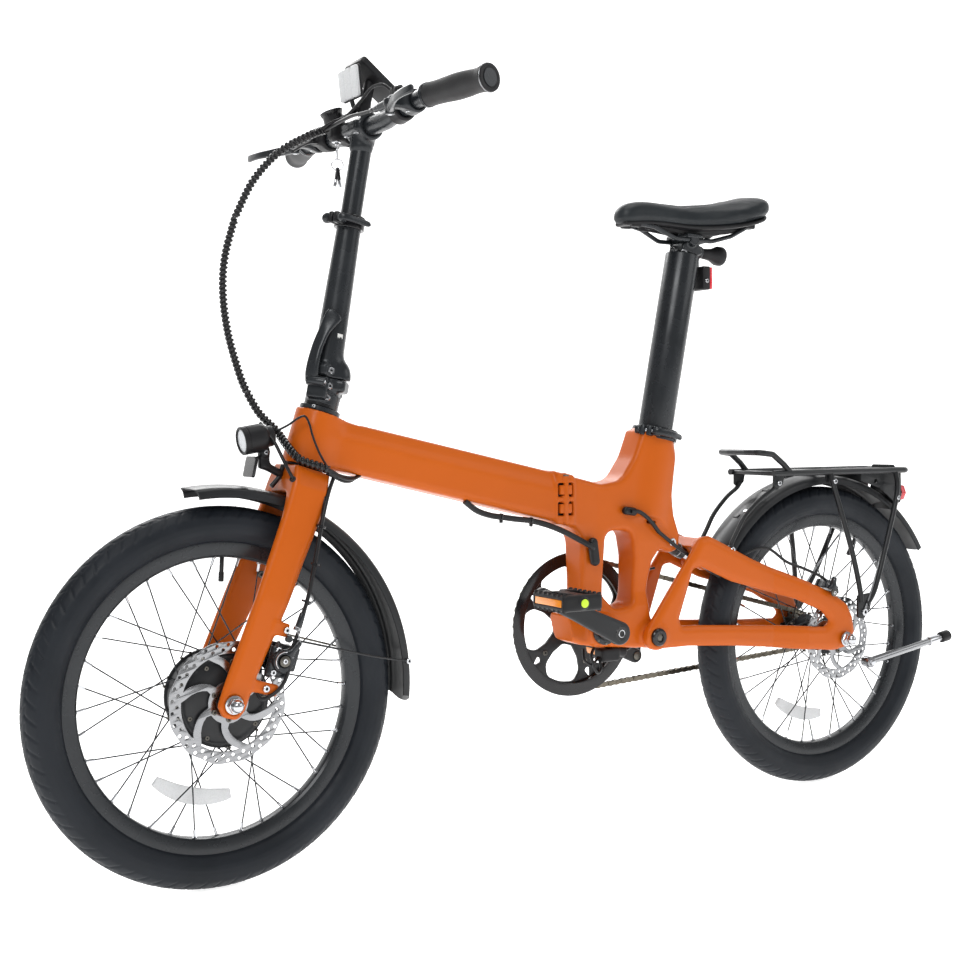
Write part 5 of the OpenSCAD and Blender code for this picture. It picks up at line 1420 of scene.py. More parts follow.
bl, br = barp(-1), barp(1)
path = round_path([tuple(q) for q in (bl[4], bl[3], bl[2], bl[1], br[1], br[2], br[3], br[4])], 34, 10)
path = np.asarray(path, float)
seg = [path[0]]
for a_, b_ in zip(path[:-1], path[1:]):
    k = max(1, int(np.linalg.norm(b_ - a_) / 12))
    for i in range(1, k + 1):
        seg.append(a_ + (b_ - a_) * i / k)
seg = np.array(seg)
rr = np.where(np.abs(seg[:, 1]) < 62, 12.7, np.where(np.abs(seg[:, 1]) > 98, 11.1, 11.1 + 1.6 * (98 - np.abs(seg[:, 1])) / 36))
v, f = sweep(seg, rr, 40)
o = put("bar_tube", v, f, BLACK_ALLOY, "stem", True, 50)
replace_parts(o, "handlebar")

for s in (-1, 1):
    sd = "left" if s < 0 else "right"
    p3, p4 = barp(s)[3], barp(s)[4]
    d = (p4 - p3) / np.linalg.norm(p4 - p3)
    m = align(p3, d)
    grip_prof = [(11.3, 8.2), (14.2, 8.0), (15.2, 8.6), (15.4, 10), (15.0, 18), (15.2, 30), (16.0, 46), (16.6, 60), (16.2, 76), (15.2, 90), (15.4, 100), (16.8, 107), (17.6, 110), (17.6, 112.6), (16.6, 113.6), (11.3, 113.6)]
    pr = [grip_prof[0]] + [tuple(q) for q in catmull([(a, b, 0) for a, b in grip_prof[1:-1]], 4)[:, :2]] + [grip_prof[-1]]
    o = lathe(sd + "_grip_sleeve", pr, GRIP, None, axis="Z", seg=64, mtx=m)
    r1 = lathe(sd + "_grip_ring_in", [(11.3, 3.4), (15.4, 3.4), (15.9, 3.9), (15.9, 7.4), (15.4, 7.9), (11.3, 7.9)], BLACK_ALLOY, None, axis="Z", seg=56, mtx=m)
    r2 = lathe(sd + "_grip_ring_out", [(11.3, 111.4), (17.7, 111.4), (18.1, 111.8), (18.1, 112.8), (17.7, 113.2), (11.3, 113.2)], STEEL, None, axis="Z", seg=56, mtx=m)
    pl = lathe(sd + "_grip_plug", [(0, 114.4), (9, 114.5), (13.2, 114.8), (13.8, 115.6), (16.6, 115.8), (17.4, 115.2), (17.6, 113.4), (0, 113.4)], PLASTIC, None, axis="Z", seg=48, mtx=m)
    ri = lathe(sd + "_grip_ring_edge", [(11.3, 2.4), (14.6, 2.4), (15.0, 2.7), (15.0, 3.3), (11.3, 3.3)], STEEL, None, axis="Z", seg=56, mtx=m)
    o = join([o, r1, r2, pl, ri], sd + "_grip_body")
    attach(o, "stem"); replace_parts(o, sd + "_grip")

    # brake lever perch: split clamp, body, cable barrel
    def f_perch(x, y, z, s=s):
        yy = y * s
        q = [(-316.3, 70, 1016.5), (-319, 165, 1025.6)]
        d = sd_cyl(x, yy, z, (-318.3, 139, 1023), (-318.6, 157, 1024.9), 15.4, 2)
        d = smin(d, sd_box(x, yy, z, (-352, 140, 1013), (-326, 156, 1030), 4), 7)
        d = smin(d, sd_rod(x, yy, z, (-350, 144, 1021), (-351, 118, 1020), 6.2), 7)
        d = smin(d, sd_cyl(x, yy, z, (-354, 149, 1014.2), (-354, 149, 1024), 8.2, 2), 4)
        bar = sd_rod(x, yy, z, (-318.0, 130, 1022.2), (-318.9, 168, 1025.8), 11.2)
        d = np.maximum(d, -bar)
        return np.maximum(d, -np.maximum(np.abs(z - 1024) - 0.8, -(x + 321)))

    lo, hi = sorted((s * 108, s * 166))
    o = casting(sd + "_brake_perch", f_perch, (-366, lo, 1002), (-296, hi, 1046), 1.5, BLACK_ALLOY, "stem")
    perch = o
    screw_head(sd + "_perch_bolt", (-327, s * 148, 1012.8), (0, 0, -1), 3.6, 2.6, CHROME, "stem", "cap")
    cyl(sd + "_cable_barrel", (-351, s * 119, 1020), (-351.6, s * 103, 1020), 4.6, BLACK_ALLOY, "stem", 24, 0.8)
    cyl(sd + "_cable_ferrule", (-351.6, s * 103, 1020), (-352, s * 92, 1020), 3.6, GLOSSP, "stem", 24, 0.6)
    # lever blade with a rolled end
    o = lever_blade(sd + "_brake_blade", [(-354, s * 149, 1011.4), (-360, s * 164, 1010.6), (-370, s * 186, 1010.2), (-379.5, s * 214, 1010.4), (-382.5, s * 240, 1011), (-381, s * 262, 1011.6)],
                    [5.4, 6.2, 6.6, 5.6, 5.2, 5.4, 5.8], [5.5, 4.6, 3.6, 2.9, 2.7, 2.8, 3.0], BLACK_ALLOY, None, None)
    hb = cyl(sd + "_lever_hub", (-354, s * 149, 1004), (-354, s * 149, 1013.8), 6.4, BLACK_ALLOY, None, 28, 0.8)
    pv = cyl(sd + "_lever_pivot", (-354, s * 149, 1003.2), (-354, s * 149, 1013.9), 3.0, CHROME, None, 20, 0.5)
    o = join([o, hb, pv], sd + "_brake_lever_body")
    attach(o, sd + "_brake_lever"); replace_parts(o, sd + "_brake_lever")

    def f_pod(x, y, z, s=s):
        yy = y * s
        d = sd_cyl(x, yy, z, (-317.3, 100.5, 1019.4), (-317.9, 123.5, 1021.6), 16.4, 3)
        if s < 0:
            d = smin(d, sd_box(x, yy, z, (-331, 101, 1029), (-304, 123, 1050), 4), 6)
        else:
            d = smin(d, sd_box(x, yy, z, (-343, 102, 1011), (-322, 122, 1031), 5), 6)
        bar = sd_rod(x, yy, z, (-316.9, 92, 1018.6), (-318.3, 130, 1022.2), 11.5)
        return np.maximum(d, -bar)

    lo, hi = sorted((s * 96, s * 128))
    pod = casting(sd + "_switch_pod", f_pod, (-349, lo, 998), (-296, hi, 1056), 1.5, PLASTIC, "stem")
    if s < 0:
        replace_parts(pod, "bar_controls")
        box("left_switch_seam", (-331.4, -112.4, 1030), (-303.6, -111.6, 1050.3), GLOSSP, "stem", 0.2)
        for i, (xx, cc) in enumerate(((-322, PLASTIC), (-311, RED))):
            cyl("switch_button_%d" % i, (xx, -117.4, 1049), (xx, -117.4, 1051.6), 3.2, cc, "stem", 20, 0.8)
    else:
        for i, zz in enumerate((1016, 1025)):
            cyl("rocker_button_%d" % i, (-342, 112, zz), (-345.2, 112, zz), 3.4, GLOSSP, "stem", 20, 0.9)

# horn cup and ignition lock right of the post
def f_lock(x, y, z):
    d = sd_cyl(x, y, z, (-316.3, 31, 1016.5), (-316.3, 51, 1016.5), 17.6, 2)
    d = smin(d, sd_box(x, y, z, (-350, 31.5, 1006), (-325, 50.5, 1028), 5), 6)
    d = smin(d, sd_cyl(x, y, z, (-339, 41, 1012), (-339, 41, 1005), 9, 1.5), 3)
    return np.maximum(d, -(np.hypot(x + 316.3, z - 1016.5) - 12.8))


casting("ignition_housing", f_lock, (-356, 26, 1000), (-294, 56, 1040), 1.5, PLASTIC, "stem")
lathe("horn_cup", [(0, 4.2), (7, 4.6), (13.8, 5.8), (15.6, 9.8), (16.3, 11.4), (16.3, 13.2), (15.6, 13.8), (14.6, 13.0), (14.2, 6), (15, -1), (14, -10), (10, -15), (0, -15)][::-1], GLOSSP, "stem", axis="Z", seg=48, mtx=align((-340, 46, 1034), (-0.30, 0.1, 0.94)))
for i in range(5):
    box("horn_slot_%d" % i, (-8, -6.2 + 3 * i, 3.2), (8, -5.0 + 3 * i, 4.3), BLACK_PAINT, "stem", 0.2, align((-340, 46, 1034), (-0.30, 0.1, 0.94)))
cyl("ignition_face", (-339, 41, 1005.2), (-339, 41, 1002.6), 6.6, CHROME, "stem", 32, 0.6)
# keys on two rings
k1 = lathe("key_shaft", [(0, 1006), (3, 1006), (3, 1000), (2, 999), (0, 999)], CHROME, None, (-339, 40, 0), "Z", 20)


def ring(name, c, r, w, tilt, mat):
    t = np.linspace(0, 2 * math.pi, 40, endpoint=False)
    m = Matrix.Rotation(math.radians(tilt), 3, "Z")
    p = np.array([tuple(m @ Vector((r * math.cos(a), 0, r * math.sin(a)))) for a in t]) + np.asarray(c, float)
    v, f = sweep(p, w, 8, True)
    return put(name, v, f, mat, None, True, 60)


k2 = ring("key_ring_a", (-338.6, 40, 989), 10.5, 0.9, 62, CHROME)
k3 = ring("key_ring_b", (-338.2, 40, 972), 8.0, 0.8, -20, CHROME)
parts = [k1, k2, k3]
for i, dx in enumerate((-2.6, 2.8)):
    mm = align((-338.2 + 0.3 * dx, 40 + 0.5 * dx, 966), (0.16 * dx / 2.6, 0.02, -1))
    parts.append(plate("key_bow_%d" % i, [fillet([(-3.6, -2, 1.4), (3.6, -2, 1.4), (2.9, 15, 1.2), (-2.9, 15, 1.2)], 5)], 2.6, PLASTIC, None, mm @ Matrix.Rotation(math.radians(90), 4, "X"), 0.5))
    parts.append(cyl("key_tip_%d" % i, (0, 0, 15), (0, 0, 25), 2.4, CHROME, None, 20, 0.5, mm))
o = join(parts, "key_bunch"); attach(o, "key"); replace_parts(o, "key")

# display: tilted slab with a dark window and a bracket; clear reflector in front of it
md = Matrix.Translation((-301, 2, 1084)) @ Matrix.Rotation(math.radians(38), 4, "Y")
o = plate("display_case", [fillet([(-37, -28, 5), (37, -28, 5), (37, 28, 5), (-37, 28, 5)], 6)], 9, PLASTIC, None, md, 1.6, bseg=3)
w = plate("display_window", [fillet([(-31, -23, 3), (26, -23, 3), (26, 23, 3), (-31, 23, 3)], 5)], 0.8, GLOSSP, None, md @ Matrix.Translation((0, 0, 4.5)), 0.3)
st = casting("display_stand", lambda x, y, z: np.maximum(smin(smin(sd_rod(x, y, z, (-306, 3, 1080), (-314, 3, 1046), 7.5), sd_cyl(x, y, z, (-316.3, -4.5, 1016.5), (-316.3, 12.5, 1016.5), 17.5, 1.5) + 40, 0.1),
                                                              sd_box(x, y, z, (-322, -4, 1032), (-309, 11, 1052), 3), 6), -(np.hypot(x + 316.3, z - 1016.5) - 19)),
             (-334, -12, 1024), (-292, 20, 1092), 1.5, PLASTIC)
bt = [cyl("display_button_%d" % i, (31.5, y, 4), (31.5, y, 6), 3.2, BLACK_PAINT, None, 20, 0.6, md) for i, y in enumerate((-14, 0, 14))]
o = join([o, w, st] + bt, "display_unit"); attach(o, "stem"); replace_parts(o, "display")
mr = Matrix.Translation((-337, 0, 1076)) @ Matrix.Rotation(math.radians(-6), 4, "Y") @ Matrix.Rotation(math.radians(90), 4, "Y")
plate("front_reflector_back", [fillet([(-22, -29, 5), (22, -29, 5), (22, 29, 5), (-22, 29, 5)], 6)], 3.0, PLASTIC, "stem", mr @ Matrix.Translation((0, 0, 2)), 0.6)
for i in range(3):
    y0 = -28 + i * 18.8
    plate("front_reflector_lens_%d" % i, [fillet([(-20.8, y0, 3.5), (20.8, y0, 3.5), (20.8, y0 + 18.4, 3.5), (-20.8, y0 + 18.4, 3.5)], 5)], 4.4, CLEAR, "stem", mr @ Matrix.Translation((0, 0, -1.8)), 1.0)
bent("front_reflector_arm", [(-335, 3, 1060), (-331, 3, 1046), (-318, 3, 1040)], 3.2, 6, PLASTIC, "stem", 14)

# cables along the bar
tube("brake_cable_left", [(-352, -93, 1020), (-352.5, -70, 1021), (-354, -40, 1023), (-355, -10, 1022), (-358, 15, 1019), (-366, 30, 1014), (-384, 33, 1003), (-404, 38, 992)], 2.5, HARD_RUBBER, "stem", 12)
tube("switch_cable_left", [(-324, -100, 1046), (-330, -84, 1058), (-334, -58, 1059), (-338, -34, 1046), (-348, -8, 1029), (-358, 14, 1024), (-378, 32, 1010), (-402, 42, 996)], 2.1, HARD_RUBBER, "stem", 12)
tube("brake_cable_right", [(-352, 93, 1020), (-358, 78, 1016), (-378, 60, 1004), (-402, 50, 992)], 2.5, HARD_RUBBER, "stem", 12)
tube("switch_cable_right", [(-340, 104, 1014), (-366, 82, 1006), (-398, 58, 988)], 2.1, HARD_RUBBER, "stem", 12)
tube("display_cable", [(-310, 4, 1062), (-322, 8, 1044), (-340, 14, 1034), (-362, 26, 1018), (-392, 38, 1000)], 2.1, HARD_RUBBER, "stem", 12)


# ================================================================== wiring harness (three spans, each across a joint)
UP = [(-356, 34, 1018), (-386, 26, 1006), (-424, 44, 982), (-452, 68, 945), (-474, 80, 895)]
MID = [(-474.6, 80.3, 893), (-488, 84, 840), (-492, 82, 790), (-489, 72, 735), (-480, 55, 680), (-474, 44, 655)]
LOW = [(-473.4, 43, 653), (-462, 30, 626), (-446, 9, 602), (-441, -15, 582), (-433, -40, 564), (-405, -50, 553), (-375, -42, 534), (-345, -26, 522), (-310, -14, 516)]
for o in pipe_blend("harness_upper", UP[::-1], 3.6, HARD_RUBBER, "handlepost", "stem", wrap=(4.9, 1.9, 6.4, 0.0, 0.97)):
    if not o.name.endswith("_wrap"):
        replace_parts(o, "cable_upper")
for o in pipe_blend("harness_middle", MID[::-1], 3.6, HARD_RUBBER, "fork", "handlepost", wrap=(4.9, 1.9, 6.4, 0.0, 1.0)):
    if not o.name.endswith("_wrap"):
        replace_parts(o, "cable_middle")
LOWV = LOW[:6] + [(-388, -46, 544)]
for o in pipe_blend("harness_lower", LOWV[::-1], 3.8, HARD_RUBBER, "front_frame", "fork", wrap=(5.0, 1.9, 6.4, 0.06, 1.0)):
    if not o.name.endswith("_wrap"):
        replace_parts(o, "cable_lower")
for i, (dy, dz) in enumerate(((0, 2.5), (-3, 0), (2, -2.5), (4, 1))):
    pts = [(-398, -48 + dy * 0.3, 549 + dz * 0.5), (-385, -45 + dy * 0.7, 542 + dz), (-368, -37 + dy, 536.5 + 1.3 * dz), (-352, -28 + dy, 535.5 + dz), (-338, -19 + dy, 539), (-324, -10 + dy, 546)]
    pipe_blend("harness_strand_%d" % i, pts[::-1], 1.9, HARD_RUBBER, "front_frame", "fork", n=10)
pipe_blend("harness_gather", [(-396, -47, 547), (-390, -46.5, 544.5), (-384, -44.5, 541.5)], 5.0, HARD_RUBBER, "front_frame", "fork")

# cable that leaves the beam and enters the seat column through an oval grommet
UB = [(-170, -22, 500), (-150, -22, 486), (-128, -22, 478.5), (-109, -22, 475.3), (-84, -22, 471.5), (-57, -22, 468), (-30, -24, 461), (-4, -27, 451), (22, -31, 438), (42, -37, 426), (50, -30, 419)]
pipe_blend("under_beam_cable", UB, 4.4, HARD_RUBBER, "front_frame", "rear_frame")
casting("column_grommet", lambda x, y, z: smax(sd_rod(x, y, z, (51, -33, 404), (47, -33, 432), 7.6), -(y + 39.5), 1.2), (38, -42, 392), (62, -22, 444), 1.2, HARD_RUBBER, "rear_frame")
for i, (c, d) in enumerate((((-109, -22, 475.3), (1, 0, -.1)), ((-57, -22, 468), (1, 0, -.15)))):
    lathe("cable_tie_beam_%d" % i, [(4.4, -1.6), (5.4, -1.6), (5.4, 1.6), (4.4, 1.6)], GLOSSP, "front_frame", axis="Z", seg=28, close=True, mtx=align(c, d))
    box("cable_tie_head_%d" % i, (c[0] - 2.2, c[1] - 2, c[2] - 8.6), (c[0] + 2.2, c[1] + 2, c[2] - 4.4), GLOSSP, "front_frame", 0.6)
# rear brake cable: out of the frame behind the column, down inside the left arm to the caliper
RB = [(108, -30, 476), (129, -31, 477), (150, -31, 470), (170, -30, 458), (182, -28, 449)]
tube("rear_cable_frame", [(116, -37.5, 477), (130, -38.4, 476), (146, -37.5, 467), (160, -36, 455), (172, -34, 443)], 3.3, HARD_RUBBER, "rear_frame", 12)
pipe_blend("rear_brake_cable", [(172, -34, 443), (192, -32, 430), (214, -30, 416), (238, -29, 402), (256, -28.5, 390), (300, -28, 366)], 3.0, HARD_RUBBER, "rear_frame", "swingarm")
casting("rear_grommet", lambda x, y, z: smax(sd_rod(x, y, z, (110, -32.5, 478), (124, -32.5, 476), 6.4), -(y + 37.6), 1.0), (98, -42, 462), (136, -22, 490), 1.2, HARD_RUBBER, "rear_frame")
screw_head("grommet_screw", (119, -37.4, 477.5), (0, -1, 0), 2.6, 1.4, CHROME, "rear_frame", "cap")
tube("rear_cable_arm", [(300, -28, 366), (345, -32, 398), (392, -36, 408), (430, -44, 384), (462, -50, 372), (494, -56, 358), (508, -58, 348)], 2.4, HARD_RUBBER, "swingarm", 12)
tube("motor_loop_a", [(140, -8, 398), (156, -4, 388), (176, 2, 382), (196, 8, 382)], 2.2, HARD_RUBBER, "rear_frame", 12)

# ================================================================== front fender, lamp, caliper
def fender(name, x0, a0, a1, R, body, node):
    out = catmull([(R - 16.5, -30.6, 0), (R - 12, -30.2, 0), (R - 6.5, -28.6, 0), (R - 3.2, -23.5, 0), (R - 1.4, -15, 0), (R - 0.4, -7, 0), (R, 0, 0), (R - 0.4, 7, 0), (R - 1.4, 15, 0), (R - 3.2, 23.5, 0), (R - 6.5, 28.6, 0), (R - 12, 30.2, 0), (R - 16.5, 30.6, 0)], 4)[:, :2]
    inn = np.stack([out[:, 0] - 1.7, out[:, 1] * 0.955], 1)[::-1]
    inn[:, 0] = np.maximum(inn[:, 0], R - 16.9)
    prof = [tuple(q) for q in out] + [tuple(q) for q in inn]
    n = 160
    th = np.radians(np.linspace(a0, a1, n))
    fr = np.minimum(np.linspace(0, 1, n), np.linspace(1, 0, n)) * n / 6.0
    V, F = [], []
    m = len(prof)
    for i, t in enumerate(th):
        for r, y in prof:
            k = 1.0
            # the ends are cut back at the sides, leaving a rounded tongue
            back = math.radians(2.2) * (abs(y) / 30.0) ** 2.2
            tt = t
            if fr[i] < 1:
                tt = t + (back if i < n / 2 else -back) * (1 - fr[i]) * 1.0
            V.append((x0 + r * math.cos(tt), y, AZ + r * math.sin(tt)))
    for i in range(n - 1):
        for k in range(m):
            l = (k + 1) % m
            F.append((i * m + k, i * m + l, (i + 1) * m + l, (i + 1) * m + k))
    F.append(tuple(range(m))); F.append(tuple((n - 1) * m + k for k in range(m - 1, -1, -1)))
    o = put(name, V, F, BLACK_PAINT, None, True, 40)
    bm = bmesh.new(); bm.from_mesh(o.data); bmesh.ops.recalc_face_normals(bm, faces=bm.faces); bm.to_mesh(o.data); bm.free()
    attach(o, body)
    if node:
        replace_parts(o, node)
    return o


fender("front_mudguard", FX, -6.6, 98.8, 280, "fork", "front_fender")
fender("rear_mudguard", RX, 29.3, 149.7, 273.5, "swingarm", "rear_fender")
for s in (-1, 1):
    t = math.radians(6)
    pe = (FX + 272 * math.cos(t), s * 31.4, AZ + 268 * math.sin(t))
    tube("fender_stay_f%d" % (s > 0), [pe, (-330, s * 44, 294), (-400, s * 60, 314), (-462, s * 68, 331)], 1.5, DARKSTEEL if s > 0 else BLACK_PAINT, "fork", 10)
    screw_head("stay_screw_f%d" % (s > 0), (pe[0], s * 31.6, pe[2]), (0, s, 0), 4.0, 3.0, CHROME, "fork", "cap")
    lathe("stay_clamp_f%d" % (s > 0), [(0, -3), (4, -3), (4.6, -2.4), (4.6, 2.4), (4, 3), (0, 3)], BLACK_ALLOY, "fork", axis="Z", seg=24, mtx=align((-463, s * 67, 331), (0, 1, 0)))
    # rear stay: bright U of wire from the dropout to the guard
    tube("fender_stay_r%d" % (s > 0), [(574, s * 79, 300), (592, s * 76, 330), (640, s * 58, 402), (676, s * 40, 448), (690, s * 31.4, 462)], 1.6, STEEL, "swingarm", 10)
    screw_head("stay_screw_r%d" % (s > 0), (691, s * 31.2, 461), (0, s, 0), 3.6, 2.6, CHROME, "swingarm", "cap")
tube("fender_stay_loop", [(690, -31.4, 462), (700, -24, 474), (704, -10, 478), (704, 10, 478), (700, 24, 474), (690, 31.4, 462)], 1.6, STEEL, "swingarm", 10)
bent("front_fender_bracket", [(-458, 0, 527), (-446, 0, 540), (-440, 0, 556)], 3.4, 4, BLACK_PAINT, "fork", 12)
# screws that hold the guard on its crown strap
for i, a in enumerate((112, 128)):
    t = math.radians(a)
    screw_head("rear_guard_screw_%d" % i, (RX + 273.2 * math.cos(t), -12, AZ + 273.2 * math.sin(t)), (math.cos(t), 0, math.sin(t)), 3.6, 2.2, CHROME, "swingarm", "cap")
    box("rear_guard_tab_%d" % i, (-6, -16, 0), (6, -8, 1.6), BLACK_PAINT, "swingarm", 0.4, align((RX + 272.6 * math.cos(t), 0, AZ + 272.6 * math.sin(t)), (math.cos(t), 0, math.sin(t))))

ml = align((-500, 0, 588), (36, 0, 6))
o = lathe("lamp_barrel", [(5, 12), (13, 4), (15.4, 2.4), (15.6, 0.4), (16.2, 0), (18.2, 0), (19, 0.8), (19, 6), (18.4, 6.6), (18.4, 7.6), (19, 8.2), (19, 28), (18.4, 31), (16.8, 34), (14.6, 36), (14.2, 37.5), (14.2, 42), (13.4, 44), (12, 44.8), (0, 44.8)], PLASTIC, None, axis="Z", seg=72, mtx=ml)
dsh = lathe("lamp_dish", [(0, 10.6), (3, 10.6), (6, 9.6), (10, 6.6), (13.2, 3.2), (15.3, 2.2), (15.3, 2.9), (0, 12)], CHROME, None, axis="Z", seg=48, mtx=ml)
br_ = casting("lamp_bracket", lambda x, y, z: smin(smin(sd_box(x, y, z, (-475, -4.5, 552), (-461, 4.5, 580), 2), sd_rod(x, y, z, (-468, 0, 556), (-446, 0, 545), 5.4), 5), sd_cyl(x, y, z, (-468, -7, 573), (-468, 7, 573), 6, 1.5), 4), (-486, -14, 534), (-436, 14, 584), 1.3, PLASTIC)
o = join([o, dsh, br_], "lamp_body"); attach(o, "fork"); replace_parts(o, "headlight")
lathe("lamp_glass", [(0, 0.6), (8, 0.9), (13, 1.4), (15.3, 1.9), (15.3, 2.3), (0, 2.3)], GLASSY, "fork", axis="Z", seg=48, mtx=ml)
cyl("lamp_diode", (-488.6, 0, 589.9), (-491, 0, 589.5), 3.0, LIME, "fork", 24, 0.4)
screw_head("lamp_bolt", (-468, -7, 573), (0, -1, 0), 3.6, 3, CHROME, "fork", "cap")
screw_head("lamp_crown_bolt", (-447, 0, 545.6), (-0.9, 0, 0.45), 4.6, 3, CHROME, "fork", "cap")
ms = Matrix.Translation((-487, 0, 554)) @ Matrix.Rotation(math.radians(12), 4, "Y") @ Matrix.Rotation(math.radians(90), 4, "Y")
plate("lamp_under_reflector", [fillet([(-14, -18, 4), (14, -18, 4), (14, 18, 4), (-14, 18, 4)], 5)], 4, GLOSSP, "fork", ms, 0.8)
bent("lamp_under_arm", [(-485, 0, 562), (-476, 0, 566), (-468, 0, 570)], 2.6, 3, PLASTIC, "fork", 12)
tube("lamp_cable", [(-456, 0, 597), (-450, -10, 603), (-441, -22, 610), (-432, -30, 618), (-424, -35, 621), (-419, -38, 612), (-415, -41, 594), (-408, -44, 574), (-399, -45, 558), (-390, -44, 547), (-380, -41, 541)], 1.5, HARD_RUBBER, "fork", 12)
tube("crown_cable", [(-470, 6, 612), (-468, -6, 603), (-461, -18, 588), (-455, -32, 566), (-449, -39, 549), (-443, -40, 538), (-436, -38, 530)], 2.3, HARD_RUBBER, "fork", 12)
lathe("crown_grommet", [(2.4, -1), (4.2, -1), (4.6, 0.4), (4.0, 1.6), (2.4, 1.8)], HARD_RUBBER, "fork", axis="Z", seg=28, mtx=align((-444, -40.5, 538), (-0.5, -0.6, 0.6)))


def f_fcal(x, y, z):
    d = sd_box(x, y, z, (3, -61.5, -275), (33, -49.5, -231), 5)
    d = smin(d, sd_box(x, y, z, (3, -39.7, -265.5), (33, -34.3, -231), 2), 1)
    d = smin(d, sd_box(x, y, z, (29, -61.5, -263.5), (40, -34.5, -231), 3.5), 4)
    d = smin(d, sd_cyl(x, y, z, (18, -60, -252), (18, -69.5, -252), 15, 2.5), 4)
    d = smin(d, sd_rod(x, y, z, (18, -66, -252), (30, -70, -226), 4.6), 6)
    d = smin(d, sd_rod(x, y, z, (6, -56, -233), (6, -56, -272), 5.5), 3)
    d = np.maximum(d, -sd_cyl(x, y, z, (18, -68.2, -252), (18, -75, -252), 8.5, 1))
    d = np.maximum(d, -np.maximum(np.maximum(x - 8, -236.5 - z), -8 - x))
    return np.maximum(d, -np.maximum(np.abs(y + 43.9) - 2.6, x - 30))


o = casting("front_brake_body", f_fcal, (-4, -76, -284), (48, -28, -222), 1.1, BLACK_ALLOY, None, M_FORK)
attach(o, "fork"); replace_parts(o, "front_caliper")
cyl("front_brake_adjuster", (18, -68, -252), (18, -72.2, -252), 7.4, DARKSTEEL, "fork", 32, 0.8, M_FORK)
screw_head("front_brake_adj_screw", (18, -72, -252), (0, -1, 0), 3.4, 1.6, CHROME, "fork", "cap", M_FORK)
for i, (x, z) in enumerate(((9, -240), (10, -270))):
    screw_head("front_brake_bolt_%d" % i, (x, -61.2, z), (0, -1, 0), 4.0, 3.0, CHROME, "fork", "cap", M_FORK)
cyl("front_brake_arm_pin", (30, -66, -226), (30, -73.4, -226), 4.0, CHROME, "fork", 20, 0.6, M_FORK)
tube("front_brake_spring", [(18 + 12 * math.cos(t), -70.2 + 0.0 * t, -252 + 12 * math.sin(t)) for t in np.linspace(0.6, 4.2, 14)], 0.8, CHROME, "fork", 8, 3, mtx=M_FORK)
# barrel, boot and hose up the back of the left leg
cyl("front_brake_barrel", (23, -69, -206), (24.5, -69.5, -186), 3.9, BLACK_ALLOY, "fork", 24, 0.6, M_FORK)
cyl("front_brake_nut", (22.8, -69, -210), (23, -69, -205), 5.0, STEEL, "fork", 6, 0.5, M_FORK)
vsweep("front_brake_boot", [(30, -70.4, -223), (27.5, -70, -216), (24, -69.2, -210)], [1.0, 1.0, 1.2], STEEL, "fork", 10, 6, M_FORK)
tube("front_brake_hose", [(24.5, -69.5, -188), (26, -69, -168), (25, -65, -130), (23, -60, -90), (22, -54, -50), (24, -47, -24), (27, -42, -8), (30, -38, 4)], 2.7, HARD_RUBBER, "fork", 12, 10, True, 40, M_FORK)
tube("motor_cable", [(-3, -58, -300), (4, -62, -306), (14, -64, -300), (24, -66, -286), (28, -67, -266), (24, -68, -238), (27, -67, -206), (28, -64, -170), (27, -60, -120), (24, -54, -70), (21, -46, -30)], 2.6, HARD_RUBBER, "fork", 12, 10, True, 40, M_FORK)
for i, z in enumerate((-170, -120, -70)):
    lathe("leg_tie_%d" % i, [(5.6, -1.4), (6.5, -1.4), (6.5, 1.4), (5.6, 1.4)], GLOSSP, "fork", axis="Z", seg=24, close=True, mtx=M_FORK @ Matrix.Translation((26.5 if i < 2 else 23, (-66, -62.5, -55)[i], z)))
# small bolt on the inner face of the far leg
screw_head("far_leg_bolt", (-2, 37.5, -150), (0, -1, 0), 5.0, 3.4, DARKSTEEL, "fork", "cap", M_FORK)


# rear caliper on the left dropout
MRC = Matrix.Translation((505, 0, 330)) @ Matrix.Rotation(math.radians(-60), 4, "Y")


def f_rcal(x, y, z):
    d = sd_box(x, y, z, (-18, -67.5, -14), (18, -54.5, 14), 4)
    d = smin(d, sd_box(x, y, z, (-18, -46.7, -14), (18, -40.3, 14), 2), 1)
    d = smin(d, sd_box(x, y, z, (2, -67.5, -14), (18, -40.3, 14), 3), 3)
    d = smin(d, sd_cyl(x, y, z, (2, -66, 0), (2, -75, 0), 12.5, 2.5), 4)
    d = smin(d, sd_rod(x, y, z, (2, -72, 0), (22, -74, 10), 4.4), 6)
    wx, wz = 505 + x * 0.5 - z * 0.866, 330 + x * 0.866 + z * 0.5
    d = np.maximum(d, -sd_poly(wx, wz, [(400, 300), (600, 300), (547, 308.4), (512, 332.8), (444, 359.8), (400, 376)]))
    return np.maximum(d, -np.maximum(np.abs(y + 50.6) - 3.6, x - 1))


o = casting("rear_brake_body", f_rcal, (-24, -80, -20), (30, -34, 20), 1.1, BLACK_ALLOY, None, MRC)
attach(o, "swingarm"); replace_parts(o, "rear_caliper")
cyl("rear_brake_adjuster", (2, -74, 0), (2, -77, 0), 6.4, DARKSTEEL, "swingarm", 28, 0.6, MRC)
screw_head("rear_brake_screw", (2, -76.6, 0), (0, -1, 0), 3.0, 1.6, CHROME, "swingarm", "cap", MRC)
cyl("rear_brake_arm_pin", (22, -70, 10), (22, -77.4, 10), 3.4, CHROME, "swingarm", 20, 0.5, MRC)
cyl("rear_brake_barrel", (504, -58, 350), (514, -62, 342), 3.8, BLACK_ALLOY, "swingarm", 20, 0.5)
for i, z in enumerate((-9, 9)):
    screw_head("rear_brake_bolt_%d" % i, (12, -67.2, z), (0, -1, 0), 3.4, 2.4, CHROME, "swingarm", "cap", MRC)


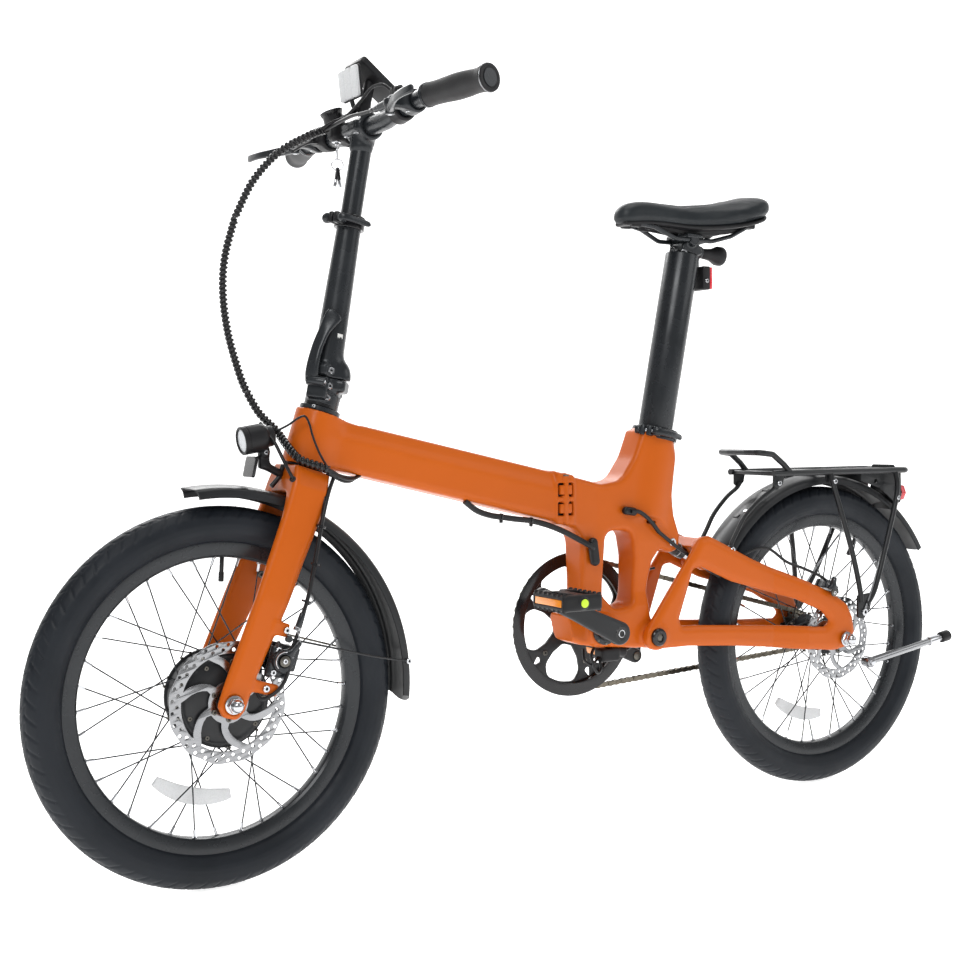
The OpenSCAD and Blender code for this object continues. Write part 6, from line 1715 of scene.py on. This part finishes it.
# ================================================================== rack, tail light
parts = []
rail = round_path([(392, 53, 530), (705, 53, 530.6), (706, -53, 530.6), (392, -53, 530)], 16, 10)
v, f = sweep(np.asarray(rail), 5, 20); parts.append(put("rack_rail", v, f, BLACK_PAINT, None, True, 50))
hoop = round_path([(430, 53, 530), (414, 52, 545), (392, 51, 561), (366, 50, 564), (362, 20, 564), (362, -20, 564), (366, -50, 564), (392, -51, 561), (414, -52, 545), (430, -53, 530)], 12, 8)
v, f = sweep(np.asarray(hoop), 4.8, 20); parts.append(put("rack_hoop", v, f, BLACK_PAINT, None, True, 50))
for s in (-1, 1):
    for pts, r in (([(520, 53.5, 527), (521, 56.5, 512), (530, 60, 480), (552, 70, 398), (564, 76, 338), (567, 77.6, 312)], 4.4), ([(672, 53.5, 527), (673, 57, 508), (666, 60, 478), (628, 69, 388), (600, 75.4, 330), (580, 77.6, 308)], 4.4)):
        parts.append(tube("rk%d_%d" % (s > 0, int(pts[0][0])), [(a, s * b, c) for a, b, c in pts], r, BLACK_PAINT, None, 18, 8))
    mp = Matrix.Translation((0, s * 75.2, 0)) @ Matrix.Rotation(math.radians(90), 4, "X")
    parts.append(plate("rack_foot%d" % (s > 0), [fillet([(560, 324, 4), (596, 327, 4), (588, 300, 5), (574, 283, 6), (560, 286, 6)], 5)], 4.6, BLACK_PAINT, None, mp, 0.8))
    # side plates under the rail
    mq = Matrix.Translation((0, s * 47.5, 0)) @ Matrix.Rotation(math.radians(90), 4, "X")
    parts.append(plate("rack_tab%d" % (s > 0), [fillet([(512, 529, 1), (532, 529, 1), (529, 512, 4), (515, 512, 4)], 4)], 3, BLACK_PAINT, None, mq, 0.5))
    parts.append(plate("rack_tab_f%d" % (s > 0), [fillet([(396, 529, 1), (420, 529, 1), (417, 513, 4), (404, 504, 5), (396, 510, 3)], 4)], 3, BLACK_PAINT, None, mq, 0.5))
    screw_head("rack_bolt_a%d" % (s > 0), (520.5, s * 61.4, 515), (0, s, 0), 4.4, 2.8, CHROME, "swingarm", "cap")
    screw_head("rack_bolt_b%d" % (s > 0), (667, s * 64, 484), (0, s, 0), 3.8, 2.4, CHROME, "swingarm", "cap")
    screw_head("rack_bolt_c%d" % (s > 0), (574, s * 77.4, 295), (0, s, 0), 6.2, 3.4, CHROME, "swingarm", "cap")
    # front stay that curves down to the bolt on the swingarm
    tube("rack_front_stay%d" % (s > 0), [(407, s * 44, 512), (398, s * 43, 503), (374, s * 41, 488), (345, s * 38, 462), (328, s * 37, 436), (318, s * 37, 420), (316, s * 37, 412)], 3.6, BLACK_PAINT, "swingarm", 16, 8)
    cyl("rack_stay_eye%d" % (s > 0), (316, s * 33, 409), (316, s * 40.5, 409), 7.4, BLACK_PAINT, "swingarm", 28, 1)
    screw_head("rack_stay_bolt%d" % (s > 0), (316, s * 40.2, 409), (0, s, 0), 4.6, 3, CHROME, "swingarm", "cap")
    screw_head("rack_tab_bolt%d" % (s > 0), (406, s * 49, 514), (0, s, 0), 4.2, 4.6, CHROME, "swingarm", "cap")
for i, y in enumerate((-26, 0, 26)):
    parts.append(cyl("rack_slat%d" % i, (520, y, 530.4), (703, y, 530.6), 3.5, BLACK_PAINT, None, 18, 0.5))
for i, x in enumerate((400, 520, 600, 660)):
    parts.append(cyl("rack_cross%d" % i, (x, -51, 529.6), (x, 51, 529.6), 4, BLACK_PAINT, None, 18, 0.5))
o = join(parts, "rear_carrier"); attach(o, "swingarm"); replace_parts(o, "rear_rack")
for s in (-1, 1):
    plate("rack_plate_r%d" % (s > 0), [fillet([(604, 527, 3), (701, 527, 3), (702, 505, 3), (701, 474, 4), (690, 472, 5), (650, 500, 10), (604, 514, 4)], 5), circle2(4, 20, (640, 512), True)], 2.6, BLACK_PAINT, "swingarm",
          Matrix.Translation((0, s * 38, 0)) @ Matrix.Rotation(math.radians(90), 4, "X"), 0.5)
    screw_head("rack_plate_bolt%d" % (s > 0), (690, s * 39.2, 497), (0, s, 0), 4.4, 2.6, CHROME, "swingarm", "cap")
plate("rack_plate_back", [fillet([(-39, -26, 4), (39, -26, 4), (39, 26, 4), (-39, 26, 4)], 5)], 2.6, BLACK_PAINT, "swingarm", Matrix.Translation((699.5, 0, 500)) @ Matrix.Rotation(math.radians(90), 4, "Y"), 0.5)
mt = Matrix.Translation((0, 0, 490)) @ Matrix.Rotation(math.radians(90), 4, "Y") @ Matrix.Rotation(math.radians(0), 4, "Z")
tl = [(-15, -36, 4), (-15, 36, 4), (-1, 44, 5), (15, 36, 5), (15, -36, 5), (1, -44, 5)]
tl = [(-14, -30, 5), (-14, 30, 5), (0, 36, 5), (14, 30, 5), (14, -30, 5), (0, -36, 5)]
o = plate("tail_lamp_back", [fillet(tl, 5)], 8, GLOSSP, None, mt @ Matrix.Translation((0, 0, 705)), 1.4)
l1 = plate("tail_lamp_lens", [fillet([(a * 0.94, b * 0.96, c) for a, b, c in tl], 5)], 13, RED, None, mt @ Matrix.Translation((0, 0, 715.5)), 3.4, bseg=4)
rb = [box("tail_rib_%d" % i, (721.2, -28, 480.6 + 3.6 * i), (723.6, 28, 482.2 + 3.6 * i), RED, None, 0.6) for i in range(6)]
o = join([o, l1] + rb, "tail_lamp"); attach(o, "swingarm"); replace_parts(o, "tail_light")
screw_head("tail_lamp_screw", (706, -31, 503), (0, -0.4, 1), 3.2, 2.4, CHROME, "swingarm", "cap")

# ================================================================== kickstand
c1 = cyl("stand_boss", (577, -75.9, 212), (577, -93, 212), 9, STEEL, None, 36, 1.2)
c2 = cyl("stand_cap", (577, -93, 212), (577, -96.5, 212), 5.4, CHROME, None, 6, 0.6)
leg = vsweep("stand_leg", [(577, -84.5, 212), (620, -84.5, 218.6), (690, -84.5, 229.3), (758, -84.5, 239.7)], [6.4, 6.2, 6.0, 5.8], STEEL, None, 24, 8)
sl = lathe("stand_sleeve", [(6, 0), (7.4, 0.6), (7.6, 3), (7.6, 20), (7.2, 22), (6, 22.4)], CHROME, None, axis="Z", seg=32, mtx=align((722, -84.5, 234.2), (760 - 577, 0, 28)))
ft = cyl("stand_foot", (752, -84.5, 238.8), (771.5, -84.5, 241.8), 9.4, PLASTIC, None, 32, 2.2)
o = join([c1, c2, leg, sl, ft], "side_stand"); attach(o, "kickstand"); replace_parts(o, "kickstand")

# ================================================================== cranks and chainring
CA = math.radians(25.2)
for s in (-1, 1):
    sd = "left" if s < 0 else "right"
    dx, dz = (-math.cos(CA), math.sin(CA)) if s < 0 else (math.cos(CA), -math.sin(CA))

    def f_crank(x, y, z, s=s):
        t = np.clip(x / 152.0, 0, 1)
        r = 17.6 - 4.6 * np.minimum(t / 0.55, 1) - 1.0 * np.clip((t - 0.55) / 0.45, 0, 1)
        d2 = np.hypot(x - t * 152, z) - r
        half = 7.4 - 1.6 * t
        yc = y - (-s) * 0.0
        d = ext(d2, yc - (7 - half) * 0.0, half, 4.2)
        return np.maximum(d, -(np.hypot(x - 152, z) - 6.8))

    m = Matrix(((dx, 0, -dz, BB[0]), (0, 1, 0, s * 70.5), (dz, 0, dx, BB[2]), (0, 0, 0, 1)))
    arm = casting(sd + "_crank_arm", f_crank, (-24, -12, -22), (172, 12, 22), 1.7, BLACK_PAINT, None, m)
    b1 = lathe(sd + "_crank_cap", [(0, 6.6), (4.2, 6.6), (4.4, 8.0), (5.4, 8.2), (6.0, 7.8), (6.0, 5), (0, 5)], CHROME, None, axis="Z", seg=36, mtx=align((BB[0], s * 70.5, BB[2]), (0, s, 0)))
    b2 = lathe(sd + "_crank_dust", [(6.1, 7.6), (10.4, 7.9), (11, 7.2), (11, 5), (6.1, 5)], GLOSSP, None, axis="Z", seg=40, mtx=align((BB[0], s * 70.5, BB[2]), (0, s, 0)))
    # the hex socket walls in the chrome cap are near-black plastic: painted shade in the recess
    crank_socket_shade = lathe(sd + "_crank_socket_shade", [(0, 5.8), (4.4, 5.8), (4.4, 8.2)], PLASTIC, None, axis="Z", seg=6, mtx=align((BB[0], s * 70.5, BB[2]), (0, s, 0)))
    neck = cyl(sd + "_crank_neck", (BB[0], s * 42, BB[2]), (BB[0], s * 64.5, BB[2]), 16, BLACK_ALLOY, None, 48, 1.2)
    if s < 0:
        left_arm = [arm, b1, b2, crank_socket_shade, neck]
    else:
        o = join([arm, b1, b2, crank_socket_shade, neck] + left_arm, "crank_pair")
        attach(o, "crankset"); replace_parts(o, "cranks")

MC = lambda y: Matrix.Translation((BB[0], y, BB[2])) @ Matrix.Rotation(math.radians(90), 4, "X")
rot = lambda p, a: [(x * math.cos(a) - y * math.sin(a), x * math.sin(a) + y * math.cos(a)) for x, y in p]
win = []
for i in range(5):
    a = math.radians(72 * i + 40)
    w_ = fillet([(34, -9, 8), (50, -24, 16), (70, -33, 16), (88, -26, 14), (92.5, 0, 60), (88, 26, 14), (70, 33, 16), (50, 24, 16), (34, 9, 8)], 7)
    win.append(rot(w_, a)[::-1])
tear = []
for i in range(5):
    for sgn in (-1, 1):
        a = math.radians(72 * i + 20 + sgn * 0)
    t_ = fillet([(80, -5.6, 2.6), (92, -1.4, 1.2), (92, 1.4, 1.2), (80, 5.6, 2.6), (77, 0, 3)], 4)
    tear.append(rot(t_, math.radians(72 * i + 4))[::-1])
ringp = plate("chain_spider", [circle2(98, 120)] + win + tear + [circle2(17, 48, rev=True)], 5.2, BLACK_PAINT, None, MC(54.6), 1.1, bseg=3)
tooth = []
for i in range(52):
    a0 = 2 * math.pi * i / 52
    for k, r in ((-0.5, 101.6), (-0.32, 102.2), (-0.16, 106.2), (-0.08, 107.6), (0.08, 107.6), (0.16, 106.2), (0.32, 102.2)):
        a = a0 + k * 2 * math.pi / 52
        tooth.append((r * math.cos(a), r * math.sin(a)))
tr = plate("chain_teeth", [tooth, circle2(93.5, 96, rev=True)], 2.2, DARKSTEEL, None, MC(50.9), 0.35)
sp = plate("chain_spacer", [circle2(98, 96), circle2(93.5, 96, rev=True)], 3.2, BLACK_PAINT, None, MC(48.2), 0.3)
gd = plate("chain_guard_inner", [circle2(113, 144), circle2(93.2, 96, rev=True)], 1.8, GLOSSP, None, MC(46.0), 0.5)
bo = []
for i in range(5):
    a = math.radians(72 * i + 4)
    p = (BB[0] + 66 * math.cos(a), 62.3, BB[2] + 66 * math.sin(a))
    bo.append(screw_head("cb%d" % i, p, (0, 1, 0), 4.2, 1.8, CHROME, None, "cap"))
    p = (p[0], 52.0, p[2])
    bo.append(screw_head("cbi%d" % i, p, (0, -1, 0), 4.2, 1.4, DARKSTEEL, None, "cap"))
arms = []
for i in range(5):
    a = math.radians(72 * i + 4)
    arms.append(rot([(14, -10), (68, -6), (74, 0), (68, 6), (14, 10)], a))
sb = plate("crank_spider", [circle2(30, 64), circle2(12, 32, rev=True)], 5, BLACK_ALLOY, None, MC(60.0), 1.0)
sa = [plate("crank_spider_arm%d" % i, [fillet([(x, y, 3) for x, y in arms[i]], 4)], 4.6, BLACK_ALLOY, None, MC(60.0), 1.2) for i in range(5)]
o = join([ringp, tr, sp, gd] + bo + [sb] + sa, "chainwheel")
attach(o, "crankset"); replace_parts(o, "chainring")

# freewheel
tooth = []
for i in range(16):
    a0 = 2 * math.pi * i / 16
    for k, r in ((-0.5, 29.0), (-0.3, 29.6), (-0.15, 33.6), (-0.06, 34.8), (0.06, 34.8), (0.15, 33.6), (0.3, 29.6)):
        a = a0 + k * 2 * math.pi / 16
        tooth.append((r * math.cos(a), r * math.sin(a)))
MR = lambda y: Matrix.Translation((RX, y, AZ)) @ Matrix.Rotation(math.radians(90), 4, "X")
g = plate("freewheel_teeth", [tooth, circle2(20, 40, rev=True)], 2.2, DARKSTEEL, None, MR(50.9), 0.35)
fb = lathe("freewheel_body", [(6.3, 44.6), (20, 44.6), (22, 45.4), (22, 50), (21.4, 53), (19, 55), (15, 55), (14.6, 54), (6.3, 54)], DARKSTEEL, None, (RX, 0, AZ), "Y", 72, True)
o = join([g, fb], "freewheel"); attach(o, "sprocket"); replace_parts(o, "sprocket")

# roller chain, link by link
RG, CG = 105.2, 32.6
dd = np.hypot(RX - BB[0], AZ - BB[2]); ca = math.asin((RG - CG) / dd); cl = math.atan2(AZ - BB[2], RX - BB[0])
pth = [(BB[0] + RG * math.cos(a), BB[2] + RG * math.sin(a)) for a in np.linspace(cl + math.pi / 2 - ca, cl + 3 * math.pi / 2 + ca, 220)]
pth += [(RX + CG * math.cos(a), AZ + CG * math.sin(a)) for a in np.linspace(cl - math.pi / 2 + ca, cl + math.pi / 2 - ca, 60)]
pth.append(pth[0])
pth = np.array(pth)
ds = np.concatenate([[0], np.cumsum(np.hypot(*np.diff(pth, axis=0).T))])
NL = int(round(ds[-1] / 12.7 / 2)) * 2
ss = np.arange(NL) * ds[-1] / NL
jx, jz = np.interp(ss, ds, pth[:, 0]), np.interp(ss, ds, pth[:, 1])
V, F = [], []


def prism(poly, y0, y1):
    n0 = len(V); k = len(poly)
    for y in (y0, y1):
        for x, z in poly:
            V.append((x, y, z))
    F.append(tuple(range(n0, n0 + k))); F.append(tuple(range(n0 + 2 * k - 1, n0 + k - 1, -1)))
    for i in range(k):
        j = (i + 1) % k
        F.append((n0 + i, n0 + k + i, n0 + k + j, n0 + j))


for i in range(NL):
    j = (i + 1) % NL
    x0_, z0_, x1_, z1_ = jx[i], jz[i], jx[j], jz[j]
    L = math.hypot(x1_ - x0_, z1_ - z0_); ux, uz = (x1_ - x0_) / L, (z1_ - z0_) / L
    prof = []
    for cx, a0, a1 in ((L, -100, 100), (0, 80, 280)):
        for a in np.linspace(math.radians(a0), math.radians(a1), 7):
            prof.append((cx + 4.1 * math.cos(a), 4.1 * math.sin(a)))
    prof = prof[:7] + [(L / 2, 3.0)] + prof[7:] + [(L / 2, -3.0)]
    poly = [(x0_ + a * ux - b * uz, z0_ + a * uz + b * ux) for a, b in prof]
    off = 1.9 if i % 2 else 2.9
    for s in (-1, 1):
        prism(poly, 51 + s * off, 51 + s * (off + 0.9))
    c8 = [(x0_ + 3.9 * math.cos(a), z0_ + 3.9 * math.sin(a)) for a in np.linspace(0, 2 * math.pi, 12, endpoint=False)]
    prism(c8, 49.2, 52.8)
    c6 = [(x0_ + 1.7 * math.cos(a), z0_ + 1.7 * math.sin(a)) for a in np.linspace(0, 2 * math.pi, 8, endpoint=False)]
    prism(c6, 46.9, 55.1)
CHAINM = surface("chain_links", (0.13, 0.115, 0.09), (0.2, 0.18, 0.145), 0.3, 0.08, 0.9, grain=700)
o = put("roller_chain", V, F, CHAINM, None, False)
bm = bmesh.new(); bm.from_mesh(o.data); bmesh.ops.recalc_face_normals(bm, faces=bm.faces); bm.to_mesh(o.data); bm.free()
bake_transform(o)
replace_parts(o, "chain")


# ================================================================== pedals
for s in (-1, 1):
    sd = "left" if s < 0 else "right"
    px_, pz_ = BB[0] + s * 152 * math.cos(CA), BB[2] - s * 152 * math.sin(CA)
    MP = Matrix.Translation((px_, 0, pz_)) @ Matrix.Scale(s, 4, (0, 1, 0))
    a = cyl(sd + "_sleeve_spindle", (0, 63.4, 0), (0, 79, 0), 6.7, DARKSTEEL, None, 32, 0.8, MP)
    b = lathe(sd + "_sleeve_collar", [(0, 78.8), (8.6, 78.8), (9.4, 79.6), (9.4, 84), (8.6, 84.6), (8.6, 85.6), (9.4, 86.2), (9.4, 91), (8.8, 91.8), (0, 91.8)], BLACK_ALLOY, None, axis="Y", seg=40, mtx=MP)
    c = casting(sd + "_sleeve_block", lambda x, y, z: np.maximum(sd_box(x, y, z, (-12, 91, -8), (12, 104, 8), 2), -(np.hypot(y - 98, z) - 3.1)), (-15, 88, -11), (15, 107, 11), 1.2, BLACK_ALLOY, None, MP)
    for q in (a, b, c):
        bm = bmesh.new(); bm.from_mesh(q.data); bmesh.ops.recalc_face_normals(bm, faces=bm.faces); bm.to_mesh(q.data); bm.free()
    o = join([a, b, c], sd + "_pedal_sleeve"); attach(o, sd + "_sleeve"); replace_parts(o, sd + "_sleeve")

    def f_ped(x, y, z):
        d = sd_box(x, y, z, (-33, 93.5, -11.5), (33, 174.5, 11.5), 5)
        d = np.maximum(d, -sd_box(x, y, z, (-13, 60, -30), (13, 110.5, 30), 1.5))
        d = smax(d, -sd_box(np.abs(x), y, z, (9, 115, -30), (27, 165, 30), 3), 1.5)
        d = smin(d, sd_cyl(x, y, z, (0, 108, 0), (0, 176.5, 0), 8.4, 1.5), 2)
        for yy in (128, 140, 152):
            d = np.minimum(d, sd_box(x, y, z, (-28, yy - 1.6, -7), (28, yy + 1.6, 7), 1))
        # stepped grip teeth along the long edges
        for k in range(7):
            yy = 100 + 11.5 * k
            d = np.minimum(d, sd_box(np.abs(x), y, np.abs(z), (26.5, yy - 1.5, 8), (32.5, yy + 1.5, 13.4), 0.9))
        # pockets for the reflectors
        d = np.maximum(d, -sd_box(np.abs(x), y, z, (31.2, 100, -5.6), (40, 168, 5.6), 1))
        return d

    MP2 = MP
    body = casting(sd + "_pedal_frame", f_ped, (-38, 88, -17), (38, 181, 17), 1.4, PLASTIC, None, MP2)
    bm = bmesh.new(); bm.from_mesh(body.data); bmesh.ops.recalc_face_normals(bm, faces=bm.faces); bm.to_mesh(body.data); bm.free()
    extra = [body]
    for t in (-1, 1):
        q = box(sd + "_pedal_reflector%d" % (t > 0), (min(t * 30.8, t * 33.2), 102, -5), (max(t * 30.8, t * 33.2), 166, 5), AMBER, None, 0.8, MP2)
        extra.append(q)
    for q in extra[1:]:
        bm = bmesh.new(); bm.from_mesh(q.data); bmesh.ops.recalc_face_normals(bm, faces=bm.faces); bm.to_mesh(q.data); bm.free()
    hp = cyl(sd + "_pedal_hinge", (-14, 98, 0), (14, 98, 0), 3.0, CHROME, None, 20, 0.4, MP2)
    dc = cyl(sd + "_pedal_dust", (0, 175, 0), (0, 178, 0), 6.0, LIME, None, 28, 0.7, MP2)
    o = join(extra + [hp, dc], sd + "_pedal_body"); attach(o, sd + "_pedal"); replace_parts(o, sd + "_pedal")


# ================================================================== shock, pivots, bottom bracket, latch
sa_ = math.atan2(SHE[1] - SHA[1], SHE[0] - SHA[0])
SL = math.hypot(SHE[0] - SHA[0], SHE[1] - SHA[1])
MS = Matrix.Translation((SHA[0], 0, SHA[1])) @ Matrix.Rotation(-sa_, 4, "Y")
a = cyl("shock_eye_a", (0, -10.8, 0), (0, 10.8, 0), 10.8, BLACK_ALLOY, None, 40, 1.0, MS)
b = lathe("shock_can", [(0, 4), (9, 4), (10.8, 6), (10.9, 9), (10.9, 42), (10.2, 44), (10.2, 45.4), (6.2, 45.8), (6.2, 40)], BLACK_PAINT, None, axis="Z", seg=56, mtx=MS @ Matrix.Rotation(math.radians(90), 4, "Y"))
bnd = [lathe("shock_band%d" % i, [(10.9, z), (11.2, z + 0.3), (11.2, z + 1.6), (10.9, z + 1.9)], m_, None, axis="Z", seg=56, mtx=MS @ Matrix.Rotation(math.radians(90), 4, "Y")) for i, (z, m_) in enumerate(((14, STEEL), (26, BROWN), (33, STEEL)))]
lb = lathe("shock_label", [(11.0, 17), (11.15, 17), (11.15, 25), (11.0, 25)], WHITE_LABEL, None, axis="Z", seg=40, mtx=MS @ Matrix.Rotation(math.radians(90), 4, "Y"), arc=(150, 235), close=True)
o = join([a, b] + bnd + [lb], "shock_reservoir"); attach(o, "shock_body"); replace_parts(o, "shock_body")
a = cyl("shock_rod", (38, 0, 0), (SL - 4, 0, 0), 5.9, CHROME, None, 40, 0.4, MS)
b = cyl("shock_eye_b", (SL, -10.3, 0), (SL, 10.3, 0), 10.4, BLACK_ALLOY, None, 40, 1.0, MS)
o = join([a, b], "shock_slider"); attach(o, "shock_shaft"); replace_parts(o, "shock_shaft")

pins = [cyl("frame_hinge_pin", (0, -30, 462), (0, -30, 534), 4.0, ORANGE, None, 32, 0.8),
        lathe("frame_pin_head", [(0, 533), (4.2, 533), (4.4, 533.4), (4.4, 534.4), (4, 535), (0, 535)], DARKSTEEL, None, (0, -30, 0), "Z", 32),
        cyl("swing_pin", (PIV[0], -49.4, PIV[1]), (PIV[0], 44, PIV[1]), 7.9, DARKSTEEL, None, 40, 0.6),
        lathe("swing_cap", [(6.2, -50.2), (9.0, -50.8), (12.2, -50.2), (13.6, -48.6), (13.8, -44.8), (8, -44.8)], GLOSSP, None, (PIV[0], 0, PIV[1]), "Y", 48),
        lathe("swing_hex", [(0, -47.4), (6.2, -47.4), (6.2, -50.4)], PLASTIC, None, (PIV[0], 0, PIV[1]), "Y", 6),
        lathe("swing_cap_r", [(0, 47.2), (9.0, 47.4), (11.2, 46.6), (12, 44.6), (8, 44.4)], GLOSSP, None, (PIV[0], 0, PIV[1]), "Y", 48),
        cyl("shock_pin_front", (SHA[0], -24.6, SHA[1]), (SHA[0], 24.6, SHA[1]), 4.0, CHROME, None, 28, 0.5)]
pins += [screw_head("shock_bolt_a%d" % (s > 0), (SHA[0], s * 24.2, SHA[1]), (0, s, 0), 6.4, 3.4, CHROME, None, "cap") for s in (-1, 1)]
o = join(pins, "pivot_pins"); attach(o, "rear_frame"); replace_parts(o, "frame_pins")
# bolt through the upper swingarm tube
for s in (-1, 1):
    lathe("arm_bolt_seat%d" % (s > 0), [(4.6, 0), (7.2, 0.2), (7.6, 1.0), (7.6, -2)], PLASTIC, "swingarm", axis="Z", seg=32, mtx=align((322, s * 43.4, 392), (0, s, 0)))
    screw_head("arm_bolt%d" % (s > 0), (322, s * 42.4, 392), (0, s, 0), 4.6, 2.4, CHROME, "swingarm", "cap")

cups = []
for s in (-1, 1):
    pr = [(9.2, 20), (17.3, 20), (17.3, 34), (20.6, 34.2), (22, 35), (22, 38), (21, 38.6), (9.2, 38.6)]
    cups.append(lathe("bb_cup%d" % (s > 0), [(r, s * h) for r, h in pr], BLACK_ALLOY, None, tuple(BB), "Y", 64, True))
    for i in range(8):
        t = 2 * math.pi * i / 8
        cups.append(box("bb_notch%d_%d" % (s > 0, i), (BB[0] + 20 * math.cos(t) - 2, min(s * 38, s * 39.4), BB[2] + 20 * math.sin(t) - 2), (BB[0] + 20 * math.cos(t) + 2, max(s * 38, s * 39.4), BB[2] + 20 * math.sin(t) + 2), DARKSTEEL, None, 0.4))
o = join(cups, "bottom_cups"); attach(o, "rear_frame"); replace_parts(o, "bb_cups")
# connectors and cables gathered under the bracket shell
casting("junction_box", lambda x, y, z: smin(sd_box(x, y, z, (74, -22, 246), (108, 2, 266), 4), sd_cyl(x, y, z, (92, -12, 262), (122, -12, 258), 8.4, 2), 3), (66, -30, 238), (130, 10, 276), 1.5, PLASTIC, "rear_frame")
tube("junction_cable_a", [(62, -16, 270), (54, -20, 258), (58, -22, 240), (66, -20, 231), (74, -17, 236), (74, -14, 250), (80, -12, 256)], 2.4, HARD_RUBBER, "rear_frame", 12)
tube("junction_cable_b", [(46, -10, 268), (44, -16, 252), (54, -18, 244), (66, -14, 248), (78, -6, 254)], 2.0, HARD_RUBBER, "rear_frame", 12)
tube("junction_cable_c", [(118, -12, 258), (132, -10, 262), (144, -6, 268), (150, 0, 274)], 2.2, HARD_RUBBER, "rear_frame", 12)

def f_latch(x, y, z):
    d = sd_cyl(x, y, z, (-28, 44.8, 490.2), (-28, 44.8, 505.8), 6.2, 1.2)
    pl_ = sd_poly(x, y, [(-33, 41.4), (-33, 47.8), (-72, 47.6), (-110, 45.8), (-123.6, 41), (-123.6, 36.4), (-108, 39.4), (-70, 41.4)])
    return smin(d, ext(pl_, z - 498, 6.4, 1.8), 2)


o = casting("frame_quick_latch", f_latch, (-130, 32, 486), (-18, 54, 510), 1.3, BLACK_ALLOY, None)
c = cyl("frame_latch_pin", (-28, 44.8, 488), (-28, 44.8, 508), 2.6, CHROME, None, 20, 0.4)
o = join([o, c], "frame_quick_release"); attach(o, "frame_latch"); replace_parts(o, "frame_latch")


# ================================================================== finishes for the CAD nodes that still show
SLOT_MAT = {"frame_paint": ORANGE, "black_alloy": BLACK_ALLOY, "black_plastic": PLASTIC, "tyre_rubber": RUBBER, "grip_rubber": GRIP,
            "bright_steel": STEEL, "chrome_steel": CHROME, "saddle_cover": LEATHER, "red_lens": RED, "chain_steel": DARKSTEEL}
node_slot = {s["node"]: s["material_slot"] for s in frame["record"]["subparts"]}
left = []
for n, o in frame["nodes"].items():
    if o.hide_render:
        continue
    left.append(n)
    o.data.materials.clear()
    o.data.materials.append(SLOT_MAT[node_slot[n]])
    for p in o.data.polygons:
        p.use_smooth = True
    m = o.modifiers.new("edges", "WEIGHTED_NORMAL")
    m.keep_sharp = True
print("CAD nodes still showing:", sorted(left))

# ================================================================== floor, light and camera
fm, nt, b, tc = nodes_of("studio_floor")
n = noise(nt, tc, 3, 3)
nt.links.new(mixcol(nt, remap(nt, n.outputs["Fac"], 0, 1), (0.80, 0.80, 0.80), (0.82, 0.82, 0.82)), b.inputs["Base Color"])
b.inputs["Roughness"].default_value = 0.9
b.inputs["Specular IOR Level"].default_value = 0.1
b.inputs["Emission Color"].default_value = (1, 1, 1, 1)
b.inputs["Emission Strength"].default_value = 0.86
prof = [(-9.0, 0.0), (3.2, 0.0)] + [(3.2 + 2.2 * math.sin(t), 2.2 - 2.2 * math.cos(t)) for t in np.linspace(0.1, math.pi / 2, 14)] + [(5.4, 9.0)]
V, F = [], []
for i, (d, z) in enumerate(prof):
    for w in (-14.0, 14.0):
        V.append((w, d, z - 0.0012))
for i in range(len(prof) - 1):
    F.append((2 * i, 2 * i + 1, 2 * i + 3, 2 * i + 2))
me = bpy.data.meshes.new("studio_floor")
me.from_pydata(V, [], F)
floor = bpy.data.objects.new("studio_floor", me)
bpy.context.collection.objects.link(floor)
floor.rotation_euler = (0, 0, -math.radians(31.141))
me.materials.append(fm)
me.polygons.foreach_set("use_smooth", [True] * len(me.polygons))

world = bpy.data.worlds.new("studio")
bpy.context.scene.world = world
world.use_nodes = True
world.node_tree.nodes["Background"].inputs[0].default_value = (1, 1, 1, 1)
world.node_tree.nodes["Background"].inputs[1].default_value = 0.34


def area(name, loc, target, size, power, sy=None, colour=(1, 1, 1)):
    l = bpy.data.lights.new(name, "AREA")
    l.shape = "RECTANGLE"
    l.size, l.size_y = size, sy or size
    l.energy = power
    l.color = colour
    o = bpy.data.objects.new(name, l)
    o.location = loc
    o.rotation_euler = (Vector(target) - Vector(loc)).to_track_quat("-Z", "Y").to_euler()
    bpy.context.collection.objects.link(o)
    return o


area("key", (-2.6, -2.6, 3.2), (0, 0, 0.5), 2.0, 62, 1.4)
area("fill", (2.8, -2.6, 2.2), (0.2, 0, 0.45), 2.4, 20, 1.8)
area("rim", (0.4, 2.6, 2.6), (0, 0, 0.6), 2.6, 48, 1.2)
area("top", (0, -0.2, 3.6), (0, 0, 0), 2.6, 34, 1.6)

cam = bpy.data.cameras.new("camera")
cam.lens, cam.sensor_width = 52.73, 36.0
co = bpy.data.objects.new("camera", cam)
bpy.context.collection.objects.link(co)
yaw, pit, rol = math.radians(31.141), math.radians(-2.108), math.radians(-0.143)
f = Vector((math.sin(yaw) * math.cos(pit), math.cos(yaw) * math.cos(pit), math.sin(pit)))
r = Vector((math.cos(yaw), -math.sin(yaw), 0))
u = r.cross(f)
r2 = r * math.cos(rol) + u * math.sin(rol)
u2 = u * math.cos(rol) - r * math.sin(rol)
co.matrix_world = Matrix(((r2.x, u2.x, -f.x, -1.19107), (r2.y, u2.y, -f.y, -1.75407), (r2.z, u2.z, -f.z, 0.60446), (0, 0, 0, 1)))
cam.clip_start, cam.clip_end = 0.02, 60
bpy.context.scene.camera = co
bpy.context.scene.view_settings.view_transform = "Standard"
bpy.context.scene.view_settings.look = "None"
bpy.context.scene.view_settings.exposure = 0.0
bpy.context.view_layer.update()
